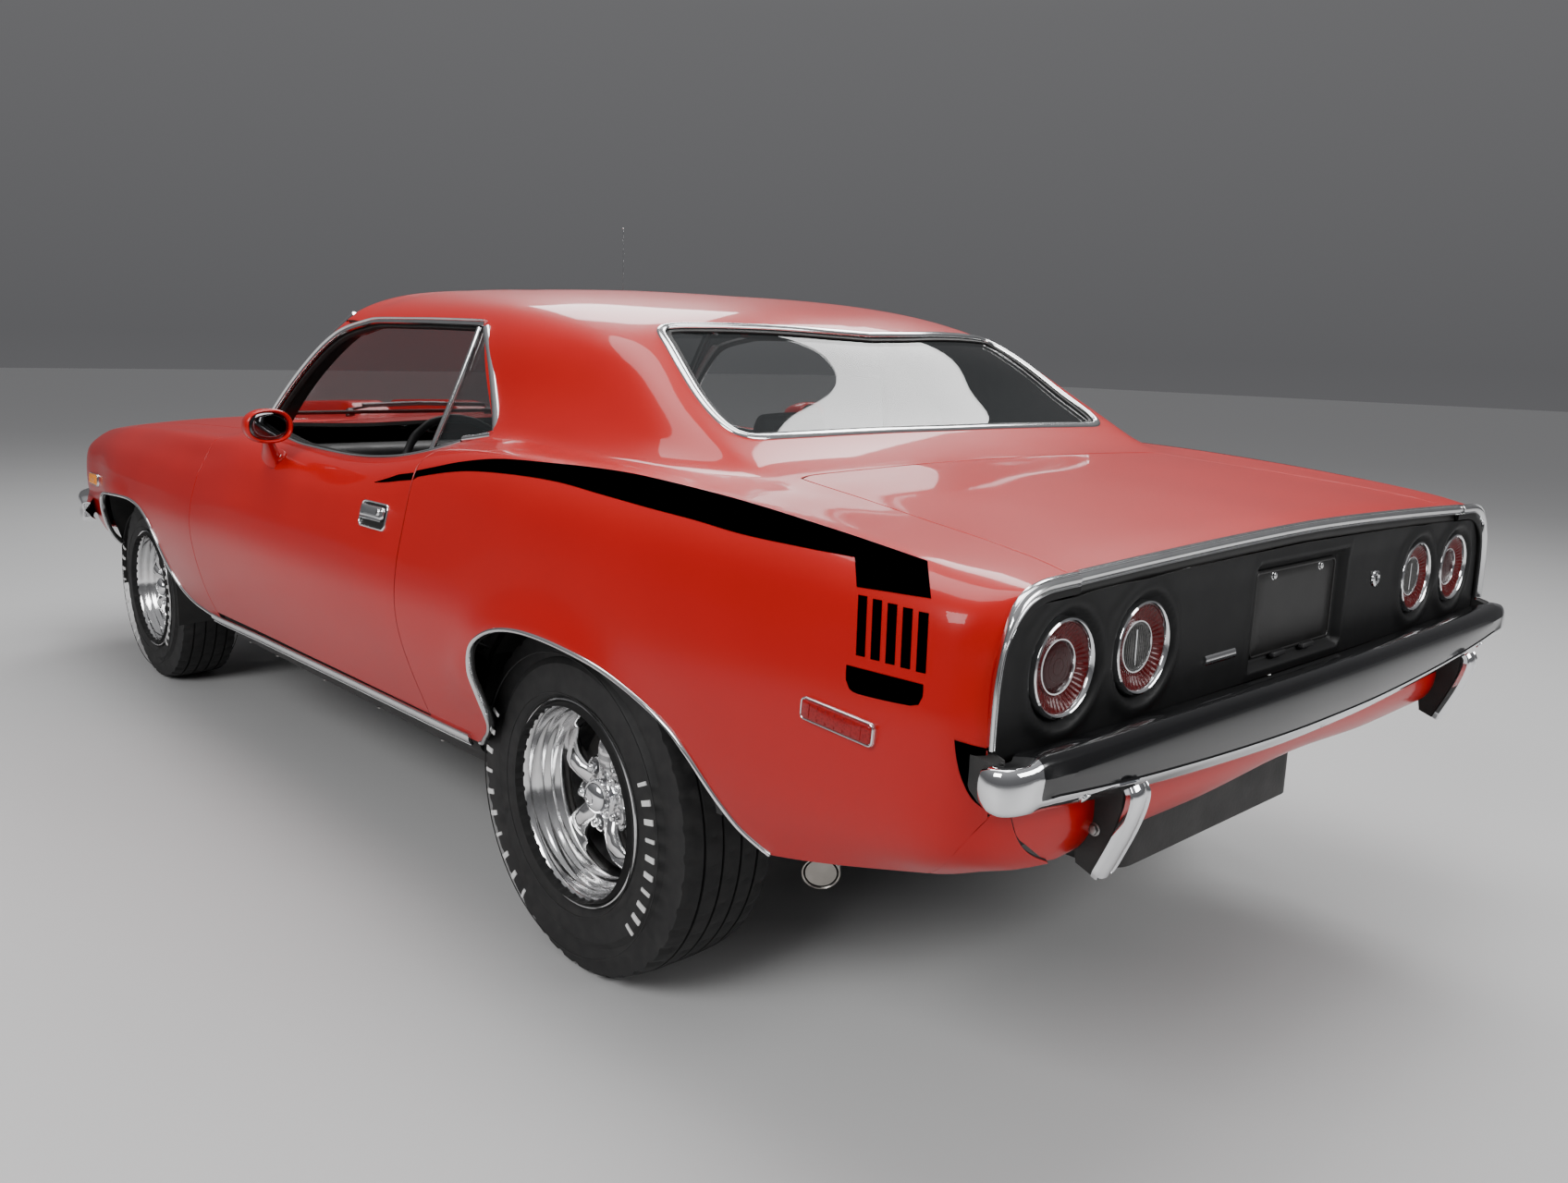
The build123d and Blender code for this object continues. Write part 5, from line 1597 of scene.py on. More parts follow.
def build_rear_bumper():
    half = smooth_poly(BUMP_R, .010)
    plan = np.vstack([half, (half[:-1] * [1, -1])[::-1]])
    n = len(plan)
    # distance from the end, for the shrinking ends
    d = np.concatenate([[0], np.cumsum(np.linalg.norm(np.diff(plan, axis=0), axis=1))])
    L = d[-1]

    def sec(i, s):
        e = min(d[i], L - d[i])
        ay = abs(plan[i, 1])
        kb = 1 - float(sst((e - .085) / .045))
        lift = (min(ay, .80) / .80)**2
        mid, bot, top = .622 + .034 * lift, .588 + .038 * lift, .714
        flat = [(-.060, top - .012), (-.034, top - .004), (-.016, top), (-.006, top - .004), (-.0005, top - .012), (.003, top - .028),
                (.004, (top + mid) / 2), (.002, mid + .022), (-.001, mid + .008), (-.0025, mid + .002), (-.001, mid - .001), (-.002, mid - .005),
                (-.008, mid - .013), (-.017, mid - .023), (-.025, bot + .003), (-.031, bot), (-.038, bot - .001), (-.046, bot + .001)]
        # round chrome corner
        t0, b0 = .7045 - .004 * (1 - float(sst(e / .03))), .640 + .010 * (1 - float(sst(e / .04)))
        zm, h = (t0 + b0) / 2, (t0 - b0) / 2
        g = .012 * float(sst(e / .018))
        ball = []
        for k in range(18):
            a = math.pi * (k - 2.2) / (17 - 4.4)
            if k < 2:
                ball.append((-.040 + .018 * k, t0 - .004 + .002 * k))
            elif k > 15:
                ball.append((-.022 - .018 * (k - 15), b0 + .002 * (k - 15)))
            else:
                a = math.pi * (k - 2) / 13
                ball.append((-.008 + (g + .002) * max(math.sin(a), 0.0)**.75, zm + h * math.cos(a)))
        return [(f[0] * (1 - kb) + c[0] * kb, f[1] * (1 - kb) + c[1] * kb) for f, c in zip(flat, ball)]
    rings = bumper_rings(plan, sec)
    s = Soup()
    v, f = loft(rings)
    m = len(rings[0])
    mats = []
    for i in range(n - 1):
        for j in range(m):
            # the upper face of the bar takes the near-black painted reflection; the lower face and the round corners
            # are chrome
            if j < 10 and abs(plan[i, 1]) < .842:
                mats.append(2)
            elif j < 17:
                mats.append(0)
            else:
                mats.append(1)
    mats += [0] * (len(f) - len(mats))
    s.add(v, f, mats)
    for y in (.735, .02, -.735):
        zz = .605 + .036 * (abs(y) / .80)**2
        s.addp(bolt((-1.0515 + .006 * (abs(y) > .5), y, zz + .003), (-.80, 0, -.6), .0085, .005, 20), 0)
    # near-black ends behind the round corners, painted shade of the gap there, and mounting arms
    for sg in (1, -1):
        o = dense([(-.962, .708), (-.966, .684), (-.976, .664), (-.990, .652), (-1.004, .648), (-1.004, .704), (-.985, .709)], .006)
        part = slab(o, (0, .892, 0), (1, 0, 0), (0, 0, 1), .030, .002)
        s.addp(part if sg > 0 else mirror_part(part), 1)
        s.addp(tube([(-.945, sg * .430, .640), (-1.010, sg * .430, .645), (-1.050, sg * .430, .655)], .017, 14), 1)
    s.make("rear_bumper_bar", ["chrome", "under_black", "bumper_black"], "body", angle=38)
    g = Soup()
    for sg in (1, -1):
        yc = sg * .632
        pz = smooth_poly([(-1.0600, .6340), (-1.0655, .624), (-1.0625, .600), (-1.0500, .562), (-1.0330, .522), (-1.0185, .490)], .006)
        path = np.stack([pz[:, 0], np.full(len(pz), yc), pz[:, 1]], 1)
        t = tangents(path)
        face = np.stack([-np.abs(t[:, 2]), np.zeros(len(pz)), t[:, 0] * np.sign(t[:, 2]) * -1], 1)
        w = np.interp(path[:, 2], [.49, .50, .60, .625, .634], [.046, .054, .052, .050, .046])
        g.addp(ribbon(path, face, w, .0125, RIDGED), 0)
        pl = [(-1.040, .632), (-1.054, .626), (-1.053, .598), (-1.042, .562), (-1.026, .522), (-1.012, .490), (-.985, .500), (-.975, .560), (-.980, .632), (-1.010, .636)]
        o = dense(pl, .012)
        w0 = .0185
        g.addp(slab(o, (0, yc + w0, 0), (1, 0, 0), (0, 0, 1), w0 * 2, .0012), 1)
        g.addp(bolt((-1.012, yc + sg * w0, .560), (0, sg, 0), .008, .006, 6), 2)
        g.addp(bolt((-1.012, yc + sg * w0, .620), (0, sg, 0), .008, .006, 6), 2)
    g.make("rear_guards", ["chrome", "under_black", "bare_steel"], "body", replaces=("rear_bumper",), slot="chrome_trim")


def build_valance():
    # wrap on each side, continuing the body's own surface behind the seam
    x_end = -.9995
    tz = float(u_of_z([-.985], [.628])[0])
    o = np.vstack([seg([(-.8775, 0.0), (x_end, 0.0)], .012), seg([(x_end, 0.0), (x_end, tz)], .01)[1:], seg([(x_end, tz), (-.991, tz)], .006)[1:],
                   seg([(-.991, tz), (-.8775, 0.0)], .012)[1:-1]])
    P, N, tri, co = panel_arrays(dedupe(o), .012, .012)
    for side in ("left", "right"):
        p, n = (P, N) if side == "left" else mirrored(P, N)
        t = tri if side == "left" else tri[:, ::-1]
        v, f, nn, m = shell(p, n, t, thick=.006)
        make("valance_corner_" + side, v, f, ["body_paint", "panel_inside"], "body", face_mats=m, normals=nn)
    # rear face
    zz = smooth_poly([(.645, 0.0), (.600, .006), (.560, .004), (.530, -.010), (.517, -.028), (.511, -.060), (.509, -.110)], .010)
    half = smooth_poly([(-.9995, .802), (-1.001, .76), (-1.004, .60), (-1.007, .30), (-1.008, 0)], .02)
    plan = np.vstack([half, (half[:-1] * [1, -1])[::-1]])
    rings = []
    tt = tangents(np.hstack([plan, np.zeros((len(plan), 1))]))
    for i, (x, y) in enumerate(plan):
        k = np.clip((abs(y) - .70) / .11, 0, 1)
        drop = -.016 * sst((abs(y) - .55) / .25) * 0 + .012 * (1 - sst((abs(y)) / .35))
        o = []
        for a, b in zz:
            lim = np.interp(a, [.50, .528, .585, .645, .68], [.700, .733, .812, .838, .845])
            o.append((x + .0035 * k - b * (1 - .75 * k), y * (1 + ((lim + .003) / .802 - 1) * sst((abs(y) - .30) / .45)), max(a, .5285 - .02 * (1 - k)) + drop * (a < .6)))
        q = [(px + .005, py * .995, pz + .004) for px, py, pz in o][::-1]
        rings.append(o + q)
    s = Soup()
    s.addp(loft(rings), 0)
    s.make("rear_valance_panel", ["body_paint"], "body", replaces=("rear_valance",), slot="body_paint", angle=50)


def build_tips():
    s = Soup()
    for sg in (1, -1):
        a, b = np.array([-.430, sg * .610, .370]), np.array([-.520, sg * .700, .338])
        d = (b - a) / np.linalg.norm(b - a)
        o = b - d * .085
        s.addp(revolve([(.0275, 0), (.031, .004), (.0335, .012), (.0335, .084), (.0330, .0865), (.0315, .087), (.0300, .0855), (.0295, .030), (.0272, .026)], o, d, 40), 0)
        s.addp(revolve([(0, .040), (.0290, .040), (.0290, .044), (0, .044)], o, d, 32, closed_profile=False), 1)
    s.make("exhaust_tips", ["exhaust_steel", "under_black"], "body")


build_tail_panel()
build_lamps()
build_tail_trim()
build_rear_bumper()
build_valance()
build_tips()

# ---- end tail ----

# ---- section wheels ----
WHEELS = {   # body: (axle x, centre y, tyre radius, tyre width, lip face beyond the centre, side)
    "wheel_rear_left": (0.0, .750, .347, .264, .110, 1), "wheel_rear_right": (0.0, -.750, .347, .264, .110, -1),
    "wheel_front_left": (FX, .722, .322, .232, .097, 1), "wheel_front_right": (FX, -.722, .322, .232, .097, -1),
}


GEO = {}


def again(kind, name, maker):
    """Right-hand parts are the left-hand ones mirrored."""
    if name.endswith("left"):
        GEO[(kind, name)] = maker()
        return GEO[(kind, name)]
    s0 = GEO[(kind, name.replace("right", "left"))]
    s = Soup()
    v, f = mirror_part((np.array(s0.v), s0.f))
    s.add(v, f, list(s0.m))
    return s


def place_wheel(part, name):
    """From wheel space (x, y in the wheel plane, z outward) to the car."""
    cx, cy, R, W, lip, sg = WHEELS[name]
    v, f = part
    v = np.array(v, float)
    w = np.stack([v[:, 0] + cx, cy + sg * v[:, 2], v[:, 1] + R], 1)
    return (w, f) if sg < 0 else (w, f)


def tyre_profile(R, W):
    """Half profile of the carcass from the outer bead to the tread middle: (s, r)."""
    h = W / 2
    pts = [(h - .030, .1925), (h - .020, .1985), (h - .0150, .2065), (h - .0095, .2120), (h - .0060, .2260), (h - .0020, .245), (h, R - .072), (h - .0035, R - .046),
           (h - .0110, R - .027), (h - .0225, R - .0130), (h - .0360, R - .0060), (h - .0620, R - .0022), (h * .30, R - .0006), (0, R)]
    return smooth_poly(pts, .0075)


def build_tyre(name):
    key = name.replace("wheel_", "tyre_")
    return again("tyre", name, lambda: tyre_soup(name)).make(key + "_carcass", ["tyre_rubber", "tyre_white"], name, replaces=(key,), slot="tyre", angle=32)


def tyre_soup(name):
    cx, cy, R, W, lip, sg = WHEELS[name]
    half = tyre_profile(R, W)
    prof = np.vstack([half, (half[:-1] * [-1, 1])[::-1]])       # outer bead over the tread to the inner bead
    inner = np.array([(-W / 2 + .034, .1985), (-W / 2 + .024, .212), (-W / 2 + .022, R - .075), (-W / 2 + .050, R - .030), (0, R - .024),
                      (W / 2 - .050, R - .030), (W / 2 - .022, R - .075), (W / 2 - .024, .212), (W / 2 - .034, .1985)])
    # circumferential grooves: exact edges in the profile
    gro = [(-.062, .0062), (-.021, .0058), (.021, .0058), (.062, .0062)] if W > .25 else [(-.054, .0058), (-.018, .0054), (.018, .0054), (.054, .0058)]
    extra = []
    for c, w in gro:
        extra += [c - w / 2, c - w / 2 + .0008, c + w / 2 - .0008, c + w / 2]
    sh = W / 2 - .0300
    extra += [-sh, sh, -sh - .0008, sh + .0008]
    s_mid = prof[:, 0]
    tread = np.abs(s_mid) < W / 2 - .010
    st = np.sort(np.concatenate([s_mid[tread], extra]))[::-1]
    keep = [0]
    ex = set(np.round(extra, 6))
    for i in range(1, len(st)):
        if st[keep[-1]] - st[i] > .0060 or round(st[i], 6) in ex:
            if st[keep[-1]] - st[i] < 1e-6:
                continue
            keep.append(i)
    st = st[keep]
    rt = np.interp(-st, -s_mid[tread], prof[tread, 1])
    top = np.stack([st, rt], 1)
    a0 = np.argmax(tread)
    a1 = len(tread) - np.argmax(tread[::-1])
    prof = np.vstack([prof[:a0], top, prof[a1:]])
    n, m = 280, len(prof) + len(inner)
    V = np.zeros((n, m, 3))
    s, r = prof[:, 0], prof[:, 1]
    deep = np.zeros(len(prof))
    for c, w in gro:
        deep = np.maximum(deep, (np.abs(s - c) < w / 2 - .0004) * 1.0)
    shoulder = (np.abs(s) > gro[-1][0] + .008) & (np.abs(s) < W / 2 - .012)
    rib = (np.abs(s) < gro[-1][0] - .006)
    slot_top = np.clip((W / 2 - .012 - np.abs(s)) / .012, 0, 1)
    for i in range(n):
        a = 2 * math.pi * i / n
        d = deep * .0070
        k = i % 7
        if k in (0, 1):
            d = np.maximum(d, shoulder * .0042 * slot_top)
        k2 = (i + 3) % 7
        if k2 == 0:
            d = np.maximum(d, rib * (np.abs(np.abs(s) - .040) < .013) * .0028)
        if (i + 5) % 7 == 0:
            d = np.maximum(d, (np.abs(s) < .013) * .0028)
        rr = r - d
        V[i, :len(prof)] = np.stack([rr * math.cos(a), rr * math.sin(a), s], 1)
        V[i, len(prof):] = np.stack([inner[:, 1] * math.cos(a), inner[:, 1] * math.sin(a), inner[:, 0]], 1)
    f = grid_faces(n, m, closed_u=True, closed_v=True)
    sp = Soup()
    v, f = place_wheel((V.reshape(-1, 3), f), name)
    v, f = fix(v, f)
    sp.add(v, f, 0)

    def side_s(rr):
        k = half[:, 1] < R - .040
        return np.interp(rr, half[k, 1], half[k, 0])
    # raised bars in two arcs in place of the lettering, and thin raised rings
    q0 = R - .082
    for arc0, arc1, cnt in ((152, 222, 10), (-62, 32, 10)):
        for j in range(cnt):
            a = math.radians(arc0 + (arc1 - arc0) * (j + .5) / cnt)
            wd = .0100 if j % 3 else .0065
            aa = np.linspace(-wd / 2 / q0, wd / 2 / q0, 4) + a
            rr = np.linspace(q0, q0 + .0235, 6)
            P = []
            for lift in (.0011, -.0015):
                for t in aa:
                    for x in rr:
                        e = .0004 * ((t in (aa[0], aa[-1])) or (x in (rr[0], rr[-1]))) * (lift > 0)
                        P.append((x * math.cos(t), x * math.sin(t), side_s(x) + lift - e))
            P = np.array(P)
            na, nr = 4, 6
            g = grid_faces(na, nr)
            g2 = [tuple(i + na * nr for i in reversed(q)) for q in g]
            ring = [i * nr for i in range(na)] + [(na - 1) * nr + j2 for j2 in range(1, nr)] + [i * nr + nr - 1 for i in range(na - 2, -1, -1)] + [j2 for j2 in range(nr - 2, 0, -1)]
            sides = [(ring[i], ring[i] + na * nr, ring[(i + 1) % len(ring)] + na * nr, ring[(i + 1) % len(ring)]) for i in range(len(ring))]
            o = grid_faces(na, nr)
            # orient the three sets consistently through fix on a merged solid
            fs = [tuple(q) for q in o] + g2
            t0 = o[0]
            e0 = (t0[0], t0[1])
            fs += sides
            bm = bmesh.new()
            bv = [bm.verts.new(p) for p in P]
            for q in fs:
                bm.faces.new([bv[i] for i in q])
            bmesh.ops.recalc_face_normals(bm, faces=bm.faces)
            vv = np.array([tuple(x.co) for x in bm.verts])
            bm.verts.index_update()
            ff = [tuple(x.index for x in q.verts) for q in bm.faces]
            bm.free()
            w, ff = place_wheel((vv, ff), name)
            sp.add(*fix(w, ff), 1)
    for rr0 in (.2185, R - .050):
        sz = float(side_s(rr0))
        prof2 = [(rr0 - .0012, -.0010), (rr0 - .0009, .0005), (rr0, .0009), (rr0 + .0009, .0005), (rr0 + .0012, -.0010)]
        for sd in (1, -1):
            v, f = revolve(prof2, (0, 0, 0), (0, 0, 1), 96)
            v = np.array(v)
            v[:, 2] += sz
            v[:, 2] *= sd
            w, f = place_wheel((v, f), name)
            sp.add(*fix(w, f), 0)
    return sp


def build_rim(name):
    again("rim", name, lambda: rim_soup(name)).make(name + "_rim", ["polished_alloy", "cast_alloy", "gunmetal", "chrome", "rubber_black", "bare_steel"], name,
                                                    replaces=(name,), slot="wheel_metal", angle=40)


def rim_soup(name):
    cx, cy, R, W, lip, sg = WHEELS[name]
    sp = Soup()

    def put(part, mat):
        w, f = place_wheel(part, name)
        sp.add(*fix(w, f), mat)
    b = lip                                   # outer lip
    c = -lip + .004                           # inner lip
    dr = 0.014 if lip > .10 else 0.0
    hub = .036 if lip > .10 else .040         # face the spokes spring from
    outer = [(.2060, b - .0060), (.2062, b - .0030), (.2045, b), (.2020, b + .0008), (.1995, b - .0008), (.1975, b - .0050), (.1935, b - .0085),
             (.1895, b - .0125), (.1870, b - .0200), (.1850, b - .0300), (.1815, b - .0345), (.1790, b - .0380), (.1770, b - .0460), (.1745, b - .0520),
             (.1715, b - .0550), (.1690, b - .0610), (.1675, b - .0700), (.1640, b - .0740), (.1615, b - .0800), (.1600, hub - .018), (.1590, hub - .030),
             (.1600, -.030), (.1640, c + .040), (.1760, c + .020), (.1860, c + .010), (.1960, c + .003), (.2030, c)]
    back = [(.2058, c + .003), (.2050, c + .008), (.1955, c + .014), (.1905, c + .020), (.1900, c + .045), (.1720, c + .060), (.1700, .010), (.1900, .035),
            (.1905, b - .022), (.1940, b - .016), (.2010, b - .0085)]
    zz = np.array(outer + back)
    v, f = revolve([(p[0], p[1]) for p in zz], (0, 0, 0), (0, 0, 1), 96)
    m = len(zz)
    mats = []
    for i in range(120):
        for j in range(m):
            mats.append(0 if j < len(outer) - 7 else 1)
    w, f2 = place_wheel((v, f), name)
    sp.add(*fix(w, f2), mats)
    # centre face and spokes as one sculpted height field with five openings between rounded spokes
    off = math.radians(100 if sg > 0 else 80)
    for k in range(5):
        a = off + k * 2 * math.pi / 5
        ca, sa = math.cos(a), math.sin(a)
        rad = np.linspace(.040, .1640, 22)
        t = (rad - .040) / .124
        width = np.interp(t, [0, .12, .30, .50, .72, .90, 1.0], [.0460, .0430, .0400, .0450, .0560, .0660, .0780]) * (1 if True else 1)
        crest = hub + np.interp(t, [0, .12, .28, .50, .70, .85, 1.0], [.004, .010, .018, .0205, .0120, -.004, -.020])
        base = hub + np.interp(t, [0, .3, .7, 1.0], [-.022, -.020, -.022, -.034])
        rings = []
        for r0, wd, cr, ba in zip(rad, width, crest, base):
            hgt = cr - ba
            pts = []
            for j in range(26):
                q = 2 * math.pi * j / 26
                x = math.copysign(abs(math.cos(q))**.90, math.cos(q)) * wd / 2
                y = math.copysign(abs(math.sin(q))**.85, math.sin(q))
                z = ba + hgt * (.5 + .5 * y)
                # pinch the underside
                x *= 1 - .22 * max(0.0, -y)
                pts.append((r0 * ca - x * sa, r0 * sa + x * ca, z))
            rings.append(pts)
        put(loft(rings), 0)
    # hub body with lug pockets between the spokes
    put(revolve([(0, hub - .034), (.078, hub - .034), (.0815, hub - .028), (.0820, hub - .010), (.0800, hub - .0035), (.0755, hub - .0005), (.0500, hub + .0015), (0, hub + .0015)],
                (0, 0, 0), (0, 0, 1), 90, closed_profile=False), 0)
    for k in range(5):
        a = off + (k + .5) * 2 * math.pi / 5
        px, py = .0585 * math.cos(a), .0585 * math.sin(a)
        put(revolve([(.0150, hub - .004), (.0158, hub + .0035), (.0172, hub + .0058), (.0192, hub + .0050), (.0208, hub + .0010), (.0212, hub - .004)], (px, py, 0), (0, 0, 1), 36), 0)
        # dark gunmetal disc at the foot of each lug pocket: painted shade of the recess
        put(revolve([(0, hub - .002), (.0152, hub - .002), (.0152, hub + .0022), (0, hub + .0022)], (px, py, 0), (0, 0, 1), 30, closed_profile=False), 2)
        put(slab(circle(.0098, 6, a), (px, py, hub + .0015), (1, 0, 0), (0, 1, 0), .0150, .0012), 3)
        put(revolve([(0, hub + .0150), (.0082, hub + .0150), (.0078, hub + .0185), (.0055, hub + .0208), (0, hub + .0216)], (px, py, 0), (0, 0, 1), 24, closed_profile=False), 3)
    # centre cap: flange with five lobes, screws and a dome
    n = 120
    rings = []
    for i in range(n):
        a = 2 * math.pi * i / n
        lobe = .0030 * math.cos(5 * (a - off))
        pr = [(.010, hub + .001), (.0445 + lobe, hub + .001), (.0452 + lobe, hub + .0048), (.0435 + lobe, hub + .0068), (.0370, hub + .0078), (.0352, hub + .0100), (.010, hub + .010)]
        rings.append([(r0 * math.cos(a), r0 * math.sin(a), z) for r0, z in pr])
    rings = np.array(rings)
    put(fix(rings.reshape(-1, 3), grid_faces(n, 7, closed_u=True, closed_v=True)), 3)
    dome = [(0, hub + .004), (.0345, hub + .004), (.0345, hub + .0155), (.0338, hub + .0190)] + [(.0325 * math.cos(t) + .0005, hub + .0200 + .0165 * math.sin(t)) for t in np.linspace(.12, 1.45, 10)] + [(0, hub + .0366)]
    put(revolve(dome, (0, 0, 0), (0, 0, 1), 60, closed_profile=False), 3)
    put(revolve([(.0090, hub + .0345), (.0100, hub + .0372), (.0118, hub + .0372), (.0128, hub + .0340)], (0, 0, 0), (0, 0, 1), 36), 3)
    for k in range(5):
        a = off + k * 2 * math.pi / 5
        put(revolve([(0, hub + .004), (.0042, hub + .004), (.0042, hub + .0086), (.0030, hub + .0102), (0, hub + .0106)], (.0405 * math.cos(a), .0405 * math.sin(a), 0), (0, 0, 1), 20, closed_profile=False), 3)
    # valve stem near the lip
    a = math.radians(166 if sg > 0 else 14)
    e = np.array([math.cos(a), math.sin(a), 0])
    p0 = e * .1790 + np.array([0, 0, b - .0420])
    put(tube([p0, p0 - e * .006 + np.array([0, 0, .008]), p0 - e * .010 + np.array([0, 0, .022])], .0034, 12), 4)
    put(tube([p0 - e * .0100 + np.array([0, 0, .0210]), p0 - e * .0125 + np.array([0, 0, .0300])], .0042, 12), 4)
    put(revolve([(0, -.001), (.0075, -.001), (.0070, .0022), (.0045, .0034), (0, .0034)], p0, -e, 18, closed_profile=False), 5)
    return sp


def build_brakes():
    """Finned drums on all four wheels, each turning with its wheel."""
    for name in WHEELS:
        cx, cy, R, W, lip, sg = WHEELS[name]
        sp = Soup()
        hub = .036 if lip > .10 else .040
        z0, z1 = (-.090 if lip > .10 else -.058), hub - .0345
        pr = [(0, z1), (.118, z1), (.126, z1 - .004)]
        for k in range(5):
            zz = z1 - .008 - k * .008
            pr += [(.1255, zz), (.1325, zz - .0012), (.1325, zz - .0032), (.1255, zz - .0046)]
        pr += [(.126, z0), (.100, z0), (0, z0)]
        v, f = revolve(pr, (0, 0, 0), (0, 0, 1), 72, closed_profile=False)
        w, f = place_wheel((v, f), name)
        sp.add(*fix(w, f), 0)
        sp.make(name + "_drum", ["cast_iron"], name, angle=30)


for _w in WHEELS:
    build_tyre(_w)
    build_rim(_w)
build_brakes()

# ---- end wheels ----

# ---- section side ----
CAM_R = (CAM_POS[0] - RX, CAM_POS[1], CAM_POS[2])


def onto_side(pts, y0=.93):
    """Points given on the plane y = y0 as seen from the camera, carried on to the body side: (x, u)."""
    c = np.array(CAM_R)
    P = np.array([[x, y0, z] for x, z in pts])
    D = P - c
    lo, hi = np.full(len(P), .90), np.full(len(P), 1.25)
    for _ in range(15):
        m = (lo + hi) / 2
        q = c + D * m[:, None]
        y = bic(SY, q[:, 0], u_of_z(q[:, 0], q[:, 2], "b", "c"))
        far = q[:, 1] > y
        lo, hi = np.where(far, m, lo), np.where(far, hi, m)
    q = c + D * lo[:, None]
    return np.stack([q[:, 0], u_of_z(q[:, 0], q[:, 2], "b", "c")], 1)


def decal(outline, sx=.012, su=.010, lift=.0006):
    """A thin film on the body surface: outer face lifted, inner face just under the paint."""
    co, tri = triangulate(dedupe(np.array(outline)), sx, su)
    N = SN(co[:, 0], co[:, 1])
    P = S(co[:, 0], co[:, 1]) + N * lift
    v, f, n, m = shell(P, N, tri, thick=lift + .0008, hem=.0002)
    return v, f, n


def both_decals(name, outline, mat, body="body", **kw):
    v, f, n = decal(outline, **kw)
    for side in ("left", "right"):
        b = body.replace("*", side)
        if side == "left":
            make(f"{name}_left", v, f, [mat], b, normals=n)
        else:
            v2, f2 = mirror_part((v, f))
            make(f"{name}_right", v2, f2, [mat], b, normals=n * [1, -1, 1])


def side_strip(pts_xz, width, thick, prof, spacing=.012, off=0.0, zshift=0.0):
    """A moulding along a curve on the side, facing out of the surface."""
    p = smooth_poly(pts_xz, spacing) if spacing else np.array(pts_xz, float)
    P = side_point(p[:, 0], p[:, 1])
    N = SN(p[:, 0], u_of_z(p[:, 0], p[:, 1]))
    return ribbon(P + N * off, N, width, thick, prof)


def build_stripes():
    top = [(.545, .9330), (.507, .940), (.400, .960), (.271, .983), (.131, 1.000), (-.058, 1.008), (-.200, 1.0115), (-.328, 1.010), (-.554, .997), (-.747, .9785), (-.849, .967), (-.917, .9585)]
    bot = [(-.7905, .9455), (-.762, .9455), (-.717, .945), (-.561, .947), (-.450, .9545), (-.335, .960), (-.200, .968), (-.066, .976), (.100, .9745), (.262, .965), (.400, .946), (.545, .9190)]
    tail = [(-.9255, .912), (-.797, .906)]
    t = onto_side(smooth_poly(top, .02))
    b = onto_side(smooth_poly(bot, .02))
    e = onto_side(dense([(-.917, .9585), (-.9262, .912), (-.7965, .906), (-.7905, .9455)], .012, closed=False))
    t[0, 0] = b[-1, 0] = DOOR_R - GAPH - .0015
    t = t[t[:, 0] < DOOR_R - GAPH - .001]
    b = b[b[:, 0] < DOOR_R - GAPH - .001]
    both_decals("stripe_quarter", np.vstack([t, e[1:-1], b]), "black_satin")
    # tip on the door
    x0 = DOOR_R + GAPH + .0015
    tp = onto_side(smooth_poly([(.545, .9330), (.600, .9195), (.664, .9052)], .012))
    bt = onto_side(smooth_poly([(.664, .9040), (.600, .9110), (.545, .9190)], .012))
    tp = tp[tp[:, 0] > x0 + .001]
    bt = bt[bt[:, 0] > x0 + .001]
    o = np.vstack([[(x0, float(np.interp(x0, tp[:, 0], tp[:, 1])))], tp, bt, [(x0, float(np.interp(-x0, -bt[:, 0], bt[:, 1])))]])
    both_decals("stripe_tip", o, "black_satin", "door_*")
    # plain block under the space where the size numerals were, and a generic hatch in that space
    lo = smooth_poly([(-.783, .796), (-.783, .775), (-.790, .7635), (-.805, .760), (-.900, .7655), (-.914, .770), (-.9205, .782), (-.9205, .7985)], .010, corner=[0, 7])
    both_decals("stripe_block", np.vstack([onto_side(lo), onto_side(dense([(-.9205, .7985), (-.783, .796)], .012, closed=False))[1:-1]]), "black_satin")
    for k in range(5):
        x = -.800 - .0268 * k
        bar = [(x, .896 - .0010 * k), (x - .0165, .8965 - .0010 * k), (x - .0165, .8135), (x, .8128)]
        both_decals(f"stripe_hatch_{k}", onto_side(dense([(q[0], q[1]) for q in bar][::-1], .012)), "black_satin")


def build_bumper_gap_shade():
    # black film on the body side next to each bumper end: painted shade of the gap behind the bumper corner
    pts = [(-.952, .7265), (-.956, .706), (-.966, .680), (-.985, .6565), (-1.012, .6465)]
    p = onto_side(smooth_poly(pts, .006), .90)
    p = p[p[:, 0] > -.9840]
    top = [(-.9840, float(u_of_z([-.984], [.7185])[0])), (p[0, 0], p[0, 1])]
    o = np.vstack([p, [(-.9840, p[-1, 1])], seg([(-.9840, p[-1, 1]), top[0]], .008)[1:], seg(top, .008)[1:-1]])
    both_decals("bumper_recess", o, "black_satin", lift=.0012, sx=.008, su=.008)


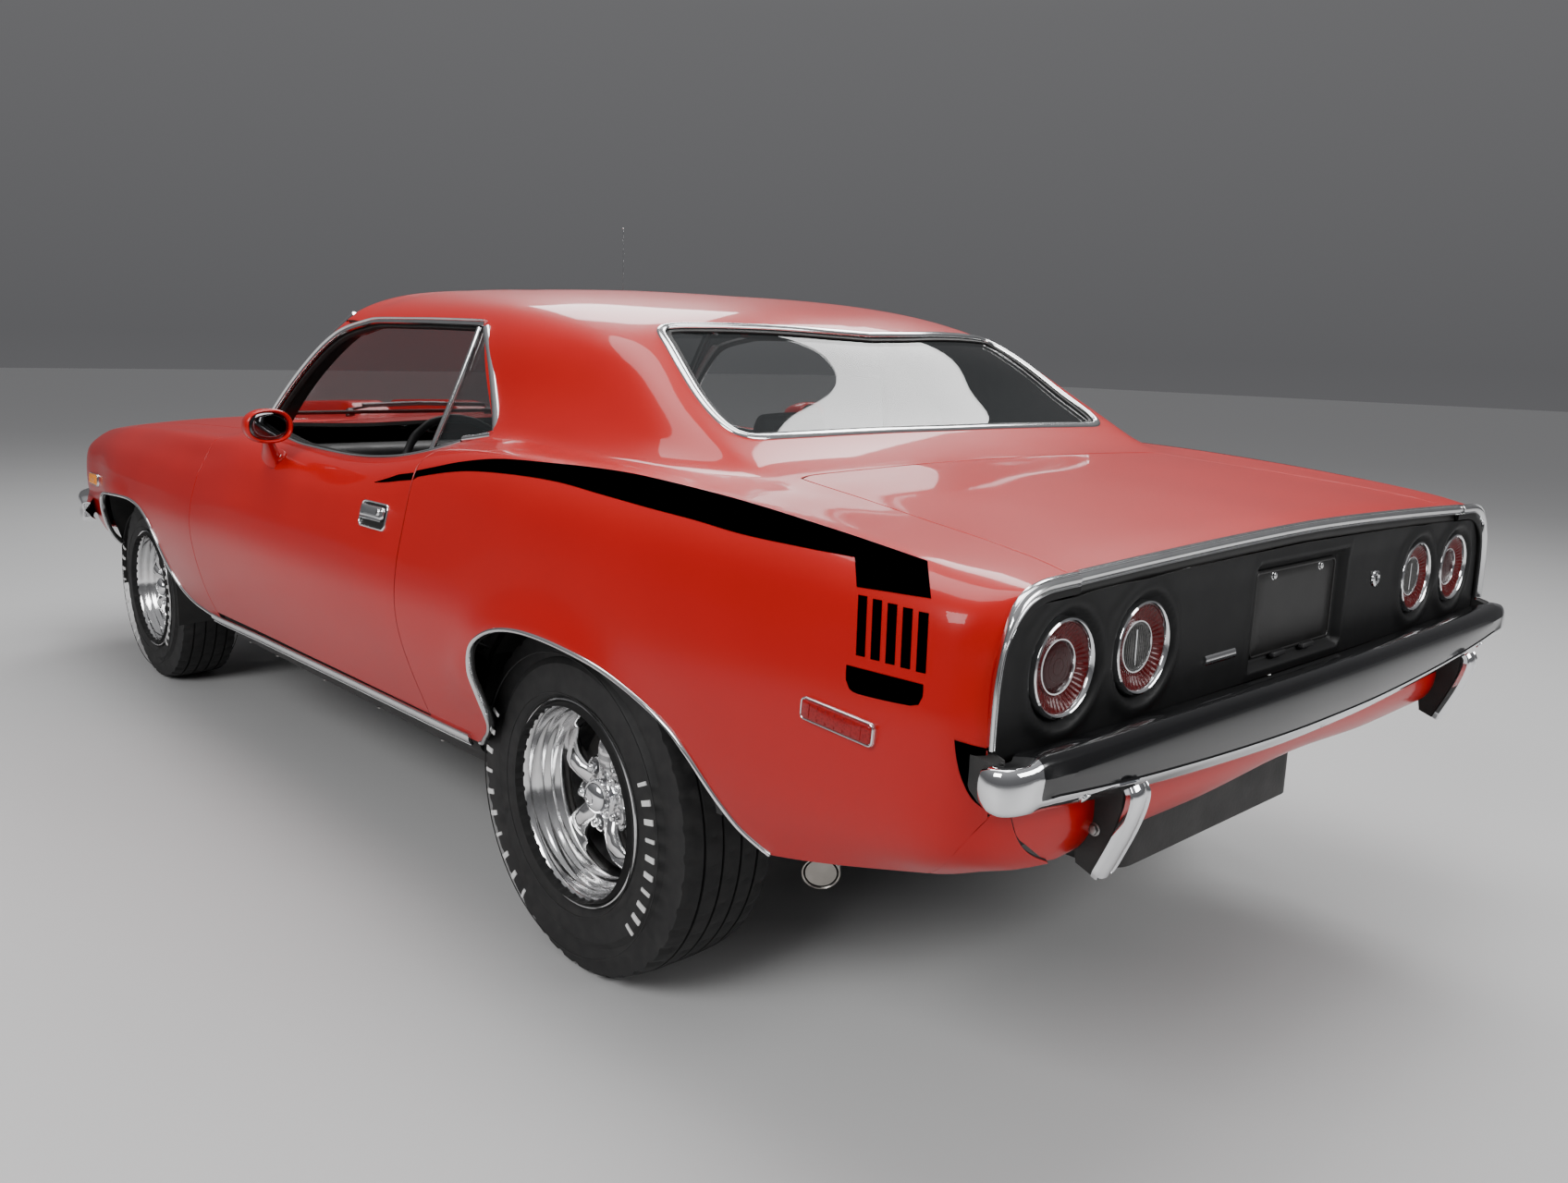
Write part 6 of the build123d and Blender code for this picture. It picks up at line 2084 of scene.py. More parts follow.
def build_mouldings():
    s = Soup()
    # wheel-opening mouldings
    for curve in (REAR_ARCH_C, FRONT_ARCH_C):
        P = side_point(curve[:, 0], curve[:, 1])
        N = SN(curve[:, 0], u_of_z(curve[:, 0], curve[:, 1]))
        t = tangents(P)
        w = np.cross(N, t)                       # along the surface, away from the opening
        cen = np.array([curve[:, 0].mean(), 0, .40])
        sgn = np.sign(np.sum(w * (P - cen), 1).mean())
        for width, off, th, prof in ((.0095, .0020, .0060, DOMED),):
            path = P + w * sgn * off
            add_both(s, ribbon(path, N, width, th, prof), 0)
        # returned lip inside the opening
        path = P - N * .007 + w * sgn * .0004
        add_both(s, ribbon(path + N * .003, -w * sgn, .0100, .0022, FLAT), 0)
    s.make("wheel_opening_mouldings", ["chrome_trim"], "body")
    # sill mouldings under the doors
    s = Soup()
    xs = np.linspace(.372, 1.935, 90)
    z = np.interp(xs, [.30, .60, 1.3, 1.60, 1.87, 1.97], [.3825, .3815, .3780, .3760, .3720, .3720])
    P = side_point(xs, z + .003)
    P[:, 2] = z
    N = np.tile([0, .93, -.36], (len(xs), 1))
    add_both(s, ribbon(P + np.array([0, .0015, -.001]), N, .0270, .0085, RIDGED), 0)
    s.make("sill_mouldings", ["chrome_trim"], "body")
    # dark sills under the body, with pinch flange and jacking slots
    s = Soup()
    out = smooth_poly([(.835, .372), (.842, .360), (.838, .345), (.822, .330), (.812, .316), (.810, .306)], .006)
    inn = [(.802, .306), (.800, .318), (.798, .372)]
    sec = np.vstack([out, inn])
    rings = []
    xs = np.linspace(.395, 1.955, 60)
    for x in xs:
        k = min(1, (x - .395) / .03, (1.955 - x) / .03)
        rings.append(np.stack([np.full(len(sec), x), sec[:, 0] - .006 * (1 - k), sec[:, 1]], 1))
    add_both(s, loft(rings), 0)
    for x in (.62, .95, 1.28, 1.61, 1.82):
        s.addp(bolt((x, .806, .3065), (0, 0, -1), .006, .004, 6), 1)
        s.addp(bolt((x, -.806, .3065), (0, 0, -1), .006, .004, 6), 1)
    s.make("rocker_panels", ["under_black", "bare_steel"], "body", replaces=("rockers",), slot="structure_paint")


def side_frame(x, z):
    """Origin, forward, up and outward directions at a place on the left side."""
    P = side_point(np.array([x]), np.array([z]))[0]
    N = SN(np.array([x]), u_of_z([x], [z]))[0]
    f = np.array([1.0, 0, 0]) - N * N[0]
    f /= np.linalg.norm(f)
    u = np.cross(N, f) * -1
    u = np.cross(f, N)
    if u[2] < 0:
        u = -u
    return P, f, u, N


def lamp_side(s, x0, z0, w, h, tilt, mats, depth=.009):
    P, f, u, N = side_frame(x0, z0)
    a = math.radians(tilt)
    f2 = f * math.cos(a) + u * math.sin(a)
    u2 = -f * math.sin(a) + u * math.cos(a)
    # xd x yd must point outwards
    xd, yd = (f2, u2) if np.dot(np.cross(f2, u2), N) > 0 else (-f2, u2)
    add_both(s, slab(rounded_rect(w, h, h * .22, 5), P - N * .004, xd, yd, .004 + depth * .62, .0016), mats[0])
    o = rounded_rect(w - .007, h - .007, h * .18, 5)
    rim = [P + N * (depth * .62) + q[0] * xd + q[1] * yd for q in rounded_rect(w - .0035, h - .0035, h * .20, 5)]
    add_both(s, ribbon(np.array(rim), N, .0034, .0022, DOMED, closed=True), mats[0])
    add_both(s, slab(o, P, xd, yd, depth, .0022, .0020), mats[1])
    for k in range(-3, 4):
        c = P + N * (depth + .0010) + xd * (k * w / 8.5)
        add_both(s, tube([c - yd * (h * .30), c + yd * (h * .30)], .0009, 6), mats[1])


def build_side_parts():
    s = Soup()
    lamp_side(s, -.7705, .7135, .139, .0345, 4.5, (0, 1))
    s.make("rear_marker_lamps", ["chrome_trim", "lens_red_side"], "body")
    s = Soup()
    lamp_side(s, 3.150, .672, .165, .044, -1.5, (0, 1))
    s.make("front_marker_lamps", ["chrome_trim", "lens_amber"], "body")
    # door handles: flap over a dark recess, with a lock button
    for side in ("left", "right"):
        s = Soup()
        P, f, u, N = side_frame(.6880, .8290)
        xd, yd = (f, u) if np.dot(np.cross(f, u), N) > 0 else (-f, u)

        def at(a, b, c=0.0):
            return P + f * a + u * b + N * c

        def put(part, mat):
            s.addp(part if side == "left" else mirror_part(part), mat)
        put(slab(rounded_rect(.128, .058, .012, 5), P - N * .006, xd, yd, .0066, .0012), 1)
        rim = np.array([P + N * .0008 + q[0] * xd + q[1] * yd for q in rounded_rect(.126, .056, .012, 5)])
        put(ribbon(rim, N, .0050, .0034, DOMED, closed=True), 0)
        ctr = at(0, .007, .0)
        put(slab(rounded_rect(.112, .028, .009, 5), ctr, xd, yd, .0105, .0034, .0018), 0)
        ledge = [at(a, -.0085, .0045 + .004 * (1 - (a / .056)**2)) for a in np.linspace(-.052, .052, 19)]
        put(ribbon(np.array(ledge), N * .8 - u * .6, .0070, .0040, DOMED), 0)
        b = at(-.038, .009, .0108)
        put(revolve([(0, 0), (.0078, 0), (.0078, .0020), (.0064, .0036), (0, .0040)], b, N, 28, closed_profile=False), 0)
        put(slab(rounded_rect(.0012, .0070, .0005, 2), b + N * .0036, xd, yd, .0008, .0002), 1)
        s.make("door_handle_" + side, ["chrome", "black_satin"], "door_" + side)


build_stripes()
build_bumper_gap_shade()
build_mouldings()
build_side_parts()

# ---- end side ----

# ---- section mats ----
def cad_materials():
    """Materials on every CAD node that stays in view."""
    table = {
        "body_paint": "body_paint", "black_paint": "black_satin", "structure_paint": "under_black", "chrome_trim": "chrome_trim",
        "wheel_metal": "polished_alloy", "tyre": "tyre_rubber", "glass": "glass", "lamp_red": "lens_red", "lamp_clear": "lens_clear",
        "black_plastic": "plastic_black", "seat_cover": "vinyl", "bare_steel": "bare_steel", "cast_iron": "cast_iron", "engine_paint": "engine_paint",
    }
    by_node = {
        "floor_pan": "under_black", "front_structure": "under_black", "exhaust": "exhaust_steel", "rear_axle": "cast_iron", "drive_shaft": "gunmetal",
        # painted shade: the fuel tank takes the near-black underbody finish because it sits in the shadow under the car
        "fuel_tank": "under_black", "front_suspension": "under_black", "knuckle_left": "cast_iron", "knuckle_right": "cast_iron", "engine": "engine_paint",
        "cowl": "body_paint",
    }
    for name, ob in NODES.items():
        if getattr(ob, "type", "") != "MESH":
            continue
        for i, slot in enumerate(ob.data.materials):
            base = (slot.name if slot else "").split(".")[0]
            pick = by_node.get(name)
            if pick is None:
                for k, v in table.items():
                    if k in base:
                        pick = v
                        break
            ob.data.materials[i] = MATS[pick or "under_black"]
        if len(ob.data.materials) == 0:
            ob.data.materials.append(MATS[by_node.get(name, "under_black")])


cad_materials()

# ---- end mats ----

# ---- section glass ----
def sheet_part(P, thick, out):
    """Closed sheet from an n x m grid of points, thickness against out."""
    P = np.array(P, float)
    n, m = P.shape[:2]
    du = np.gradient(P, axis=0)
    dv = np.gradient(P, axis=1)
    N = np.cross(du, dv)
    N /= np.maximum(np.linalg.norm(N, axis=2, keepdims=True), 1e-12)
    if np.sum(N.reshape(-1, 3) @ np.array(out, float)) < 0:
        N = -N
    Q = P - N * thick
    V = np.vstack([P.reshape(-1, 3), Q.reshape(-1, 3)])
    f = grid_faces(n, m) + [tuple(reversed(q)) for q in grid_faces(n, m, base=n * m)]
    ring = [j for j in range(m)] + [i * m + m - 1 for i in range(1, n)] + [(n - 1) * m + j for j in range(m - 2, -1, -1)] + [i * m for i in range(n - 2, 0, -1)]
    k = n * m
    for i in range(len(ring)):
        a, b = ring[i], ring[(i + 1) % len(ring)]
        f.append((a, b, b + k, a + k))
    bm = bmesh.new()
    bv = [bm.verts.new(p) for p in V]
    for q in f:
        bm.faces.new([bv[i] for i in q])
    bmesh.ops.recalc_face_normals(bm, faces=bm.faces)
    bm.verts.index_update()
    f = [tuple(x.index for x in q.verts) for q in bm.faces]
    bm.free()
    return fix(V, f)


def roof_edge(y):
    """The front edge of the roof skin at y."""
    x = 1.388 + .057 * (1 - (y / .66)**2)
    u = float(u_of_y([x], [abs(y)], "f", "i")[0]) if abs(y) > .0005 else UI
    P = S(np.array([x]), np.array([u]))[0]
    N = SN(np.array([x]), np.array([u]))[0]
    return P * (1, -1 if y < 0 else 1, 1), N * (1, -1 if y < 0 else 1, 1)


HEAD_W = np.linspace(0, 1, 21)
HEAD_P = np.array([roof_edge(.628 * w)[0] for w in HEAD_W])


def ws_point(w, v):
    """Windshield: w across from -1 to 1, v up from 0 to 1."""
    a = abs(w)
    base = np.array([1.902 - .192 * a**2.1, .735 * w, .974 + .012 * a**2])
    head = np.array([np.interp(a, HEAD_W, HEAD_P[:, k]) for k in range(3)]) * (1, np.sign(w), 1) + (.0100, 0, -.0095)
    p = base * (1 - v) + head * v
    b = math.sin(math.pi * v)
    return p + np.array([.030 * (1 - .6 * a * a), .012 * w * a, .020 * (1 - .4 * a)]) * b


A_OUT = [(1.244, .664, 1.2525), (1.310, .667, 1.244), (1.387, .673, 1.2275), (1.440, .684, 1.203), (1.492, .696, 1.171), (1.545, .709, 1.132), (1.592, .722, 1.0925), (1.630, .736, 1.053), (1.664, .750, 1.0125), (1.690, .762, .978), (1.704, .768, .955)]


def build_glass():
    g = [[ws_point(w, v) for w in np.linspace(-1, 1, 41)] for v in np.linspace(-.03, 1.01, 25)]
    s = Soup()
    s.addp(sheet_part(g, .0055, (1, 0, 1)))
    s.make("windshield_glass", ["glass"], "body", replaces=("windshield",), slot="glass", angle=60)
    # header strip and gaskets
    s = Soup()
    ed = [roof_edge(y) for y in np.linspace(-.575, .575, 81)]
    ep, en = np.array([e[0] for e in ed]), np.array([e[1] for e in ed])
    fw = np.array([.62, 0, .78])
    en = en * .45 + fw * .55
    s.addp(ribbon(ep + np.array([.0045, 0, -.0125]), en, .0200, .0065, DOMED), 0)
    # filler between the glass and the roof edge
    G = []
    for w in np.linspace(-1.0, 1.0, 61):
        a, b = ws_point(w, .975), roof_edge(.628 * w)[0]
        G.append([a, a * .5 + b * .5 + np.array([.004, 0, -.004]), b + np.array([-.004, 0, -.010]), b + np.array([-.030, 0, -.018])])
    s.addp(sheet_part(G, .0035, (1, 0, .2)), 1)
    for v0, wd, mat in ((.985, .012, 1),):
        path = np.array([ws_point(w, v0) for w in np.linspace(-1.0, 1.0, 61)]) + np.array([.002, 0, .0035 if mat == 0 else .0015])
        s.addp(ribbon(path, (.35, 0, .94), wd, .0075 if mat == 0 else .003, DOMED), mat)
    for sg in (1, -1):
        vs = np.linspace(.0, 1.0, 40)
        path = np.array([ws_point(sg * .995, v) for v in vs])
        path[:, 1] += sg * .004
        s.addp(ribbon(path + np.array([.002, 0, .002]), (.75, sg * .35, .55), .018, .0080, DOMED), 0)
        path = np.array([ws_point(sg * .975, v) for v in vs])
        s.addp(ribbon(path + np.array([.0012, 0, .001]), (.75, sg * .30, .55), .012, .0030, DOMED), 1)
    path = np.array([ws_point(w, .008) for w in np.linspace(-1, 1, 61)]) + np.array([.002, 0, .003])
    s.addp(ribbon(path, (.45, 0, .9), .020, .006, DOMED), 1)
    s.make("windshield_trim", ["chrome_trim", "rubber_black"], "body")

    # pillars between windshield and side windows
    s = Soup()
    for sg in (1, -1):
        o = smooth_poly(A_OUT, .02)
        rings = []
        for k, p in enumerate(o):
            v = np.clip((p[2] - .965) / (1.245 - .965), -.02, 1.02)
            w = ws_point(1.0, v)
            w = w + np.array([.004, .006, .001])
            if p[0] < 1.37:      # behind the header the pillar runs into the roof edge
                t = (1.37 - p[0]) / .126
                w = np.array([p[0] + .030 * (1 - t), p[1] - .028 - .02 * t, p[2] + .022 + .012 * t])
            q = p.copy()
            mid = (p + w) / 2
            outn = np.array([.35, .8, .35])
            inn = np.array([mid[0] - .018, mid[1] - .040, mid[2] - .022])
            ring = [q, q * .66 + w * .34 + outn * .004, q * .33 + w * .67 + outn * .004, w, w * .5 + inn * .5 + np.array([.002, -.006, .002]), inn,
                    inn * .5 + q * .5 + np.array([-.006, -.004, -.004])]
            ring = np.array(ring)
            ring[:, 1] *= sg
            rings.append(ring)
        s.addp(loft(rings), 0)
        # dark finisher inside the pillar
        G = []
        for ring in rings:
            c = ring.mean(0)
            row = [ring[k] * 1.0 for k in (3, 4, 5, 6)] + [ring[0] * .6 + ring[6] * .4]
            G.append([c + (r - c) * (1 + .0022 / max(np.linalg.norm(r - c), .004)) for r in row])
        s.addp(sheet_part(G, .0016, (-.5, -sg, -.3)), 1)
    s.make("a_pillars", ["body_paint", "black_satin"], "body", angle=50)

    # drip rails: roof edge and down the pillars
    s = Soup()
    for sg in (1, -1):
        xs = np.linspace(.640, 1.244, 40)
        roof = S(xs, np.full(40, U_DRIP - .004))
        roof[:, 1] += .0035
        path = np.vstack([roof[:-1], smooth_poly([(a, b + .004, c - .001) for a, b, c in A_OUT[:-1]], .016)])
        # ease the join
        for _ in range(4):
            path[1:-1] = (path[:-2] + 2 * path[1:-1] + path[2:]) / 4
        path[:, 1] *= sg
        s.addp(ribbon(path, (.0, sg * .90, .43), .0150, .0095, L_STRIP if sg > 0 else [(-a, b) for a, b in L_STRIP][::-1]), 0)
        inner = path - np.array([0, sg * .014, .012])
        s.addp(ribbon(inner, (.0, sg * .90, .43), .016, .010, FLAT), 1)
    s.make("drip_rails", ["chrome_trim", "rubber_black"], "body")

    # quarter glass and its frame
    def yq(z):
        return .750 - .362 * (z - 1.0125)
    gl = Soup()
    s = Soup()
    for sg in (1, -1):
        rear = smooth_poly([(.446, 1.004), (.480, 1.062), (.512, 1.104), (.560, 1.164), (.630, 1.243)], .02)
        front = smooth_poly([(.7185, .958), (.700, 1.040), (.684, 1.120), (.671, 1.200), (.6665, 1.243)], .02)
        n = 18
        ra = np.stack([np.interp(np.linspace(0, 1, n), np.linspace(0, 1, len(rear)), rear[:, i]) for i in (0, 1)], 1)
        fa = np.stack([np.interp(np.linspace(0, 1, n), np.linspace(0, 1, len(front)), front[:, i]) for i in (0, 1)], 1)
        G = []
        for i in range(n):
            row = []
            for t in np.linspace(0, 1, 9):
                x = ra[i, 0] * (1 - t) + fa[i, 0] * t
                z = ra[i, 1] * (1 - t) + fa[i, 1] * t
                row.append((x, sg * (yq(z) - .004), z))
            G.append(row)
        gl.addp(sheet_part(G, .005, (0, sg, 0)))
        fr = np.array([(x, sg * (yq(z) - .002), z) for x, z in front])
        s.addp(ribbon(fr, (.1, sg, .30), .017, .0085, DOMED), 0)
        rr = np.array([(x - .0015, sg * (yq(z) + .0035), z) for x, z in rear])
        s.addp(ribbon(rr, (-.1, sg, .30), .0205, .0085, DOMED), 0)
        r2 = np.array([(x + .014, sg * (yq(z) - .001), z) for x, z in rear])
        s.addp(ribbon(r2, (-.1, sg, .30), .012, .0040, FLAT), 1)
        # belt strip on the quarter and its seal
        b = np.array([(x, sg * np.interp(x, [.440, .545, .60], [.768, .780, .782]), np.interp(x, [.440, .543, .60], [1.019, 1.0035, .991])) for x in np.linspace(.441, .541, 12)])
        s.addp(ribbon(b, (0, sg * .35, .94), .0150, .0070, DOMED), 0)
        b2 = b - np.array([0, sg * .014, -.001])
        s.addp(ribbon(b2, (0, sg * .2, .98), .014, .0060, DOMED), 1)
    gl.make("quarter_glass_panes", ["glass"], "body", replaces=("quarter_glasses",), slot="glass", angle=60)
    s.make("quarter_glass_frames", ["chrome_trim", "rubber_black"], "body")

    # door belt seals; the glass is wound down inside the door
    for side, sg in (("left", 1), ("right", -1)):
        s = Soup()
        xs = np.linspace(.552, 1.690, 70)
        yb = np.interp(xs, [.547, .70, .85, 1.0, 1.4, 1.6, 1.72, 1.87], [.772, .776, .783, .786, .787, .781, .772, .765])
        us = u_of_y(xs, yb + .004, "s", "g")
        P = S(xs, us)
        P[:, 1] *= sg
        s.addp(ribbon(P + np.array([0, sg * .002, .001]), (0, sg * .35, .94), .0100, .0058, DOMED), 0)
        s.addp(ribbon(P + np.array([0, -sg * .0085, .0005]), (0, sg * .2, .98), .0110, .0075, DOMED), 1)
        s.addp(ribbon(P + np.array([0, -sg * .0300, -.004]), (0, -sg * .2, .98), .0100, .0070, DOMED), 1)
        # top edge of the lowered glass
        G = [[(x, sg * (yq(z) + .010), z) for x in np.linspace(.735, 1.600, 20)] for z in np.linspace(.80, .9110, 6)]
        G = np.array(G)
        G[:, :, 2] += np.interp(G[:, :, 0], [.735, 1.0, 1.6], [.022, .004, .004]) * ((G[:, :, 2] - .80) / .111)
        G[:, :, 1] = sg * (np.abs(G[:, :, 1]) - .0165)
        s.addp(sheet_part(G, .0048, (0, sg, 0)), 2)
        s.make("door_belt_" + side, ["chrome_trim", "rubber_black", "glass"], "door_" + side)

    # back window: glass set 7 mm into the opening, bright surround, black inner border
    wb = smooth_poly(WIN_BACK, .014, corner=[0, len(WIN_BACK) - 1])
    wu = xy_to_xu(wb, "e", "i")
    wu[0, 1] = wu[-1, 1] = UI
    o = np.vstack([wu, seg([tuple(wu[-1]), tuple(wu[0])], .014)[1:-1]])

    def sink(P, N, co):
        return P - N * .0075, N
    P, N, tri, co = panel_arrays(dedupe(o), .016, .014, disp=sink)
    mid = co[:, 1] > UI - 1e-5
    P[mid, 1] = 0
    N[mid, 1] = 0
    V, NN, T = join_mirror(P, N, tri, 1e-7)
    v, f, nn, m = shell(V, NN, T, thick=.005)
    make("back_window_glass", v, f, ["glass"], "body", normals=nn, replaces=("back_window",), slot="glass")
    half = S(wu[:, 0], wu[:, 1])
    hn = SN(wu[:, 0], wu[:, 1])
    full = np.vstack([half, (half[1:-1] * [1, -1, 1])[::-1]])
    fn = np.vstack([hn, (hn[1:-1] * [1, -1, 1])[::-1]])
    s = Soup()
    t = tangents(full, True)
    inw = np.cross(t, fn)
    c = full.mean(0)
    sg = np.sign(np.sum(inw * (c - full), 1).mean())
    s.addp(ribbon(full + inw * sg * .0050 - fn * .0008, fn, .0195, .0062, DOMED, closed=True), 0)
    s.addp(ribbon(full + inw * sg * .0190 - fn * .0070, fn, .0150, .0030, FLAT, closed=True), 1)
    s.make("back_window_trim", ["chrome_trim", "rubber_black"], "body")


def build_mirrors():
    for side, sg in (("left", 1), ("right", -1)):
        s = Soup()

        def put(part, mat):
            s.addp(part if sg > 0 else mirror_part(part), mat)
        st = np.array([0, .004, .012, .03, .055, .08, .10, .112, .118, .120])
        ry = np.array([.0560, .0585, .0595, .0590, .0540, .0450, .0330, .0210, .0110, .0035])
        rz = np.array([.0400, .0425, .0435, .0430, .0395, .0330, .0250, .0160, .0085, .0030])
        cy = .938 - .010 * (st / .12)**1.5
        cz = .990 - .004 * (st / .12)**1.5
        rings = []
        # inner well first, so the glass end is a cup
        well = [(.014, .0490, .0345), (.002, .0510, .0360), (-.0015, .0535, .0385)]
        for dx, a, b in well:
            rings.append([(1.228 + dx, .938 + a * math.copysign(abs(math.cos(q))**.86, math.cos(q)), .990 + b * math.copysign(abs(math.sin(q))**.86, math.sin(q))) for q in np.linspace(0, 2 * math.pi, 48, endpoint=False)])
        for d, a, b, y, z in zip(st, ry, rz, cy, cz):
            rings.append([(1.228 + d, y + a * math.copysign(abs(math.cos(q))**.86, math.cos(q)), z + b * math.copysign(abs(math.sin(q))**.86, math.sin(q))) for q in np.linspace(0, 2 * math.pi, 48, endpoint=False)])
        put(loft(rings), 0)
        q = np.linspace(0, 2 * math.pi, 40, endpoint=False)
        o = np.stack([.0485 * np.sign(np.cos(q)) * np.abs(np.cos(q))**.86, .0340 * np.sign(np.sin(q)) * np.abs(np.sin(q))**.86], 1)
        put(slab(o, (1.2405, .938, .990), (0, -1, 0), (0, 0, 1), .0030, .0006), 1)
        # foot on the door, stalk and screws
        base = smooth_poly([(1.352, .892, .9005), (1.340, .899, .918), (1.318, .912, .942), (1.298, .925, .962), (1.288, .932, .975)], .006)
        rings = []
        tt = tangents(base)
        for k, p in enumerate(base):
            h = k / (len(base) - 1)
            a, b = .030 * (1 - h)**1.3 + .0135, .014 * (1 - h)**1.5 + .0095
            yv = np.array([0, 1.0, 0]) - tt[k] * tt[k][1]
            yv /= np.linalg.norm(yv)
            xv = np.cross(yv, tt[k])
            rings.append([p + a * math.cos(w) * xv + b * math.sin(w) * yv for w in np.linspace(0, 2 * math.pi, 28, endpoint=False)])
        put(loft(rings), 0)
        P = S(np.array([1.345]), u_of_y([1.345], [.880], "u", "d"))[0]
        N = SN(np.array([1.345]), u_of_y([1.345], [.880], "u", "d"))[0]
        xd = np.array([1.0, 0, 0])
        xd = xd - N * np.dot(xd, N)
        xd /= np.linalg.norm(xd)
        yd = np.cross(N, xd)
        qq = np.linspace(0, 2 * math.pi, 36, endpoint=False)
        o = np.stack([.046 * np.cos(qq), .021 * np.sin(qq)], 1)
        put(slab(o, P - N * .003, xd, yd, .0095, .0030, .002), 0)
        for d in (-.032, .032):
            put(revolve([(0, .002), (.0048, .002), (.0044, .0038), (.0025, .0048), (0, .0050)], P + xd * d + N * .0045, N, 16, closed_profile=False), 2)
        s.make("mirror_" + side + "_shell", ["body_paint", "mirror_glass", "chrome_trim"], "door_" + side, replaces=("mirror_" + side,), slot="body_paint", angle=42)


def build_antenna():
    s = Soup()
    p = np.array([(2.060, -.722, .900), (2.0598, -.7218, .935)])
    s.addp(revolve([(0, -.004), (.0175, -.004), (.0170, .004), (.0130, .010), (.0095, .022), (.0085, .030), (0, .031)], (2.060, -.722, .905), (0, 0, 1), 30, closed_profile=False), 0)
    zs = np.linspace(.930, 1.640, 14)
    path = np.array([(2.060 - .008 * (z - .93) / .71, -.722 + .004 * (z - .93) / .71, z) for z in zs])
    s.addp(tube(path, np.interp(zs, [.93, 1.0, 1.64], [.0030, .0024, .0017]), 12), 0)
    s.addp(revolve([(0, -.003), (.0028, -.0020), (.0036, 0), (.0028, .0022), (0, .0032)], (2.052, -.718, 1.6405), (0, 0, 1), 16, closed_profile=False), 0)
    s.make("antenna_mast", ["chrome_trim"], "body", replaces=("antenna",), slot="chrome_trim")


def build_cowl():
    yb = .768
    xs = np.linspace(1.640, 1.8670, 16)
    side = [(x, float(u_of_y([x], [np.interp(x, [1.60, 1.72, 1.867], [.776, .767, .7605])], "s", "g")[0])) for x in xs]
    in_u = float(u_of_y([1.868], [.7010], "s", "i")[0])
    o = np.vstack([np.array(side), seg([side[-1], (1.8680, in_u)], .014)[1:], seg([(1.8680, in_u), (1.9345, float(u_of_y([1.9345], [.6985], "s", "i")[0]))], .014)[1:],
                   seg([(1.9345, float(u_of_y([1.9345], [.6985], "s", "i")[0])), (1.9345, UI)], .02)[1:], seg([(1.9345, UI), (1.640, UI)], .02)[1:],
                   seg([(1.640, UI), side[0]], .02)[1:-1]])
    P, N, tri, co = panel_arrays(dedupe(o), .018, .016)
    mid = co[:, 1] > UI - 1e-5
    P[mid, 1] = 0
    N[mid, 1] = 0
    V, NN, T = join_mirror(P, N, tri, 1e-7)
    v, f, n, m = shell(V, NN, T, thick=.012)
    make("cowl_skin", v, f, ["body_paint", "panel_inside"], "body", face_mats=m, normals=n, replaces=("cowl",), slot="body_paint")
    s = Soup()
    # vent slots in the cowl
    for k in range(-11, 12):
        y = k * .046
        x = 1.9215 - .012 * (abs(y) / .55)**2
        u = float(u_of_y([x], [abs(y)], "s", "i")[0]) if abs(y) > .001 else UI
        P0 = S(np.array([x]), np.array([u]))[0]
        P0[1] = y
        N0 = SN(np.array([x]), np.array([u]))[0]
        N0[1] *= 1 if y >= 0 else -1
        yd = np.array([0, 1.0, 0]) - N0 * N0[1]
        yd /= np.linalg.norm(yd)
        s.addp(slab(rounded_rect(.0085, .034, .004, 4), P0 - N0 * .002, np.cross(yd, N0), yd, .0026, .0005), 0)
    s.make("cowl_vents", ["black_satin"], "body")
    # wipers
    s = Soup()
    for y0, y1 in ((.46, -.03), (-.06, -.52)):
        pv = ws_point(y0 / .735, 0)
        pv = np.array([pv[0] + .020, y0, pv[2] + .006])
        s.addp(revolve([(0, -.012), (.0140, -.012), (.0135, .004), (.0090, .010), (0, .011)], pv, (.3, 0, .95), 24, closed_profile=False), 0)
        e = ws_point((y0 * .35 + y1 * .65) / .735, .055) + np.array([.010, 0, .014])
        m = (pv + e) / 2 + np.array([.012, 0, .012])
        s.addp(tube(smooth_poly([pv + np.array([0, 0, .008]), m, e], .02), .0042, 10), 0)
        bl = np.array([ws_point(y / .735, .045 + .02 * (1 - abs(y - (y0 + y1) / 2) / .3)) for y in np.linspace(y0 - .03, y1, 16)]) + np.array([.006, 0, .010])
        s.addp(ribbon(bl, (.4, 0, .9), .0075, .0050, DOMED), 0)
        s.addp(ribbon(bl - np.array([.003, 0, .006]), (.4, 0, .9), .0040, .0090, FLAT), 1)
    s.make("wipers", ["gunmetal", "rubber_black"], "body")


build_glass()
build_mirrors()
build_antenna()
build_cowl()

# ---- end glass ----

# ---- section front ----
BUMP_F = [(3.205, .9045), (3.330, .887), (3.450, .853), (3.520, .818), (3.568, .780), (3.603, .724), (3.625, .650), (3.640, .530), (3.650, .400), (3.657, .200), (3.660, .0)]


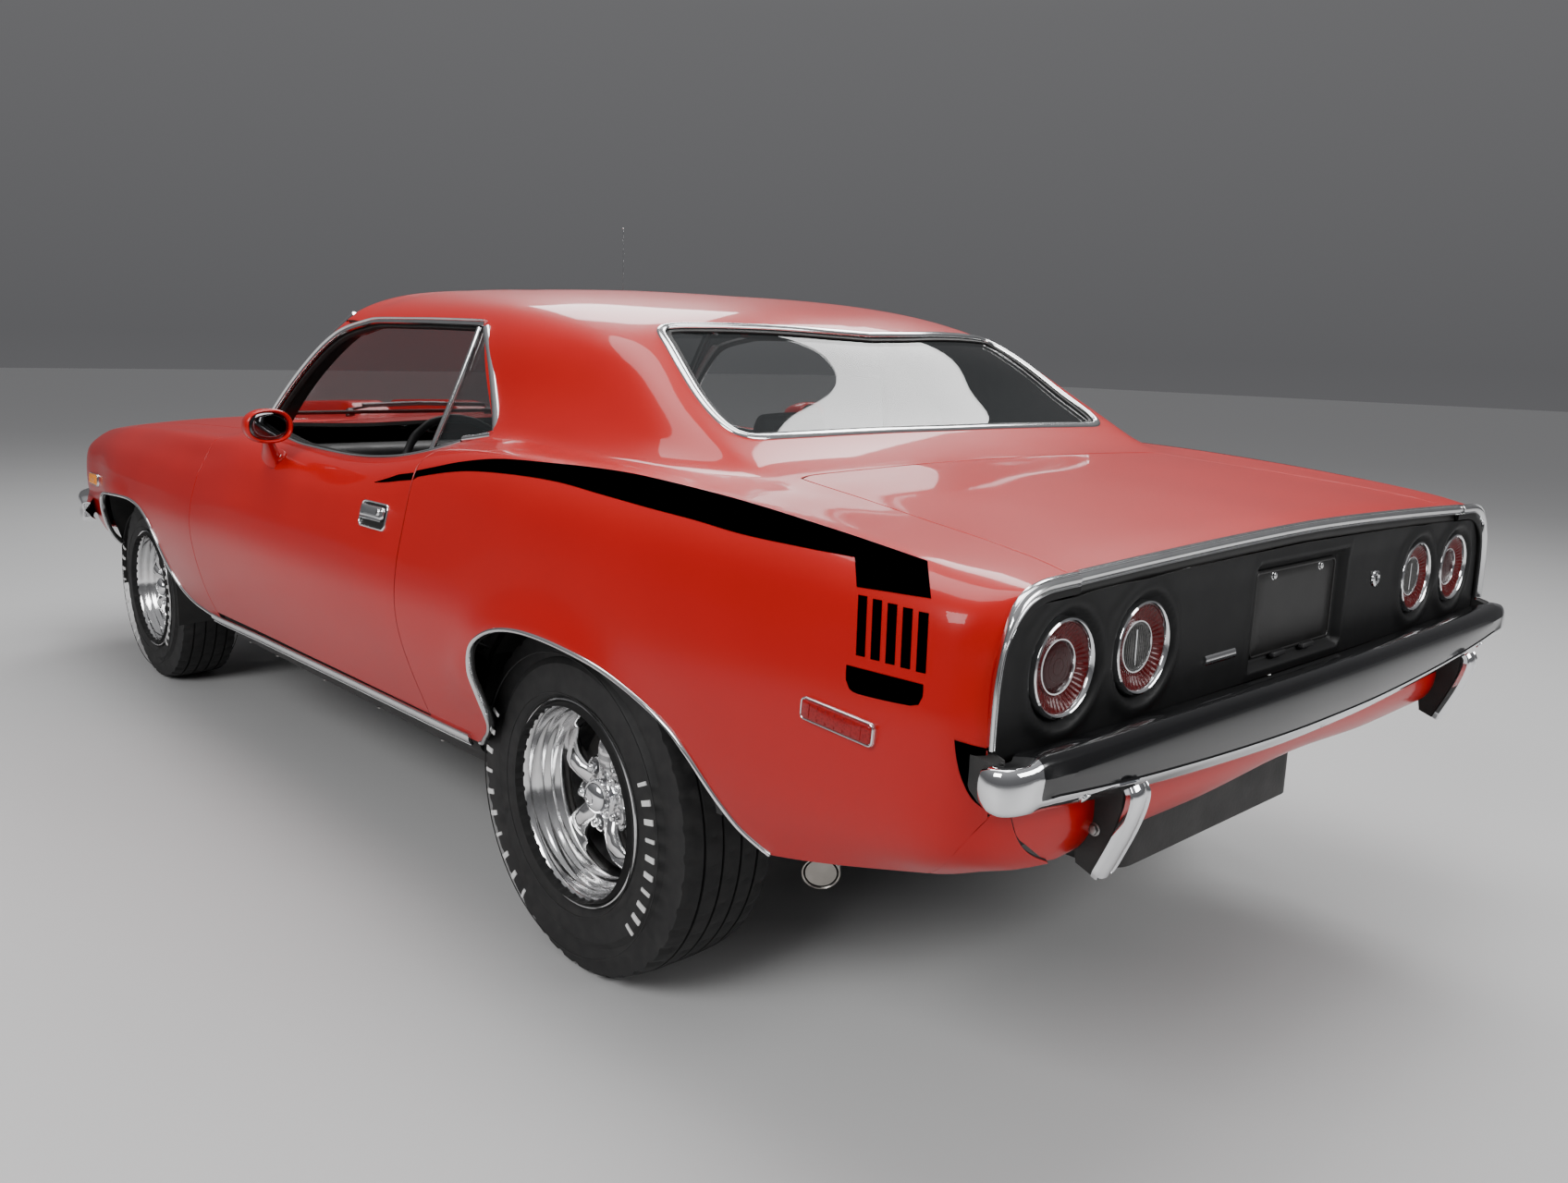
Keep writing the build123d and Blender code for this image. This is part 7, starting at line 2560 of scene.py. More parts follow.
def build_nose():
    xs = np.linspace(3.4382, 3.606, 12)
    a = float(u_of_y([3.4803], [.592], "s", "i")[0])
    b = float(u_of_y([3.4382], [.6075], "s", "i")[0])
    o = np.vstack([seg([(3.4382, 0.0), (3.606, 0.0)], .014), seg([(3.606, 0.0), (3.606, UI)], .016)[1:], seg([(3.606, UI), (3.4803, UI)], .016)[1:],
                   seg([(3.4803, UI), (3.4803, a)], .016)[1:], seg([(3.4803, a), (3.470, a * .55 + b * .45), (3.4382, b)], .010)[1:],
                   seg([(3.4382, b), (3.4382, 0.0)], .016)[1:-1]])
    P, N, tri, co = panel_arrays(dedupe(o), .016, .014)
    mid = co[:, 1] > UI - 1e-5
    P[mid, 1] = 0
    N[mid, 1] = 0
    V, NN, T = join_mirror(P, N, tri, 1e-7)
    v, f, n, m = shell(V, NN, T, thick=.012)
    make("nose_skin", v, f, ["body_paint", "panel_inside"], "body", face_mats=m, normals=n, replaces=("nose",), slot="body_paint")

    # fascia with the wide grille opening
    us = np.linspace(0, UI, 46)
    e = S(np.full(46, 3.592), us)
    half = e[:, 1:3].copy()
    t = np.gradient(half, axis=0)
    t /= np.linalg.norm(t, axis=1, keepdims=True)
    half += np.stack([-t[:, 1], t[:, 0]], 1) * .0155
    half[0, 1] = half[0, 1] * 0 + .484
    half = half[half[:, 0] > .004]
    loop = np.vstack([half, [(0.0, half[-1, 1])], half[::-1] * [-1, 1]])
    loop = dense(loop, .018)
    if np.sum(loop[:, 0] * np.roll(loop[:, 1], -1) - loop[:, 1] * np.roll(loop[:, 0], -1)) < 0:
        loop = loop[::-1]
    op = [(-.640, .566), (.640, .566), (.664, .600), (.670, .655), (.664, .715), (.645, .764), (.560, .7815), (.30, .7905), (0, .7930), (-.30, .7905), (-.560, .7815), (-.645, .764), (-.664, .715), (-.670, .655), (-.664, .600)]
    op = smooth_poly(op, .016, closed=True)
    v, f, n, m = plate(loop, lambda a, b: np.stack([3.5975 - .018 * (np.abs(a) / .7)**3, a, b], 1), .018, .010, [op[::-1]], (1, 0, 0), None)
    make("nose_fascia", v, f, ["body_paint"], "body", normals=n)
    s = Soup()
    rim = np.stack([3.5990 - .018 * (np.abs(op[:, 0]) / .7)**3, op[:, 0], op[:, 1]], 1)
    s.addp(ribbon(rim, (1, 0, 0), .0140, .0085, DOMED, closed=True), 0)
    # walls of the opening
    ring = []
    for x, k in ((3.594, 1.0), (3.575, .993), (3.548, .985), (3.5445, .985), (3.5445, 1.004), (3.575, 1.008), (3.588, 1.010)):
        c = np.array([0, .677])
        q = (op - c) * k + c
        dx = .018 * (np.abs(q[:, 0]) / .7)**3
        ring.append(np.stack([x - dx, q[:, 0], q[:, 1]], 1))
    # rings are loops around the opening, lofted front to back and closed on themselves
    s.addp(loft(ring + [ring[0]], cap=False), 1)
    s.make("grille_surround", ["chrome_trim", "black_satin"], "body", replaces=("grille",), slot="black_plastic")
    s = Soup()
    s.addp(slab(dense([(-.655, .570), (.655, .570), (.655, .778), (-.655, .778)], .05), (3.540, 0, 0), (0, 1, 0), (0, 0, 1), .006, .001), 0)
    for k in range(9):
        z = .5865 + k * .0220
        w = .655 - (.012 if k in (0, 8) else 0)
        path = np.array([(3.5655 - .014 * (abs(y) / .66)**3, y, z) for y in np.linspace(-w, w, 61)])
        s.addp(ribbon(path, (1, 0, 0), .0060, .0200, FLAT), 1)
    for y in np.linspace(-.40, .40, 9):
        if abs(y) > .02:
            s.addp(box_part((3.548, y - .0030, .575), (3.560, y + .0030, .776), .0008), 1)
    # centre post
    o = smooth_poly([(-.024, .5685), (.024, .5685), (.030, .60), (.032, .68), (.030, .76), (.024, .7885), (-.024, .7885), (-.030, .76), (-.032, .68), (-.030, .60)], .01, closed=True)
    s.addp(slab(o, (3.5880, 0, 0), (0, 1, 0), (0, 0, 1), .042, .0040, .003), 2)
    s.addp(slab(rounded_rect(.020, .060, .006, 5), (3.5915, 0, .690), (0, 1, 0), (0, 0, 1), .006, .0015), 3)
    s.make("grille_bars", ["black_satin", "black_texture", "body_paint", "chrome_trim"], "body")
    # lamps
    s = Soup()
    for sg in (1, -1):
        c = (3.540, sg * .560, .655)
        s.addp(revolve([(.0905, .010), (.1090, .012), (.1105, .030), (.1065, .046), (.1000, .0525), (.0935, .0520), (.0890, .0455), (.0875, .036), (.0875, .014)], c, (1, 0, 0), 72), 0)
        s.addp(revolve([(.1100, .000), (.1210, .004), (.1215, .030), (.1150, .042), (.1108, .0435), (.1108, .010)], c, (1, 0, 0), 72), 1)
        prof = [(0, .0560), (.020, .0555), (.040, .0538), (.060, .0505), (.075, .0462), (.084, .0405), (.0872, .034), (.0872, .026), (.070, .012), (.040, .004), (0, .002)]
        s.addp(revolve(prof, c, (1, 0, 0), 72, closed_profile=False), 2)
        # fluting on the lens, three aiming pads and screws in the ring
        for k in range(-4, 5):
            y = k * .0165
            h = math.sqrt(max(.0795**2 - y * y, 1e-6))
            zz = np.linspace(-h, h, 13)
            r = np.sqrt(zz**2 + y * y)
            xx = np.interp(r, [0, .02, .04, .06, .075, .084, .0872], [.0560, .0555, .0538, .0505, .0462, .0405, .034])
            s.addp(ribbon(np.stack([3.540 + xx + .0002, np.full(13, sg * .560 + y), .655 + zz], 1), (1, 0, 0), .0026, .0016, DOMED), 2)
        for w in (90, 210, 330):
            p = np.array([3.540 + .0500, sg * .560 + .1005 * math.cos(math.radians(w)), .655 + .1005 * math.sin(math.radians(w))])
            s.addp(revolve([(0, 0), (.0036, 0), (.0034, .0022), (.0020, .0030), (0, .0032)], p, (1, 0, 0), 14, closed_profile=False), 3)
    s.make("headlamp_set", ["chrome", "black_satin", "lens_head", "bare_steel"], "body", replaces=("headlamps",), slot="lamp_clear")


def build_front_valance():
    xs = np.linspace(3.452, 3.598, 14)
    side = S(xs, np.zeros(14))
    half = np.vstack([side, [(3.604, .60, .4805), (3.607, .50, .482), (3.609, .35, .483), (3.610, .18, .484), (3.610, 0.0, .484)]])
    half = smooth_poly(half, .02)
    n = len(half)
    full = np.vstack([half, (half[:-1] * [1, -1, 1])[::-1]])
    t = tangents(full, False)
    nout = np.cross(t, [0, 0, 1.0])
    nout[:, 2] = 0
    nout /= np.linalg.norm(nout, axis=1, keepdims=True)
    if nout[n - 1, 0] < 0:
        nout = -nout
    d = np.concatenate([[0], np.cumsum(np.linalg.norm(np.diff(full, axis=0), axis=1))])
    e = np.minimum(d, d[-1] - d)
    G = []
    for i, p in enumerate(full):
        k = .12 + .88 * float(sst(e[i] / .16))
        row = []
        for v in np.linspace(0, 1, 9):
            row.append(p + np.array([0, 0, .004]) - nout[i] * (.008 + k * (.062 * v**1.6)) - np.array([0, 0, k * .086 * v**.9]))
        G.append(row)
    s = Soup()
    s.addp(sheet_part(G, .006, (1, 0, -.3)), 0)
    for sg in (1, -1):
        o = rounded_rect(.150, .042, .010, 6)
        s.addp(slab(rounded_rect(.166, .056, .014, 6), (3.5885, sg * .440, .452), (0, 1, 0), (-.35, 0, .94), .012, .003), 1)
        s.addp(slab(o, (3.5905, sg * .440, .4525), (0, 1, 0), (-.35, 0, .94), .012, .003, .003), 2)
    s.make("front_valance", ["body_paint", "chrome_trim", "lens_amber"], "body", angle=50)


def build_front_bumper():
    half = smooth_poly(BUMP_F, .012)
    plan = np.vstack([half * [1, -1], half[:-1][::-1]])
    d = np.concatenate([[0], np.cumsum(np.linalg.norm(np.diff(plan, axis=0), axis=1))])
    L = d[-1]

    def sec(i, s):
        e = min(d[i], L - d[i])
        k = float(sst(e / .060))
        z0, z1 = .5525, .5525
        h = .0475 * (.62 + .38 * k)
        w = .050 * (.55 + .45 * k)
        base = [(-.95, .93), (-.60, 1.0), (-.30, .985), (-.10, .93), (-.02, .82), (.0, .62), (-.01, .36), (-.06, .16), (-.07, .0), (-.06, -.16), (-.01, -.36), (.0, -.62), (-.02, -.82), (-.12, -.93), (-.32, -.99), (-.60, -1.0), (-.95, -.94)]
        return [(a * w, z0 + c * h) for a, c in base]
    rings = bumper_rings(plan, sec)
    s = Soup()
    s.addp(loft(rings), 0)
    for sg in (1, -1):
        # guards, brackets and bolts
        y = sg * .430
        prof = smooth_poly([(3.6505, .612), (3.668, .606), (3.6765, .585), (3.6765, .540), (3.668, .500), (3.650, .4785), (3.636, .470)], .008)
        t = tangents(np.stack([prof[:, 0], np.zeros(len(prof)), prof[:, 1]], 1))
        path = np.stack([prof[:, 0], np.full(len(prof), y), prof[:, 1]], 1)
        out = np.stack([-t[:, 2], 0 * t[:, 0], t[:, 0]], 1)
        if out[len(out) // 2, 0] < 0:
            out = -out
        s.addp(ribbon(path, out, .050, .016, DOMED), 0)
        s.addp(ribbon(path[6:-6] + out[6:-6] * .0030, out[6:-6], .022, .016, DOMED), 2)
        s.addp(box_part((3.43, sg * .40 - .020, .515), (3.640, sg * .40 + .020, .527), .002), 1)
        s.addp(box_part((3.43, sg * .40 - .020, .575), (3.640, sg * .40 + .020, .587), .002), 1)
        for yy in (.27, .62, .80):
            k = int(np.argmin(np.abs(plan[:, 1] - sg * yy) + (plan[:, 0] < 3.3) * 9))
            tt = plan[min(k + 1, len(plan) - 1)] - plan[k - 1]
            nn = np.array([tt[1], -tt[0], 0]) / np.linalg.norm(tt)
            s.addp(revolve([(0, -.006), (.0105, -.006), (.0105, .0010), (.0080, .0042), (.0040, .0062), (0, .0068)], (plan[k, 0] - nn[0] * .001, plan[k, 1] - nn[1] * .001, .574), nn, 24, closed_profile=False), 0)
    s.make("front_bumper_bar", ["chrome", "black_satin", "rubber_black"], "body", replaces=("front_bumper",), slot="chrome_trim", angle=42)
    # blank plate below the bumper
    s = Soup()
    s.addp(slab(rounded_rect(.305, .152, .012, 6), (3.640, 0, .442), (0, 1, 0), (-.10, 0, .995), .0030, .0008), 0)
    s.addp(box_part((3.600, -.10, .47), (3.6370, .10, .478), .001), 0)
    for y in (-.09, .09):
        s.addp(bolt((3.6415, y, .500), (1, 0, .1), .0060, .004), 1)
    s.make("front_plate", ["black_satin", "bare_steel"], "body")


build_nose()
build_front_valance()
build_front_bumper()

# ---- end front ----

# ---- section interior ----
def pad_mesh(name, origin, xd, yd, W, L, T, B, body, crown=.012, pull=.035, pleats=(), inset=.70, mats=("vinyl", "rubber_black"), node=None, nx=44, ny=48, front_roll=.0, squarish=.42):
    """A stuffed pad: crowned both ways, sides drawn in between the corners, sewn insert and channels, piping at the seam."""
    origin, xd, yd = (np.array(a, float) for a in (origin, xd, yd))
    xd, yd = xd / np.linalg.norm(xd), yd / np.linalg.norm(yd)
    zd = np.cross(xd, yd)

    def spread(n):
        t = np.linspace(-1, 1, n)
        return np.sign(t) * (1 - (1 - np.abs(t))**1.55)
    U, V = np.meshgrid(spread(nx), spread(ny), indexing="ij")
    su = U * np.sqrt(1 - squarish * V**2 / 2) / math.sqrt(1 - squarish / 2)**.55
    sv = V * np.sqrt(1 - squarish * U**2 / 2) / math.sqrt(1 - squarish / 2)**.55
    X = W / 2 * su * (1 - pull * (1 - V**2)**1.5)
    Y = L / 2 * sv * (1 - pull * .8 * (1 - U**2)**1.5)
    edge = ((1 - np.abs(U)**5) * (1 - np.abs(V)**5))**(1 / 2.6)
    dome = (1 - U**2) * (1 - V**2)
    top = T * edge + crown * dome - crown * .35 * (1 - U**2)**2 * (1 - V**2)
    # sewn insert: a groove round the middle panel and channels across it
    ax, ay = inset, min(.86, inset + .08)
    dx, dy = np.abs(U) / ax, np.abs(V) / ay
    r = (dx**8 + dy**8)**(1 / 8)
    dist = (r - 1) * W / 2 * ax
    top -= .0085 * np.exp(-(dist / .0055)**2)
    inside = 1 / (1 + np.exp((dist + .004) / .0022))
    for c in pleats:
        dd = (U - c) * W / 2
        top -= .0062 * np.exp(-(dd / .0048)**2) * inside
    if len(pleats) > 1:
        step = (pleats[1] - pleats[0])
        ph = np.cos((U - pleats[0]) / step * 2 * math.pi)
        top += .0030 * (1 - ph) / 2 * inside * (np.abs(U) < ax)
    # soft unevenness, seated wear
    top += .0016 * np.sin(7.3 * U + 3.1 * V) * np.cos(5.1 * V - 2.2 * U) * edge
    top -= front_roll * np.clip(V - .35, 0, None)**2 * edge
    bot = -B * edge
    n, m = U.shape
    PT = origin + X[..., None] * xd + Y[..., None] * yd + top[..., None] * zd
    PB = origin + X[..., None] * xd + Y[..., None] * yd + bot[..., None] * zd
    VV = np.vstack([PT.reshape(-1, 3), PB.reshape(-1, 3)])
    f = grid_faces(n, m) + [tuple(reversed(q)) for q in grid_faces(n, m, base=n * m)]
    bm = bmesh.new()
    bv = [bm.verts.new(p) for p in VV]
    for q in f:
        bm.faces.new([bv[i] for i in q])
    rim = [i for i in range(n * m) if (i // m in (0, n - 1) or i % m in (0, m - 1))]
    bmesh.ops.weld_verts(bm, targetmap={bv[i + n * m]: bv[i] for i in rim})
    bmesh.ops.recalc_face_normals(bm, faces=bm.faces)
    bm.verts.index_update()
    vv = np.array([v.co[:] for v in bm.verts])
    ff = [tuple(x.index for x in q.verts) for q in bm.faces]
    bm.free()
    vv, ff = fix(vv, ff)
    loop = [PT[i, 0] for i in range(n)] + [PT[n - 1, j] for j in range(1, m)] + [PT[i, m - 1] for i in range(n - 2, -1, -1)] + [PT[0, j] for j in range(m - 2, 0, -1)]
    loop = np.array(loop)
    for _ in range(2):
        loop = (np.roll(loop, 1, 0) + 2 * loop + np.roll(loop, -1, 0)) / 4
    s = Soup()
    s.add(vv, ff, 0)
    s.addp(tube(loop[::2], .0036, 8, closed=True), 1)
    ob = s.make(name, list(mats), body, replaces=(node,) if node else (), slot="seat_cover" if node else None, angle=70)
    return ob


def unit(a):
    a = np.array(a, float)
    return a / np.linalg.norm(a)


def build_seats():
    pl = [-.56, -.42, -.28, -.14, 0, .14, .28, .42, .56]
    for side, sg in (("left", 1), ("right", -1)):
        y = sg * .370
        cd = unit((.335, 0, .028))
        pad_mesh("front_cushion_" + side, (1.030, y, .470), (0, -1, 0), cd, .424, .492, .050, .058, "body", crown=.018, pleats=pl, node="front_seats", front_roll=.05)
        bd = unit((-.130, 0, .380))
        pad_mesh("front_backrest_" + side, (.7965, y, .7165), (0, 1, 0), bd, .420, .385, .056, .052, "body", crown=.016, pleats=pl, node="front_seats")
        pad_mesh("front_headrest_" + side, (.7350, y, .9715), (0, 1, 0), unit((-.08, 0, .38)), .255, .118, .034, .030, "body", crown=.008, inset=.74, node="front_seats", nx=40, ny=30)
        s = Soup()
        # hard back shell, hinges, posts, tracks and plinth
        o = []
        zs = np.linspace(.500, .905, 16)
        G = []
        for z in zs:
            t = (z - .5) / .405
            w = .196 - .028 * t**3
            row = []
            for q in np.linspace(-1, 1, 17):
                row.append((.7560 - .115 * t + .050 * abs(q)**4 + .012 * math.sin(math.pi * t) - .012, y + q * w, z))
            G.append(row)
        s.addp(sheet_part(G, .006, (-1, 0, 0)), 0)
        for d in (-.060, .060):
            s.addp(tube(np.array([(.746, y + d, .885), (.738, y + d, .905), (.7355, y + d, .930)]), .0055, 12), 1)
        for d in (-.196, .196):
            o = smooth_poly([(.770, .425), (.870, .430), (.880, .470), (.830, .520), (.800, .590), (.770, .590), (.752, .520)], .012, closed=True)
            s.addp(slab(o, (0, y + d * 1.055, 0), (1, 0, 0), (0, 0, 1), .010, .002), 2)
            s.addp(revolve([(0, -.004), (.014, -.004), (.014, .004), (.010, .008), (0, .009)], (.812, y + d * 1.06, .492), (0, np.sign(d), 0), 24, closed_profile=False), 1)
        rings = []
        for z, k in ((.4030, 1.0), (.3700, .965), (.3420, .940), (.3270, .955)):
            q = rounded_rect(.400 * k, .362 * k, .030, 6)
            rings.append([(.995 + a, y + b, z) for a, b in q])
        s.addp(loft(rings), 0)
        for d in (-.150, .150):
            s.addp(box_part((.800, y + d - .014, .3255), (1.240, y + d + .014, .3400), .002), 2)
        s.make("front_seat_base_" + side, ["black_texture", "chrome_trim", "gunmetal"], "body")
    for side, sg in (("left", 1), ("right", -1)):
        pad_mesh("rear_cushion_" + side, (.4200, sg * .345, .4975), (0, -1, 0), unit((.36, 0, .012)), .366, .380, .042, .044, "body", crown=.015, pleats=[-.5, -.3, -.1, .1, .3, .5], node="rear_seat", front_roll=.04, nx=48, ny=48)
        pad_mesh("rear_backrest_" + side, (.1960, sg * .345, .7160), (0, 1, 0), unit((-.140, 0, .360)), .366, .352, .046, .044, "body", crown=.014, pleats=[-.5, -.3, -.1, .1, .3, .5], node="rear_seat", nx=48, ny=48)
    pad_mesh("rear_cushion_middle", (.4200, 0, .5270), (0, -1, 0), unit((.36, 0, .012)), .290, .372, .024, .016, "body", crown=.010, pleats=[-.3, 0, .3], node="rear_seat", nx=40, ny=40)
    pad_mesh("rear_backrest_middle", (.1960, 0, .7160), (0, 1, 0), unit((-.140, 0, .360)), .290, .346, .040, .040, "body", crown=.010, pleats=[-.3, 0, .3], node="rear_seat", nx=40, ny=40)


def build_trim():
    # carpet over floor and tunnel
    ys = np.concatenate([np.linspace(-.735, -.20, 14), np.linspace(-.185, .185, 21), np.linspace(.20, .735, 14)])
    xs = np.linspace(.640, 1.770, 44)
    G = []
    for x in xs:
        row = []
        for y in ys:
            a = abs(y)
            h = .3255 + .1850 * (1 - float(sst((a - .150) / .022)))
            toe = float(sst((x - 1.70) / .07)) * .030
            row.append((x, y, h + toe * (a > .18) + .0012 * math.sin(23 * x + 11 * y)))
        G.append(row)
    s = Soup()
    s.addp(sheet_part(G, .0045, (0, 0, 1)), 0)
    G = [[(x, y, z) for y in np.linspace(-.70, .70, 30)] for x, z in ((1.775, .352), (1.786, .38), (1.797, .43), (1.806, .50), (1.8105, .58), (1.8110, .66))]
    s.addp(sheet_part(G, .0045, (-1, 0, 1)), 0)
    s.make("carpet", ["carpet"], "body", angle=60)
    # parcel shelf with two plain speaker covers
    s = Soup()
    o = smooth_poly([(-.262, -.44), (-.235, -.60), (-.10, -.655), (.020, -.662), (.030, -.60), (.030, .60), (.020, .662), (-.10, .655), (-.235, .60), (-.262, .44)], .02, closed=True, corner=[3, 6])
    s.addp(slab(o, (0, 0, .9525), (1, 0, 0), (0, 1, 0), .006, .0015), 0)
    for sg in (1, -1):
        q = rounded_rect(.110, .190, .030, 8)
        s.addp(slab(q, (-.115, sg * .40, .9555), (1, 0, 0), (0, 1, 0), .005, .002), 1)
    s.make("parcel_shelf", ["black_texture", "carpet"], "body")
    # trim beside the rear seat
    s = Soup()
    for sg in (1, -1):
        prof = [(.5625, .480), (.5620, .600), (.5625, .735), (.572, .768), (.600, .786), (.660, .792), (.700, .800), (.716, .830), (.720, .880), (.724, .930), (.728, .968)]
        prof = smooth_poly(prof, .022)
        G = [[(x, sg * (p[0] + .006 * math.cos((x - .3) * 6)), p[1]) for p in prof] for x in np.linspace(.060, .520, 22)]
        s.addp(sheet_part(G, .004, (0, -sg, .2)), 0)
        for z in (.88, .91):
            path = np.array([(x, sg * .7180, z) for x in np.linspace(.12, .50, 14)])
            s.addp(ribbon(path, (0, -sg, 0), .006, .004, DOMED), 1)
    s.make("rear_side_trim", ["vinyl", "chrome_trim"], "body", angle=50)
    # door trims
    for side, sg in (("left", 1), ("right", -1)):
        s = Soup()

        def put(part, mat=0):
            s.addp(part if sg > 0 else mirror_part(part), mat)
        o = smooth_poly([(.620, .430), (1.755, .430), (1.760, .60), (1.745, .848), (1.60, .868), (1.20, .872), (.80, .874), (.622, .880), (.615, .66)], .02, closed=True, corner=[0, 1, 3, 7])
        v, f, n, m = plate(o, lambda a, b: np.stack([a, .8035 - .0030 * np.cos((a - 1.2) * 2.2) - .0022 * np.exp(-((b - .60) / .008)**2) + .0028 * np.exp(-((np.mod(a, .080) - .040) / .004)**2) * ((b > .50) & (b < .585)), b], 1), .020, .006, (), (0, -1, 0), None)
        put((v, f), 0)
        # armrest
        ar = []
        for x in np.linspace(.860, 1.330, 26):
            t = (x - .86) / .47
            k = min(1, (min(t, 1 - t) / .10))**.5 if 0 < t < 1 else .02
            w, h = .050 * max(k, .05), .022 * max(k, .10)
            z = .640 + .035 * t
            ar.append([(x, .798 - w * .5 + w * .5 * math.copysign(abs(math.cos(q))**.7, math.cos(q)), z + h * math.copysign(abs(math.sin(q))**.7, math.sin(q))) for q in np.linspace(0, 2 * math.pi, 28, endpoint=False)])
        put(loft(ar), 1)
        # window crank, release handle, lock knob, bright strips
        put(revolve([(0, -.002), (.022, -.002), (.021, .006), (.013, .012), (0, .013)], (1.420, .797, .620), (0, -1, 0), 30, closed_profile=False), 2)
        put(tube(smooth_poly([(1.420, .786, .620), (1.395, .781, .585), (1.368, .780, .548)], .01), .0055, 12), 2)
        put(revolve([(0, 0), (.011, 0), (.013, .010), (.012, .024), (0, .028)], (1.368, .784, .546), (0, -1, 0), 24, closed_profile=False), 3)
        put(slab(rounded_rect(.120, .030, .012, 6), (1.500, .797, .745), (-1, 0, 0), (0, 0, 1), .006, .0015), 2)
        put(slab(rounded_rect(.085, .013, .006, 5), (1.492, .7925, .745), (-1, 0, 0), (0, 0, 1), .010, .003), 2)
        for z in (.4980, .5920):
            path = np.array([(x, .7985, z) for x in np.linspace(.66, 1.70, 30)])
            put(ribbon(path, (0, -1, 0), .0060, .0040, DOMED), 2)
        s.make("door_trim_" + side, ["vinyl", "black_texture", "chrome_trim", "plastic_black"], "door_" + side, angle=50)
    # centre console and shift lever
    s = Soup()
    rings = []
    for x, h, w in ((.900, .020, .070), (.905, .060, .082), (1.10, .072, .084), (1.36, .060, .080), (1.48, .085, .084), (1.545, .118, .088), (1.552, .110, .084)):
        rings.append([(x, w * math.copysign(abs(math.cos(q))**.45, math.cos(q)), .513 + h * (.5 + .5 * math.copysign(abs(math.sin(q))**.45, math.sin(q)))) for q in np.linspace(0, 2 * math.pi, 40, endpoint=False)])
    s.addp(loft(rings), 0)
    s.addp(slab(rounded_rect(.150, .090, .014, 6), (1.250, 0, .5815), (1, 0, 0), (0, 1, 0), .006, .002), 1)
    s.addp(tube(smooth_poly([(1.250, 0, .582), (1.256, 0, .63), (1.245, 0, .68), (1.235, 0, .718)], .012), np.linspace(.0075, .0055, len(smooth_poly([(1.250, 0, .582), (1.256, 0, .63), (1.245, 0, .68), (1.235, 0, .718)], .012))), 14), 1)
    s.addp(revolve([(0, -.024), (.010, -.022), (.021, -.010), (.0235, .004), (.018, .018), (.008, .0245), (0, .0255)], (1.2335, 0, .733), (-.12, 0, 1), 30, closed_profile=False), 2)
    s.make("console", ["black_texture", "chrome_trim", "plastic_black"], "body", angle=45)


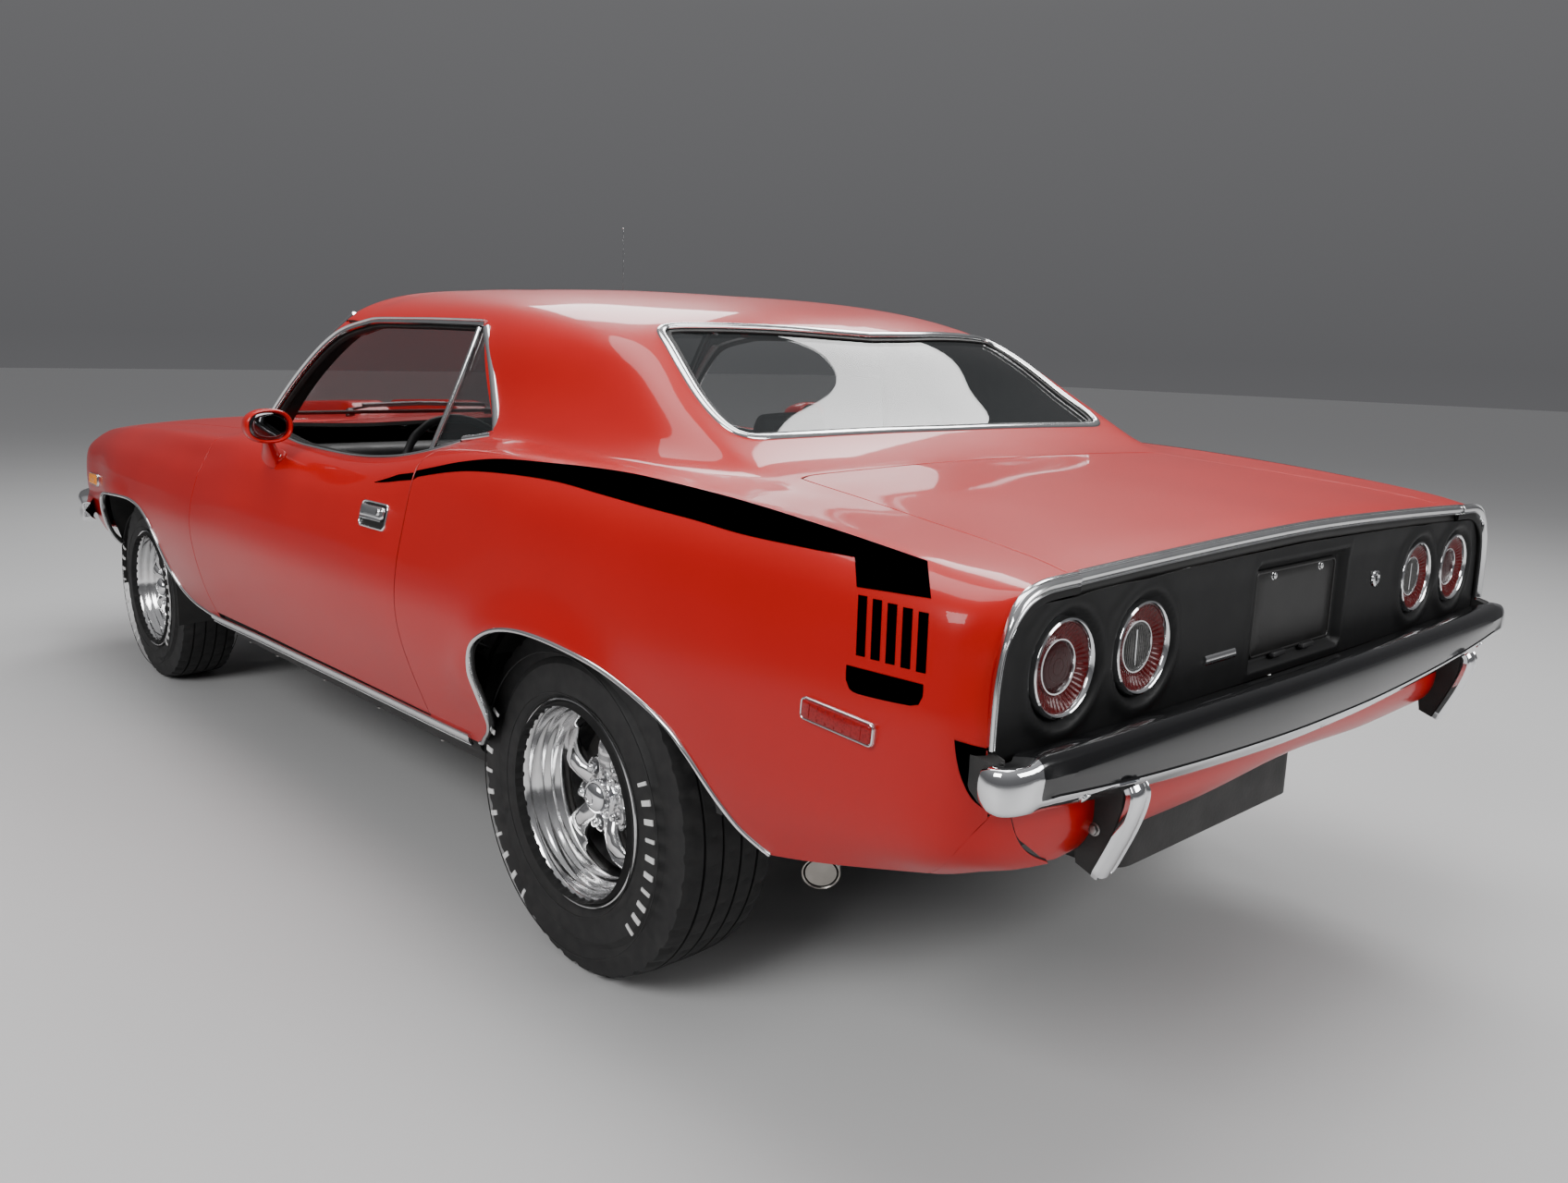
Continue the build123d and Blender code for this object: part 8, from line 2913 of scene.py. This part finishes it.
def build_dash():
    sec = smooth_poly([(1.640, .880), (1.628, .905), (1.590, .9115), (1.545, .9100), (1.512, .9020), (1.500, .886), (1.503, .872), (1.530, .862), (1.540, .845), (1.542, .770), (1.528, .745), (1.520, .725), (1.522, .690), (1.535, .664), (1.560, .653), (1.610, .652), (1.636, .665), (1.640, .70)], .012, closed=True, corner=[0, 17])
    c = sec.mean(0)
    s = Soup()
    rings = []
    for y in np.linspace(-.722, .722, 60):
        e = min(1.0, (.722 - abs(y)) / .020 + .25)
        hood = float(sst((abs(y - .370) - .235) / -.05)) if abs(y - .37) < .29 else 0
        q = c + (sec - c) * (.90 + .10 * e)
        q = q.copy()
        up = q[:, 1] > .862
        q[up, 0] -= .010 * hood * (q[up, 0] < 1.55)
        rings.append(np.stack([q[:, 0], np.full(len(q), y), q[:, 1]], 1))
    s.addp(loft(rings), 0)
    # instrument panel: bright-edged plate, dials
    s.addp(slab(rounded_rect(.470, .098, .020, 7), (1.5380, .370, .806), (0, -1, 0), (.06, 0, 1), .007, .002), 1)
    s.addp(slab(rounded_rect(.482, .110, .026, 7), (1.5405, .370, .806), (0, -1, 0), (.06, 0, 1), .006, .002), 2)
    for y, r in ((.500, .042), (.400, .042), (.318, .031), (.250, .031), (.188, .025)):
        c0 = (1.5350, y, .806)
        s.addp(revolve([(r * .90, .000), (r * 1.06, .000), (r * 1.08, .006), (r * 1.02, .011), (r * .94, .010), (r * .91, .004)], c0, (-1, 0, 0), 48), 2)
        s.addp(revolve([(0, .0022), (r * .92, .0022), (r * .92, -.002), (0, -.002)], c0, (-1, 0, 0), 40, closed_profile=False), 3)
        for k in range(11):
            w = math.radians(-130 + 26 * k)
            p = np.array([c0[0] - .0028, y - r * .74 * math.sin(w), .806 + r * .74 * math.cos(w)])
            d = np.array([0, -math.sin(w), math.cos(w)])
            s.addp(slab([(-.0009, -r * .08), (.0009, -r * .08), (.0009, r * .08), (-.0009, r * .08)], p, np.cross(d, [-1, 0, 0]), d, .0010, .0002), 4)
        w = math.radians(-60 + 40 * (y > .3) + 50 * (y > .45))
        d = np.array([0, -math.sin(w), math.cos(w)])
        s.addp(slab([(-.0018, -r * .12), (.0018, -r * .12), (.0004, r * .72), (-.0004, r * .72)], (c0[0] - .0040, y, .806), np.cross(d, [-1, 0, 0]), d, .0012, .0003), 4)
        s.addp(revolve([(0, 0), (r * .12, 0), (r * .10, .003), (0, .0036)], (c0[0] - .0030, y, .806), (-1, 0, 0), 20, closed_profile=False), 2)
    # radio blank, heater panel, vents, glove box
    s.addp(slab(rounded_rect(.190, .056, .006, 5), (1.5385, 0, .812), (0, -1, 0), (0, 0, 1), .008, .002), 1)
    for y in (-.066, .066):
        s.addp(revolve([(0, 0), (.014, 0), (.013, .016), (.010, .019), (0, .0195)], (1.534, y, .812), (-1, 0, 0), 28, closed_profile=False), 2)
    for k in range(4):
        s.addp(slab(rounded_rect(.020, .010, .003, 4), (1.5335, -.036 + k * .024, .806), (0, -1, 0), (0, 0, 1), .006, .001), 2)
    s.addp(slab(rounded_rect(.360, .150, .014, 6), (1.5290, -.385, .762), (0, -1, 0), (.04, 0, 1), .012, .004), 0)
    s.addp(slab(rounded_rect(.350, .020, .006, 5), (1.5240, -.385, .825), (0, -1, 0), (.04, 0, 1), .006, .002), 2)
    s.addp(revolve([(0, 0), (.012, 0), (.011, .010), (0, .012)], (1.5225, -.385, .705), (-1, 0, 0), 26, closed_profile=False), 2)
    for y in (-.62, .62, .10, -.10):
        s.addp(slab(rounded_rect(.095, .042, .008, 5), (1.5365, y, .742 if abs(y) < .2 else .80), (0, -1, 0), (0, 0, 1), .008, .002), 1)
        for k in range(5):
            z = (.742 if abs(y) < .2 else .80) - .014 + k * .007
            s.addp(box_part((1.5275, y - .042, z - .0012), (1.5335, y + .042, z + .0012), .0004), 0)
    s.make("dash_panel", ["vinyl", "black_satin", "chrome_trim", "gauge_face", "gauge_mark"], "body", replaces=("dashboard",), slot="black_plastic", angle=40)

    # steering wheel and column
    c = np.array([1.290, .370, .828])
    ax = np.array([-math.cos(math.radians(24)), 0, math.sin(math.radians(24))])
    yd = np.array([0, 1.0, 0])
    ud = np.cross(ax, yd)
    ud = ud if ud[2] > 0 else -ud
    s = Soup()
    n = 96
    loop = np.array([c + .1800 * (math.cos(a) * yd + math.sin(a) * ud) for a in np.linspace(0, 2 * math.pi, n, endpoint=False)])
    r = .0118 + .0008 * np.cos(np.arange(n) * 2 * math.pi / 6)
    s.addp(tube(loop, r, 18, closed=True), 0)
    for a in (90 + 75, 90 - 75, 270):
        w = math.radians(a)
        d = math.cos(w) * yd + math.sin(w) * ud
        e = np.cross(ax, d)
        pts = [(-.020, .028), (.020, .028), (.0150, .070), (.0135, .110), (.0150, .150), (.0200, .172), (-.0200, .172), (-.0150, .150), (-.0135, .110), (-.0150, .070)]
        o = smooth_poly(pts, .008, closed=True, corner=[0, 1, 5, 6])
        G = []
        for t in np.linspace(.030, .174, 16):
            k = (t - .03) / .144
            wd = np.interp(t, [.03, .07, .11, .15, .174], [.020, .015, .0135, .015, .020])
            G.append([c + d * t + e * q * wd - ax * (.026 * (1 - k)**1.4) + ax * .0015 * (1 - q * q) for q in np.linspace(-1, 1, 7)])
        s.addp(sheet_part(G, .0036, ax), 1)
        for t in (.075, .105, .133):
            k = (t - .03) / .144
            s.addp(revolve([(0, -.001), (.0062, -.001), (.0060, .0008), (0, .0010)], c + d * t - ax * (.026 * (1 - k)**1.4 - .0020), ax, 18, closed_profile=False), 2)
    s.addp(revolve([(0, -.052), (.026, -.052), (.034, -.040), (.044, -.030), (.046, -.018), (.042, -.008), (.030, -.001), (.012, .002), (0, .0025)], c, ax, 56, closed_profile=False), 2)
    s.addp(revolve([(.028, -.002), (.034, -.004), (.0345, .0006), (.031, .0028), (.028, .0016)], c, ax, 56), 1)
    s.make("steering_wheel_rim", ["vinyl", "polished_alloy", "plastic_black"], "steering_wheel", replaces=("steering_wheel",), slot="black_plastic", angle=45)
    s = Soup()
    p0, p1 = c - ax * .062, c - ax * .262
    path = np.array([p0 + (p1 - p0) * t for t in np.linspace(0, 1, 8)])
    s.addp(tube(path, np.interp(np.linspace(0, 1, 8), [0, .1, .5, 1], [.026, .030, .030, .033]), 32), 0)
    for sg, ln in ((1, .115), (-1, .095)):
        q0 = c - ax * .085 + yd * sg * .026
        q1 = q0 + yd * sg * ln + ud * .020 + ax * .006
        s.addp(tube(smooth_poly([q0, (q0 + q1) / 2 + ud * .004, q1], .012), .0040, 12), 1)
        s.addp(revolve([(0, -.002), (.0055, 0), (.0070, .012), (.0060, .022), (0, .026)], q1, unit(q1 - q0), 18, closed_profile=False), 0)
    s.make("steering_column", ["plastic_black", "chrome_trim"], "body", angle=45)
    # pedals, inner mirror, visors
    s = Soup()
    for y, w, h, z in ((.240, .055, .125, .430), (.400, .085, .060, .470), (.520, .075, .058, .470)):
        if y == .240:
            s.addp(slab(rounded_rect(w, h, .010, 5), (1.735, y, z), (0, -1, 0), (.45, 0, .9), .012, .003), 0)
        else:
            s.addp(slab(rounded_rect(w, h, .010, 5), (1.700, y, z), (0, -1, 0), (.40, 0, .9), .014, .003), 0)
        s.addp(tube(np.array([(1.745 if y == .24 else 1.712, y, z), (1.775, y, z + .10), (1.798, y, z + .185)]), .0065, 12), 1)
    s.addp(slab(rounded_rect(.215, .056, .022, 7), (1.392, 0, 1.2450), (0, -1, 0), (.10, 0, 1), .010, .003, .002), 1)
    s.addp(slab(rounded_rect(.204, .047, .019, 7), (1.3865, 0, 1.2448), (0, -1, 0), (.10, 0, 1), .004, .001), 2)
    s.addp(tube(smooth_poly([(1.398, 0, 1.247), (1.410, 0, 1.268), (1.415, 0, 1.290)], .01), .0050, 12), 1)
    s.make("cabin_small_parts", ["rubber_black", "chrome_trim", "mirror_glass"], "body", angle=45)
    for side, sg in (("left", 1), ("right", -1)):
        P = []
        for a in np.linspace(0, 1, 12):
            row = []
            for b in np.linspace(0, 1, 16):
                y = sg * (.070 + .400 * b)
                x = 1.385 - .090 * a - .035 * b**2
                z = 1.2920 - .040 * b**2 - .004 * a
                row.append((x, y, z))
            P.append(row)
        s = Soup()
        s.addp(sheet_part(P, .009, (0, 0, -1)), 0)
        s.make("sun_visor_" + side, ["headliner"], "body", angle=60)


build_seats()
build_trim()
build_dash()

# ---- end interior ----

# ---- section engine ----
def rbox(lo, hi, r=.012, axis=2, taper=1.0, n=6):
    """Box with rounded edges along one axis and soft ends."""
    lo, hi = np.array(lo, float), np.array(hi, float)
    o = [a for a in range(3) if a != axis]
    w, h = hi[o[0]] - lo[o[0]], hi[o[1]] - lo[o[1]]
    c0, c1 = (hi[o[0]] + lo[o[0]]) / 2, (hi[o[1]] + lo[o[1]]) / 2
    L = hi[axis] - lo[axis]
    rings = []
    b = min(r * .5, L * .2)
    for t, k in ((0, 1 - 2 * b / min(w, h)), (b * .4, 1 - .8 * b / min(w, h)), (b, 1.0), (L - b, 1.0), (L - b * .4, 1 - .8 * b / min(w, h)), (L, 1 - 2 * b / min(w, h))):
        kk = k * (1 + (taper - 1) * t / L)
        q = np.array(rounded_rect(w * kk, h * kk, r * kk, n))
        p = np.zeros((len(q), 3))
        p[:, o[0]], p[:, o[1]], p[:, axis] = c0 + q[:, 0], c1 + q[:, 1], lo[axis] + t
        rings.append(p)
    return loft(rings)


def build_engine():
    s = Soup()
    # crankcase, sump, bell housing and gearbox nose
    s.addp(rbox((2.290, -.150, .470), (2.880, .150, .600), .030, 0), 0)
    s.addp(rbox((2.350, -.120, .4210), (2.860, .120, .476), .035, 0), 1)
    s.addp(revolve([(.060, 0), (.175, .004), (.178, .030), (.165, .050), (.150, .060), (.060, .060)], (2.232, 0, .585), (1, 0, 0), 56), 2)
    # banks at 45 degrees, heads and covers
    for sg in (1, -1):
        c = (2.585, 0, .520)

        def bank(part, mat):
            s.addp(rotated(part, (1, 0, 0), -45 * sg, c), mat)
        bank(rbox((2.300, -.080, .540), (2.870, .080, .710), .016, 0), 0)
        bank(rbox((2.310, -.088, .708), (2.860, .088, .766), .012, 0), 0)
        cov = []
        for x, k in ((2.318, .86), (2.326, .97), (2.340, 1.0), (2.830, 1.0), (2.844, .97), (2.852, .86)):
            q = [(.070 * k * math.copysign(abs(math.cos(w))**.55, math.cos(w)), .7950 + .030 * k * math.copysign(abs(math.sin(w))**.55, math.sin(w))) for w in np.linspace(0, 2 * math.pi, 32, endpoint=False)]
            cov.append([(x, a, b) for a, b in q])
        bank(loft(cov), 3)
        bank(box_part((2.312, -.078, .7640), (2.858, .078, .7700), .001), 3)
        for x in np.linspace(2.345, 2.825, 6):
            for y in (-.070, .070):
                bank(bolt((x, y, .7702), (0, 0, 1), .0060, .0050), 4)
        for x in (2.42, 2.76):
            bank(revolve([(0, -.006), (.0200, -.006), (.0200, .006), (.0160, .012), (0, .013)], (x, 0, .829), (0, 0, 1), 28, closed_profile=False), 4)
        # exhaust manifold on the outer side
        for k, x in enumerate((2.36, 2.50, 2.66, 2.80)):
            path = smooth_poly([(x, sg * .205, .640), (x - .005, sg * .243, .628), (x - .020, sg * .262, .600), (x - .045, sg * .265, .575)], .012)
            s.addp(tube(path, .0215, 16), 5)
        s.addp(tube(smooth_poly([(2.80, sg * .266, .575), (2.60, sg * .268, .565), (2.42, sg * .266, .555), (2.36, sg * .262, .520), (2.33, sg * .258, .455)], .02), .0300, 20), 5)
        # plug leads
        for x in (2.38, 2.53, 2.66, 2.79):
            s.addp(tube(smooth_poly([(2.330, sg * .015, .770), (2.345 + (x - 2.33) * .4, sg * .10, .815), (x, sg * .262, .735), (x + .004, sg * .262, .680)], .014), .0042, 8), 6)
    # intake, carburettor and air cleaner
    s.addp(rbox((2.380, -.105, .690), (2.800, .105, .735), .020, 0), 0)
    for sg in (1, -1):
        for x in (2.41, 2.52, 2.66, 2.77):
            s.addp(tube(smooth_poly([(2.59, 0, .745), (x * .55 + 2.59 * .45, sg * .050, .748), (x, sg * .112, .722)], .014), .0215, 14), 0)
    s.addp(rbox((2.520, -.055, .740), (2.660, .055, .795), .014, 2), 7)
    s.addp(revolve([(0, .006), (.060, .004), (.085, -.002), (.180, -.006), (.190, -.002), (.193, .006), (.186, .010), (.186, .052), (.193, .056), (.190, .064), (.176, .067), (.100, .074), (.030, .078), (0, .078)], (2.590, 0, .790), (0, 0, 1), 96, closed_profile=False), 3)
    s.addp(revolve([(.1875, .012), (.1885, .014), (.1885, .050), (.1875, .052), (.184, .052), (.184, .012)], (2.590, 0, .790), (0, 0, 1), 96), 8)
    s.addp(revolve([(0, -.002), (.016, -.001), (.013, .008), (.006, .013), (0, .014)], (2.590, 0, .868), (0, 0, 1), 6, closed_profile=False), 4)
    # distributor, fuel pump line, dipstick
    s.addp(revolve([(0, -.05), (.030, -.045), (.036, -.010), (.040, .012), (.034, .030), (.020, .036), (0, .036)], (2.330, 0, .730), (-.15, 0, 1), 30, closed_profile=False), 6)
    s.addp(tube(smooth_poly([(2.84, .14, .48), (2.86, .20, .60), (2.85, .235, .76), (2.85, .24, .80)], .02), .0040, 10), 4)
    # pulleys, belts and fan
    for y, z, r, x0 in ((0, .520, .078, 2.895), (0, .655, .070, 2.895), (.165, .720, .045, 2.895), (-.185, .640, .055, 2.895)):
        s.addp(revolve([(.012, -.012), (r, -.012), (r + .004, -.008), (r - .006, 0), (r + .004, .008), (r, .012), (.012, .012)], (x0, y, z), (1, 0, 0), 44), 9)
    for a, b, ra, rb in (((0, .520), (0, .655), .075, .067), ((0, .655), (.165, .720), .067, .042), ((0, .520), (-.185, .640), .075, .052)):
        a, b = np.array(a), np.array(b)
        d = b - a
        L = np.linalg.norm(d)
        base = math.atan2(d[1], d[0])
        off = math.acos((ra - rb) / L)
        pts = [(a[0] + ra * math.cos(t), a[1] + ra * math.sin(t)) for t in np.linspace(base + off, base + 2 * math.pi - off, 26)]
        pts += [(b[0] + rb * math.cos(t), b[1] + rb * math.sin(t)) for t in np.linspace(base - off, base + off, 20)]
        s.addp(tube(np.array([(2.895, p[0], p[1]) for p in pts]), .0058, 8, closed=True), 6)
    s.addp(rbox((2.780, .115, .670), (2.880, .215, .770), .045, 0), 2)
    s.addp(rbox((2.780, -.235, .590), (2.880, -.135, .690), .040, 0), 1)
    s.addp(revolve([(0, 0), (.030, 0), (.032, .020), (.024, .030), (0, .031)], (2.915, 0, .655), (1, 0, 0), 30, closed_profile=False), 9)
    for k in range(7):
        w = 2 * math.pi * k / 7 + .2
        e = np.array([0, math.cos(w), math.sin(w)])
        f = np.array([0, -math.sin(w), math.cos(w)])
        G = []
        for t in np.linspace(.030, .205, 12):
            wd = .020 + .030 * min(1, (t - .03) / .12)
            G.append([np.array([2.932, 0, .655]) + e * t + f * q * wd + np.array([1, 0, 0]) * (-q * .018 + .004 * (1 - q * q)) for q in np.linspace(-1, 1, 6)])
        s.addp(sheet_part(G, .0020, (1, 0, 0)), 9)
    s.make("engine_assembly", ["engine_paint", "black_satin", "cast_alloy", "black_texture", "chrome_trim", "cast_iron", "rubber_black", "cast_alloy", "carpet", "bare_steel"], "body", replaces=("engine",), slot="engine_paint", angle=40)

    # radiator, shroud, hoses
    s = Soup()
    s.addp(rbox((3.335, -.330, .430), (3.385, .330, .770), .008, 0), 0)
    s.addp(rbox((3.325, -.335, .768), (3.392, .335, .805), .016, 1), 0)
    s.addp(rbox((3.325, -.335, .396), (3.392, .335, .432), .016, 1), 0)
    s.addp(revolve([(0, 0), (.024, 0), (.024, .012), (.018, .016), (0, .017)], (3.358, .12, .805), (0, 0, 1), 30, closed_profile=False), 2)
    for z in np.arange(.445, .760, .0105):
        s.addp(box_part((3.3325, -.318, z), (3.3345, .318, z + .0025), .0003), 3)
    ring = []
    for x, r in ((3.030, .232), (3.034, .226), (3.100, .228), (3.325, .300), (3.329, .306), (3.100, .234), (3.040, .236)):
        q = [(x, (r if r < .29 else .318) * math.copysign(abs(math.cos(w))**(1 if r < .29 else .45), math.cos(w)), .610 + (r if r < .29 else .152) * math.copysign(abs(math.sin(w))**(1 if r < .29 else .45), math.sin(w))) for w in np.linspace(0, 2 * math.pi, 64, endpoint=False)]
        ring.append(np.array(q))
    s.addp(loft(ring + [ring[0]], cap=False), 1)
    s.addp(tube(smooth_poly([(2.86, .030, .735), (2.96, .060, .775), (3.14, .150, .800), (3.24, .20, .800), (3.325, .215, .786)], .02), .0210, 18), 4)
    s.addp(tube(smooth_poly([(2.90, -.080, .560), (2.99, -.200, .480), (3.15, -.262, .440), (3.325, -.262, .415)], .02), .0210, 18), 4)
    s.make("radiator", ["black_satin", "plastic_black", "bare_steel", "gunmetal", "rubber_black"], "body", angle=42)

    # battery, master cylinder, washer bottle, heater hoses, brake lines
    s = Soup()
    s.addp(rbox((3.080, -.400, .560), (3.300, -.245, .730), .010, 2), 0)
    s.addp(rbox((3.076, -.404, .728), (3.304, -.241, .748), .010, 2), 0)
    for x in (3.11, 3.15, 3.19, 3.23, 3.27):
        s.addp(revolve([(0, -.002), (.011, -.002), (.010, .006), (0, .007)], (x, -.322, .748), (0, 0, 1), 20, closed_profile=False), 1)
    for x, m in ((3.105, 2), (3.275, 1)):
        s.addp(revolve([(0, -.002), (.009, -.002), (.008, .016), (0, .017)], (x, -.270, .748), (0, 0, 1), 20, closed_profile=False), 3)
        s.addp(rbox((x - .014, -.284, .752), (x + .014, -.256, .768), .006, 2), m)
    s.addp(tube(smooth_poly([(3.105, -.270, .765), (3.02, -.262, .775), (2.93, -.285, .70), (2.88, -.30, .60)], .02), .0062, 12), 2)
    s.addp(tube(smooth_poly([(3.275, -.270, .765), (3.300, -.240, .770), (3.315, -.238, .70), (3.30, -.25, .52), (3.18, -.395, .45)], .02), .0062, 12), 1)
    s.addp(box_part((3.060, -.408, .548), (3.320, -.236, .560), .002), 3)
    s.addp(revolve([(0, -.010), (.058, -.010), (.120, .004), (.124, .020), (.112, .060), (.060, .078), (0, .080)], (1.842, .360, .760), (1, 0, .05), 56, closed_profile=False), 0)
    s.addp(rbox((1.920, .325, .745), (2.080, .395, .800), .014, 0), 4)
    s.addp(rbox((1.950, .318, .798), (2.070, .402, .826), .012, 2), 3)
    s.addp(tube(smooth_poly([(1.96, .340, .830), (2.01, .338, .836), (2.065, .340, .830)], .01), .0028, 8), 3)
    for d in (.0, .03):
        s.addp(tube(smooth_poly([(1.98 + d, .320, .760), (1.99 + d, .300, .70), (1.93 + d, .298, .60), (1.90, .300, .50)], .02), .0030, 8), 3)
    s.addp(rbox((1.860, -.395, .600), (2.020, -.285, .760), .024, 2, 1.05), 5)
    s.addp(revolve([(0, 0), (.030, 0), (.030, .014), (.024, .018), (0, .018)], (1.93, -.34, .760), (0, 0, 1), 28, closed_profile=False), 0)
    for y in (-.12, -.17):
        s.addp(tube(smooth_poly([(1.838, y, .780), (1.90, y, .790), (2.05, y - .03, .800), (2.20, y - .05, .790), (2.36, y + .03, .745)], .02), .0095, 12), 0)
    s.add(*slab(rounded_rect(.230, .150, .010, 5), (1.842, -.26, .845), (0, 1, 0), (0, 0, 1), .030, .004), 0)
    s.make("engine_bay_parts", ["plastic_black", "rubber_black", "lens_red_dark", "bare_steel", "cast_iron", "lens_clear"], "body", angle=42)

    # inner wings and wheel liners
    s = Soup()
    for sg in (1, -1):
        G = []
        for x in np.linspace(1.965, 3.375, 48):
            yo = float(np.interp(x, [a for a, b in HOOD_SIDE], [b for a, b in HOOD_SIDE])) + .004
            row = []
            for t in np.linspace(0, 1, 14):
                y = .4305 + (yo - .4305) * t
                z = .8300 + .030 * t + .010 * math.sin(math.pi * t) - (.018 * float(sst((x - 3.2) / .2)))
                row.append((x, sg * y, z))
            G.append(row)
        s.addp(sheet_part(G, .004, (0, 0, 1)), 0)
        G = []
        for a in np.linspace(-8, 188, 50):
            c, d = math.cos(math.radians(a)), math.sin(math.radians(a))
            x, z = FX + .4335 * c, .330 + .430 * d
            yo = float(side_point(np.array([x]), np.array([max(z, .46)]))[0][1]) - .030
            G.append([(x, sg * (.4315 + (yo - .4315) * t), z + .010 * math.sin(math.pi * t)) for t in np.linspace(0, 1, 12)])
        s.addp(sheet_part(G, .003, (0, 0, 1)), 1)
        for x in (2.15, 2.45, 2.75, 3.05, 3.28):
            yo = float(np.interp(x, [a for a, b in HOOD_SIDE], [b for a, b in HOOD_SIDE])) - .020
            s.addp(bolt((x, sg * yo, .8635 - .018 * float(sst((x - 3.2) / .2))), (0, 0, 1), .0085, .006), 2)
    s.make("inner_wings", ["jamb_paint", "under_black", "bare_steel"], "body", angle=50)
    # boot mat
    s = Soup()
    G = [[(x, y, .5225 + .0015 * math.sin(19 * x) * math.cos(13 * y)) for y in np.linspace(-.545, .545, 34)] for x in np.linspace(-.845, .010, 30)]
    s.addp(sheet_part(G, .0030, (0, 0, 1)), 0)
    s.make("boot_mat", ["carpet"], "body", angle=60)


build_engine()

# ---- end engine ----

# =====================================================================================
# Camera, light and floor
# =====================================================================================


def stage():
    cam = bpy.data.cameras.new("camera")
    cam.sensor_width = 36.0
    cam.lens = 28.48
    cam.clip_start, cam.clip_end = 0.05, 200
    co = bpy.data.objects.new("camera", cam)
    bpy.context.scene.collection.objects.link(co)
    right, up, back = CAM_AXES
    m = Matrix.Identity(4)
    for k, a in enumerate((right, up, back)):
        for r in range(3):
            m[r][k] = a[r]
    for r in range(3):
        m[r][3] = CAM_POS[r]
    co.matrix_world = m
    bpy.context.scene.camera = co

    fm = bpy.data.materials.new("floor_pale")
    fm.use_nodes = True
    nt = fm.node_tree
    b = nt.nodes["Principled BSDF"]
    b.inputs["Roughness"].default_value = 0.55
    t = nt.nodes.new("ShaderNodeTexNoise")
    t.inputs["Scale"].default_value = 0.7
    r = nt.nodes.new("ShaderNodeValToRGB")
    r.color_ramp.elements[0].color = (0.50, 0.50, 0.50, 1)
    r.color_ramp.elements[1].color = (0.54, 0.54, 0.54, 1)
    nt.links.new(t.outputs["Fac"], r.inputs["Fac"])
    nt.links.new(r.outputs["Color"], b.inputs["Base Color"])
    me = bpy.data.meshes.new("floor")
    s = 40.0
    me.from_pydata([(-s, -s, -.0006), (s, -s, -.0006), (s, s, -.0006), (-s, s, -.0006)], [], [(0, 1, 2, 3)])
    me.materials.append(fm)
    fo = bpy.data.objects.new("floor", me)
    bpy.context.scene.collection.objects.link(fo)

    world = bpy.data.worlds.new("studio")
    bpy.context.scene.world = world
    world.use_nodes = True
    nt = world.node_tree
    bg = nt.nodes["Background"]
    tc = nt.nodes.new("ShaderNodeTexCoord")
    sp = nt.nodes.new("ShaderNodeSeparateXYZ")
    rp = nt.nodes.new("ShaderNodeValToRGB")
    el = rp.color_ramp.elements
    el[0].position, el[0].color = 0.0, (0.30, 0.30, 0.30, 1)
    el[1].position, el[1].color = 1.0, (0.42, 0.42, 0.43, 1)
    e = el.new(0.5)
    e.color = (0.115, 0.115, 0.12, 1)
    e = el.new(0.62)
    e.color = (0.15, 0.15, 0.155, 1)
    mr = nt.nodes.new("ShaderNodeMapRange")
    mr.inputs["From Min"].default_value = -1
    mr.inputs["From Max"].default_value = 1
    nt.links.new(tc.outputs["Generated"], sp.inputs[0])
    nt.links.new(sp.outputs["Z"], mr.inputs["Value"])
    nt.links.new(mr.outputs["Result"], rp.inputs["Fac"])
    nt.links.new(rp.outputs["Color"], bg.inputs["Color"])
    bg.inputs["Strength"].default_value = 1.0

    def area(name, loc, target, sx, sy, power):
        l = bpy.data.lights.new(name, "AREA")
        l.shape = "RECTANGLE"
        l.size, l.size_y = sx, sy
        l.energy = power
        o = bpy.data.objects.new(name, l)
        bpy.context.scene.collection.objects.link(o)
        o.location = loc
        d = Vector(target) - Vector(loc)
        o.rotation_euler = d.to_track_quat("-Z", "Y").to_euler()
    area("key", (-2.2, 5.6, 4.2), (-.3, 0.4, .5), 3.6, 2.4, 300)
    area("top", (-.4, .3, 5.2), (-.3, 0, .8), 5.0, 2.4, 210)
    area("rear", (-6.6, -1.4, 3.4), (-1.8, 0, .6), 3.2, 2.0, 190)
    area("front", (4.8, -3.2, 5.6), (1.2, 0, .6), 3.2, 2.0, 210)
    area("right", (0.4, -4.4, 5.2), (0, 0, .6), 3.6, 1.6, 190)


stage()

bpy.context.view_layer.update()
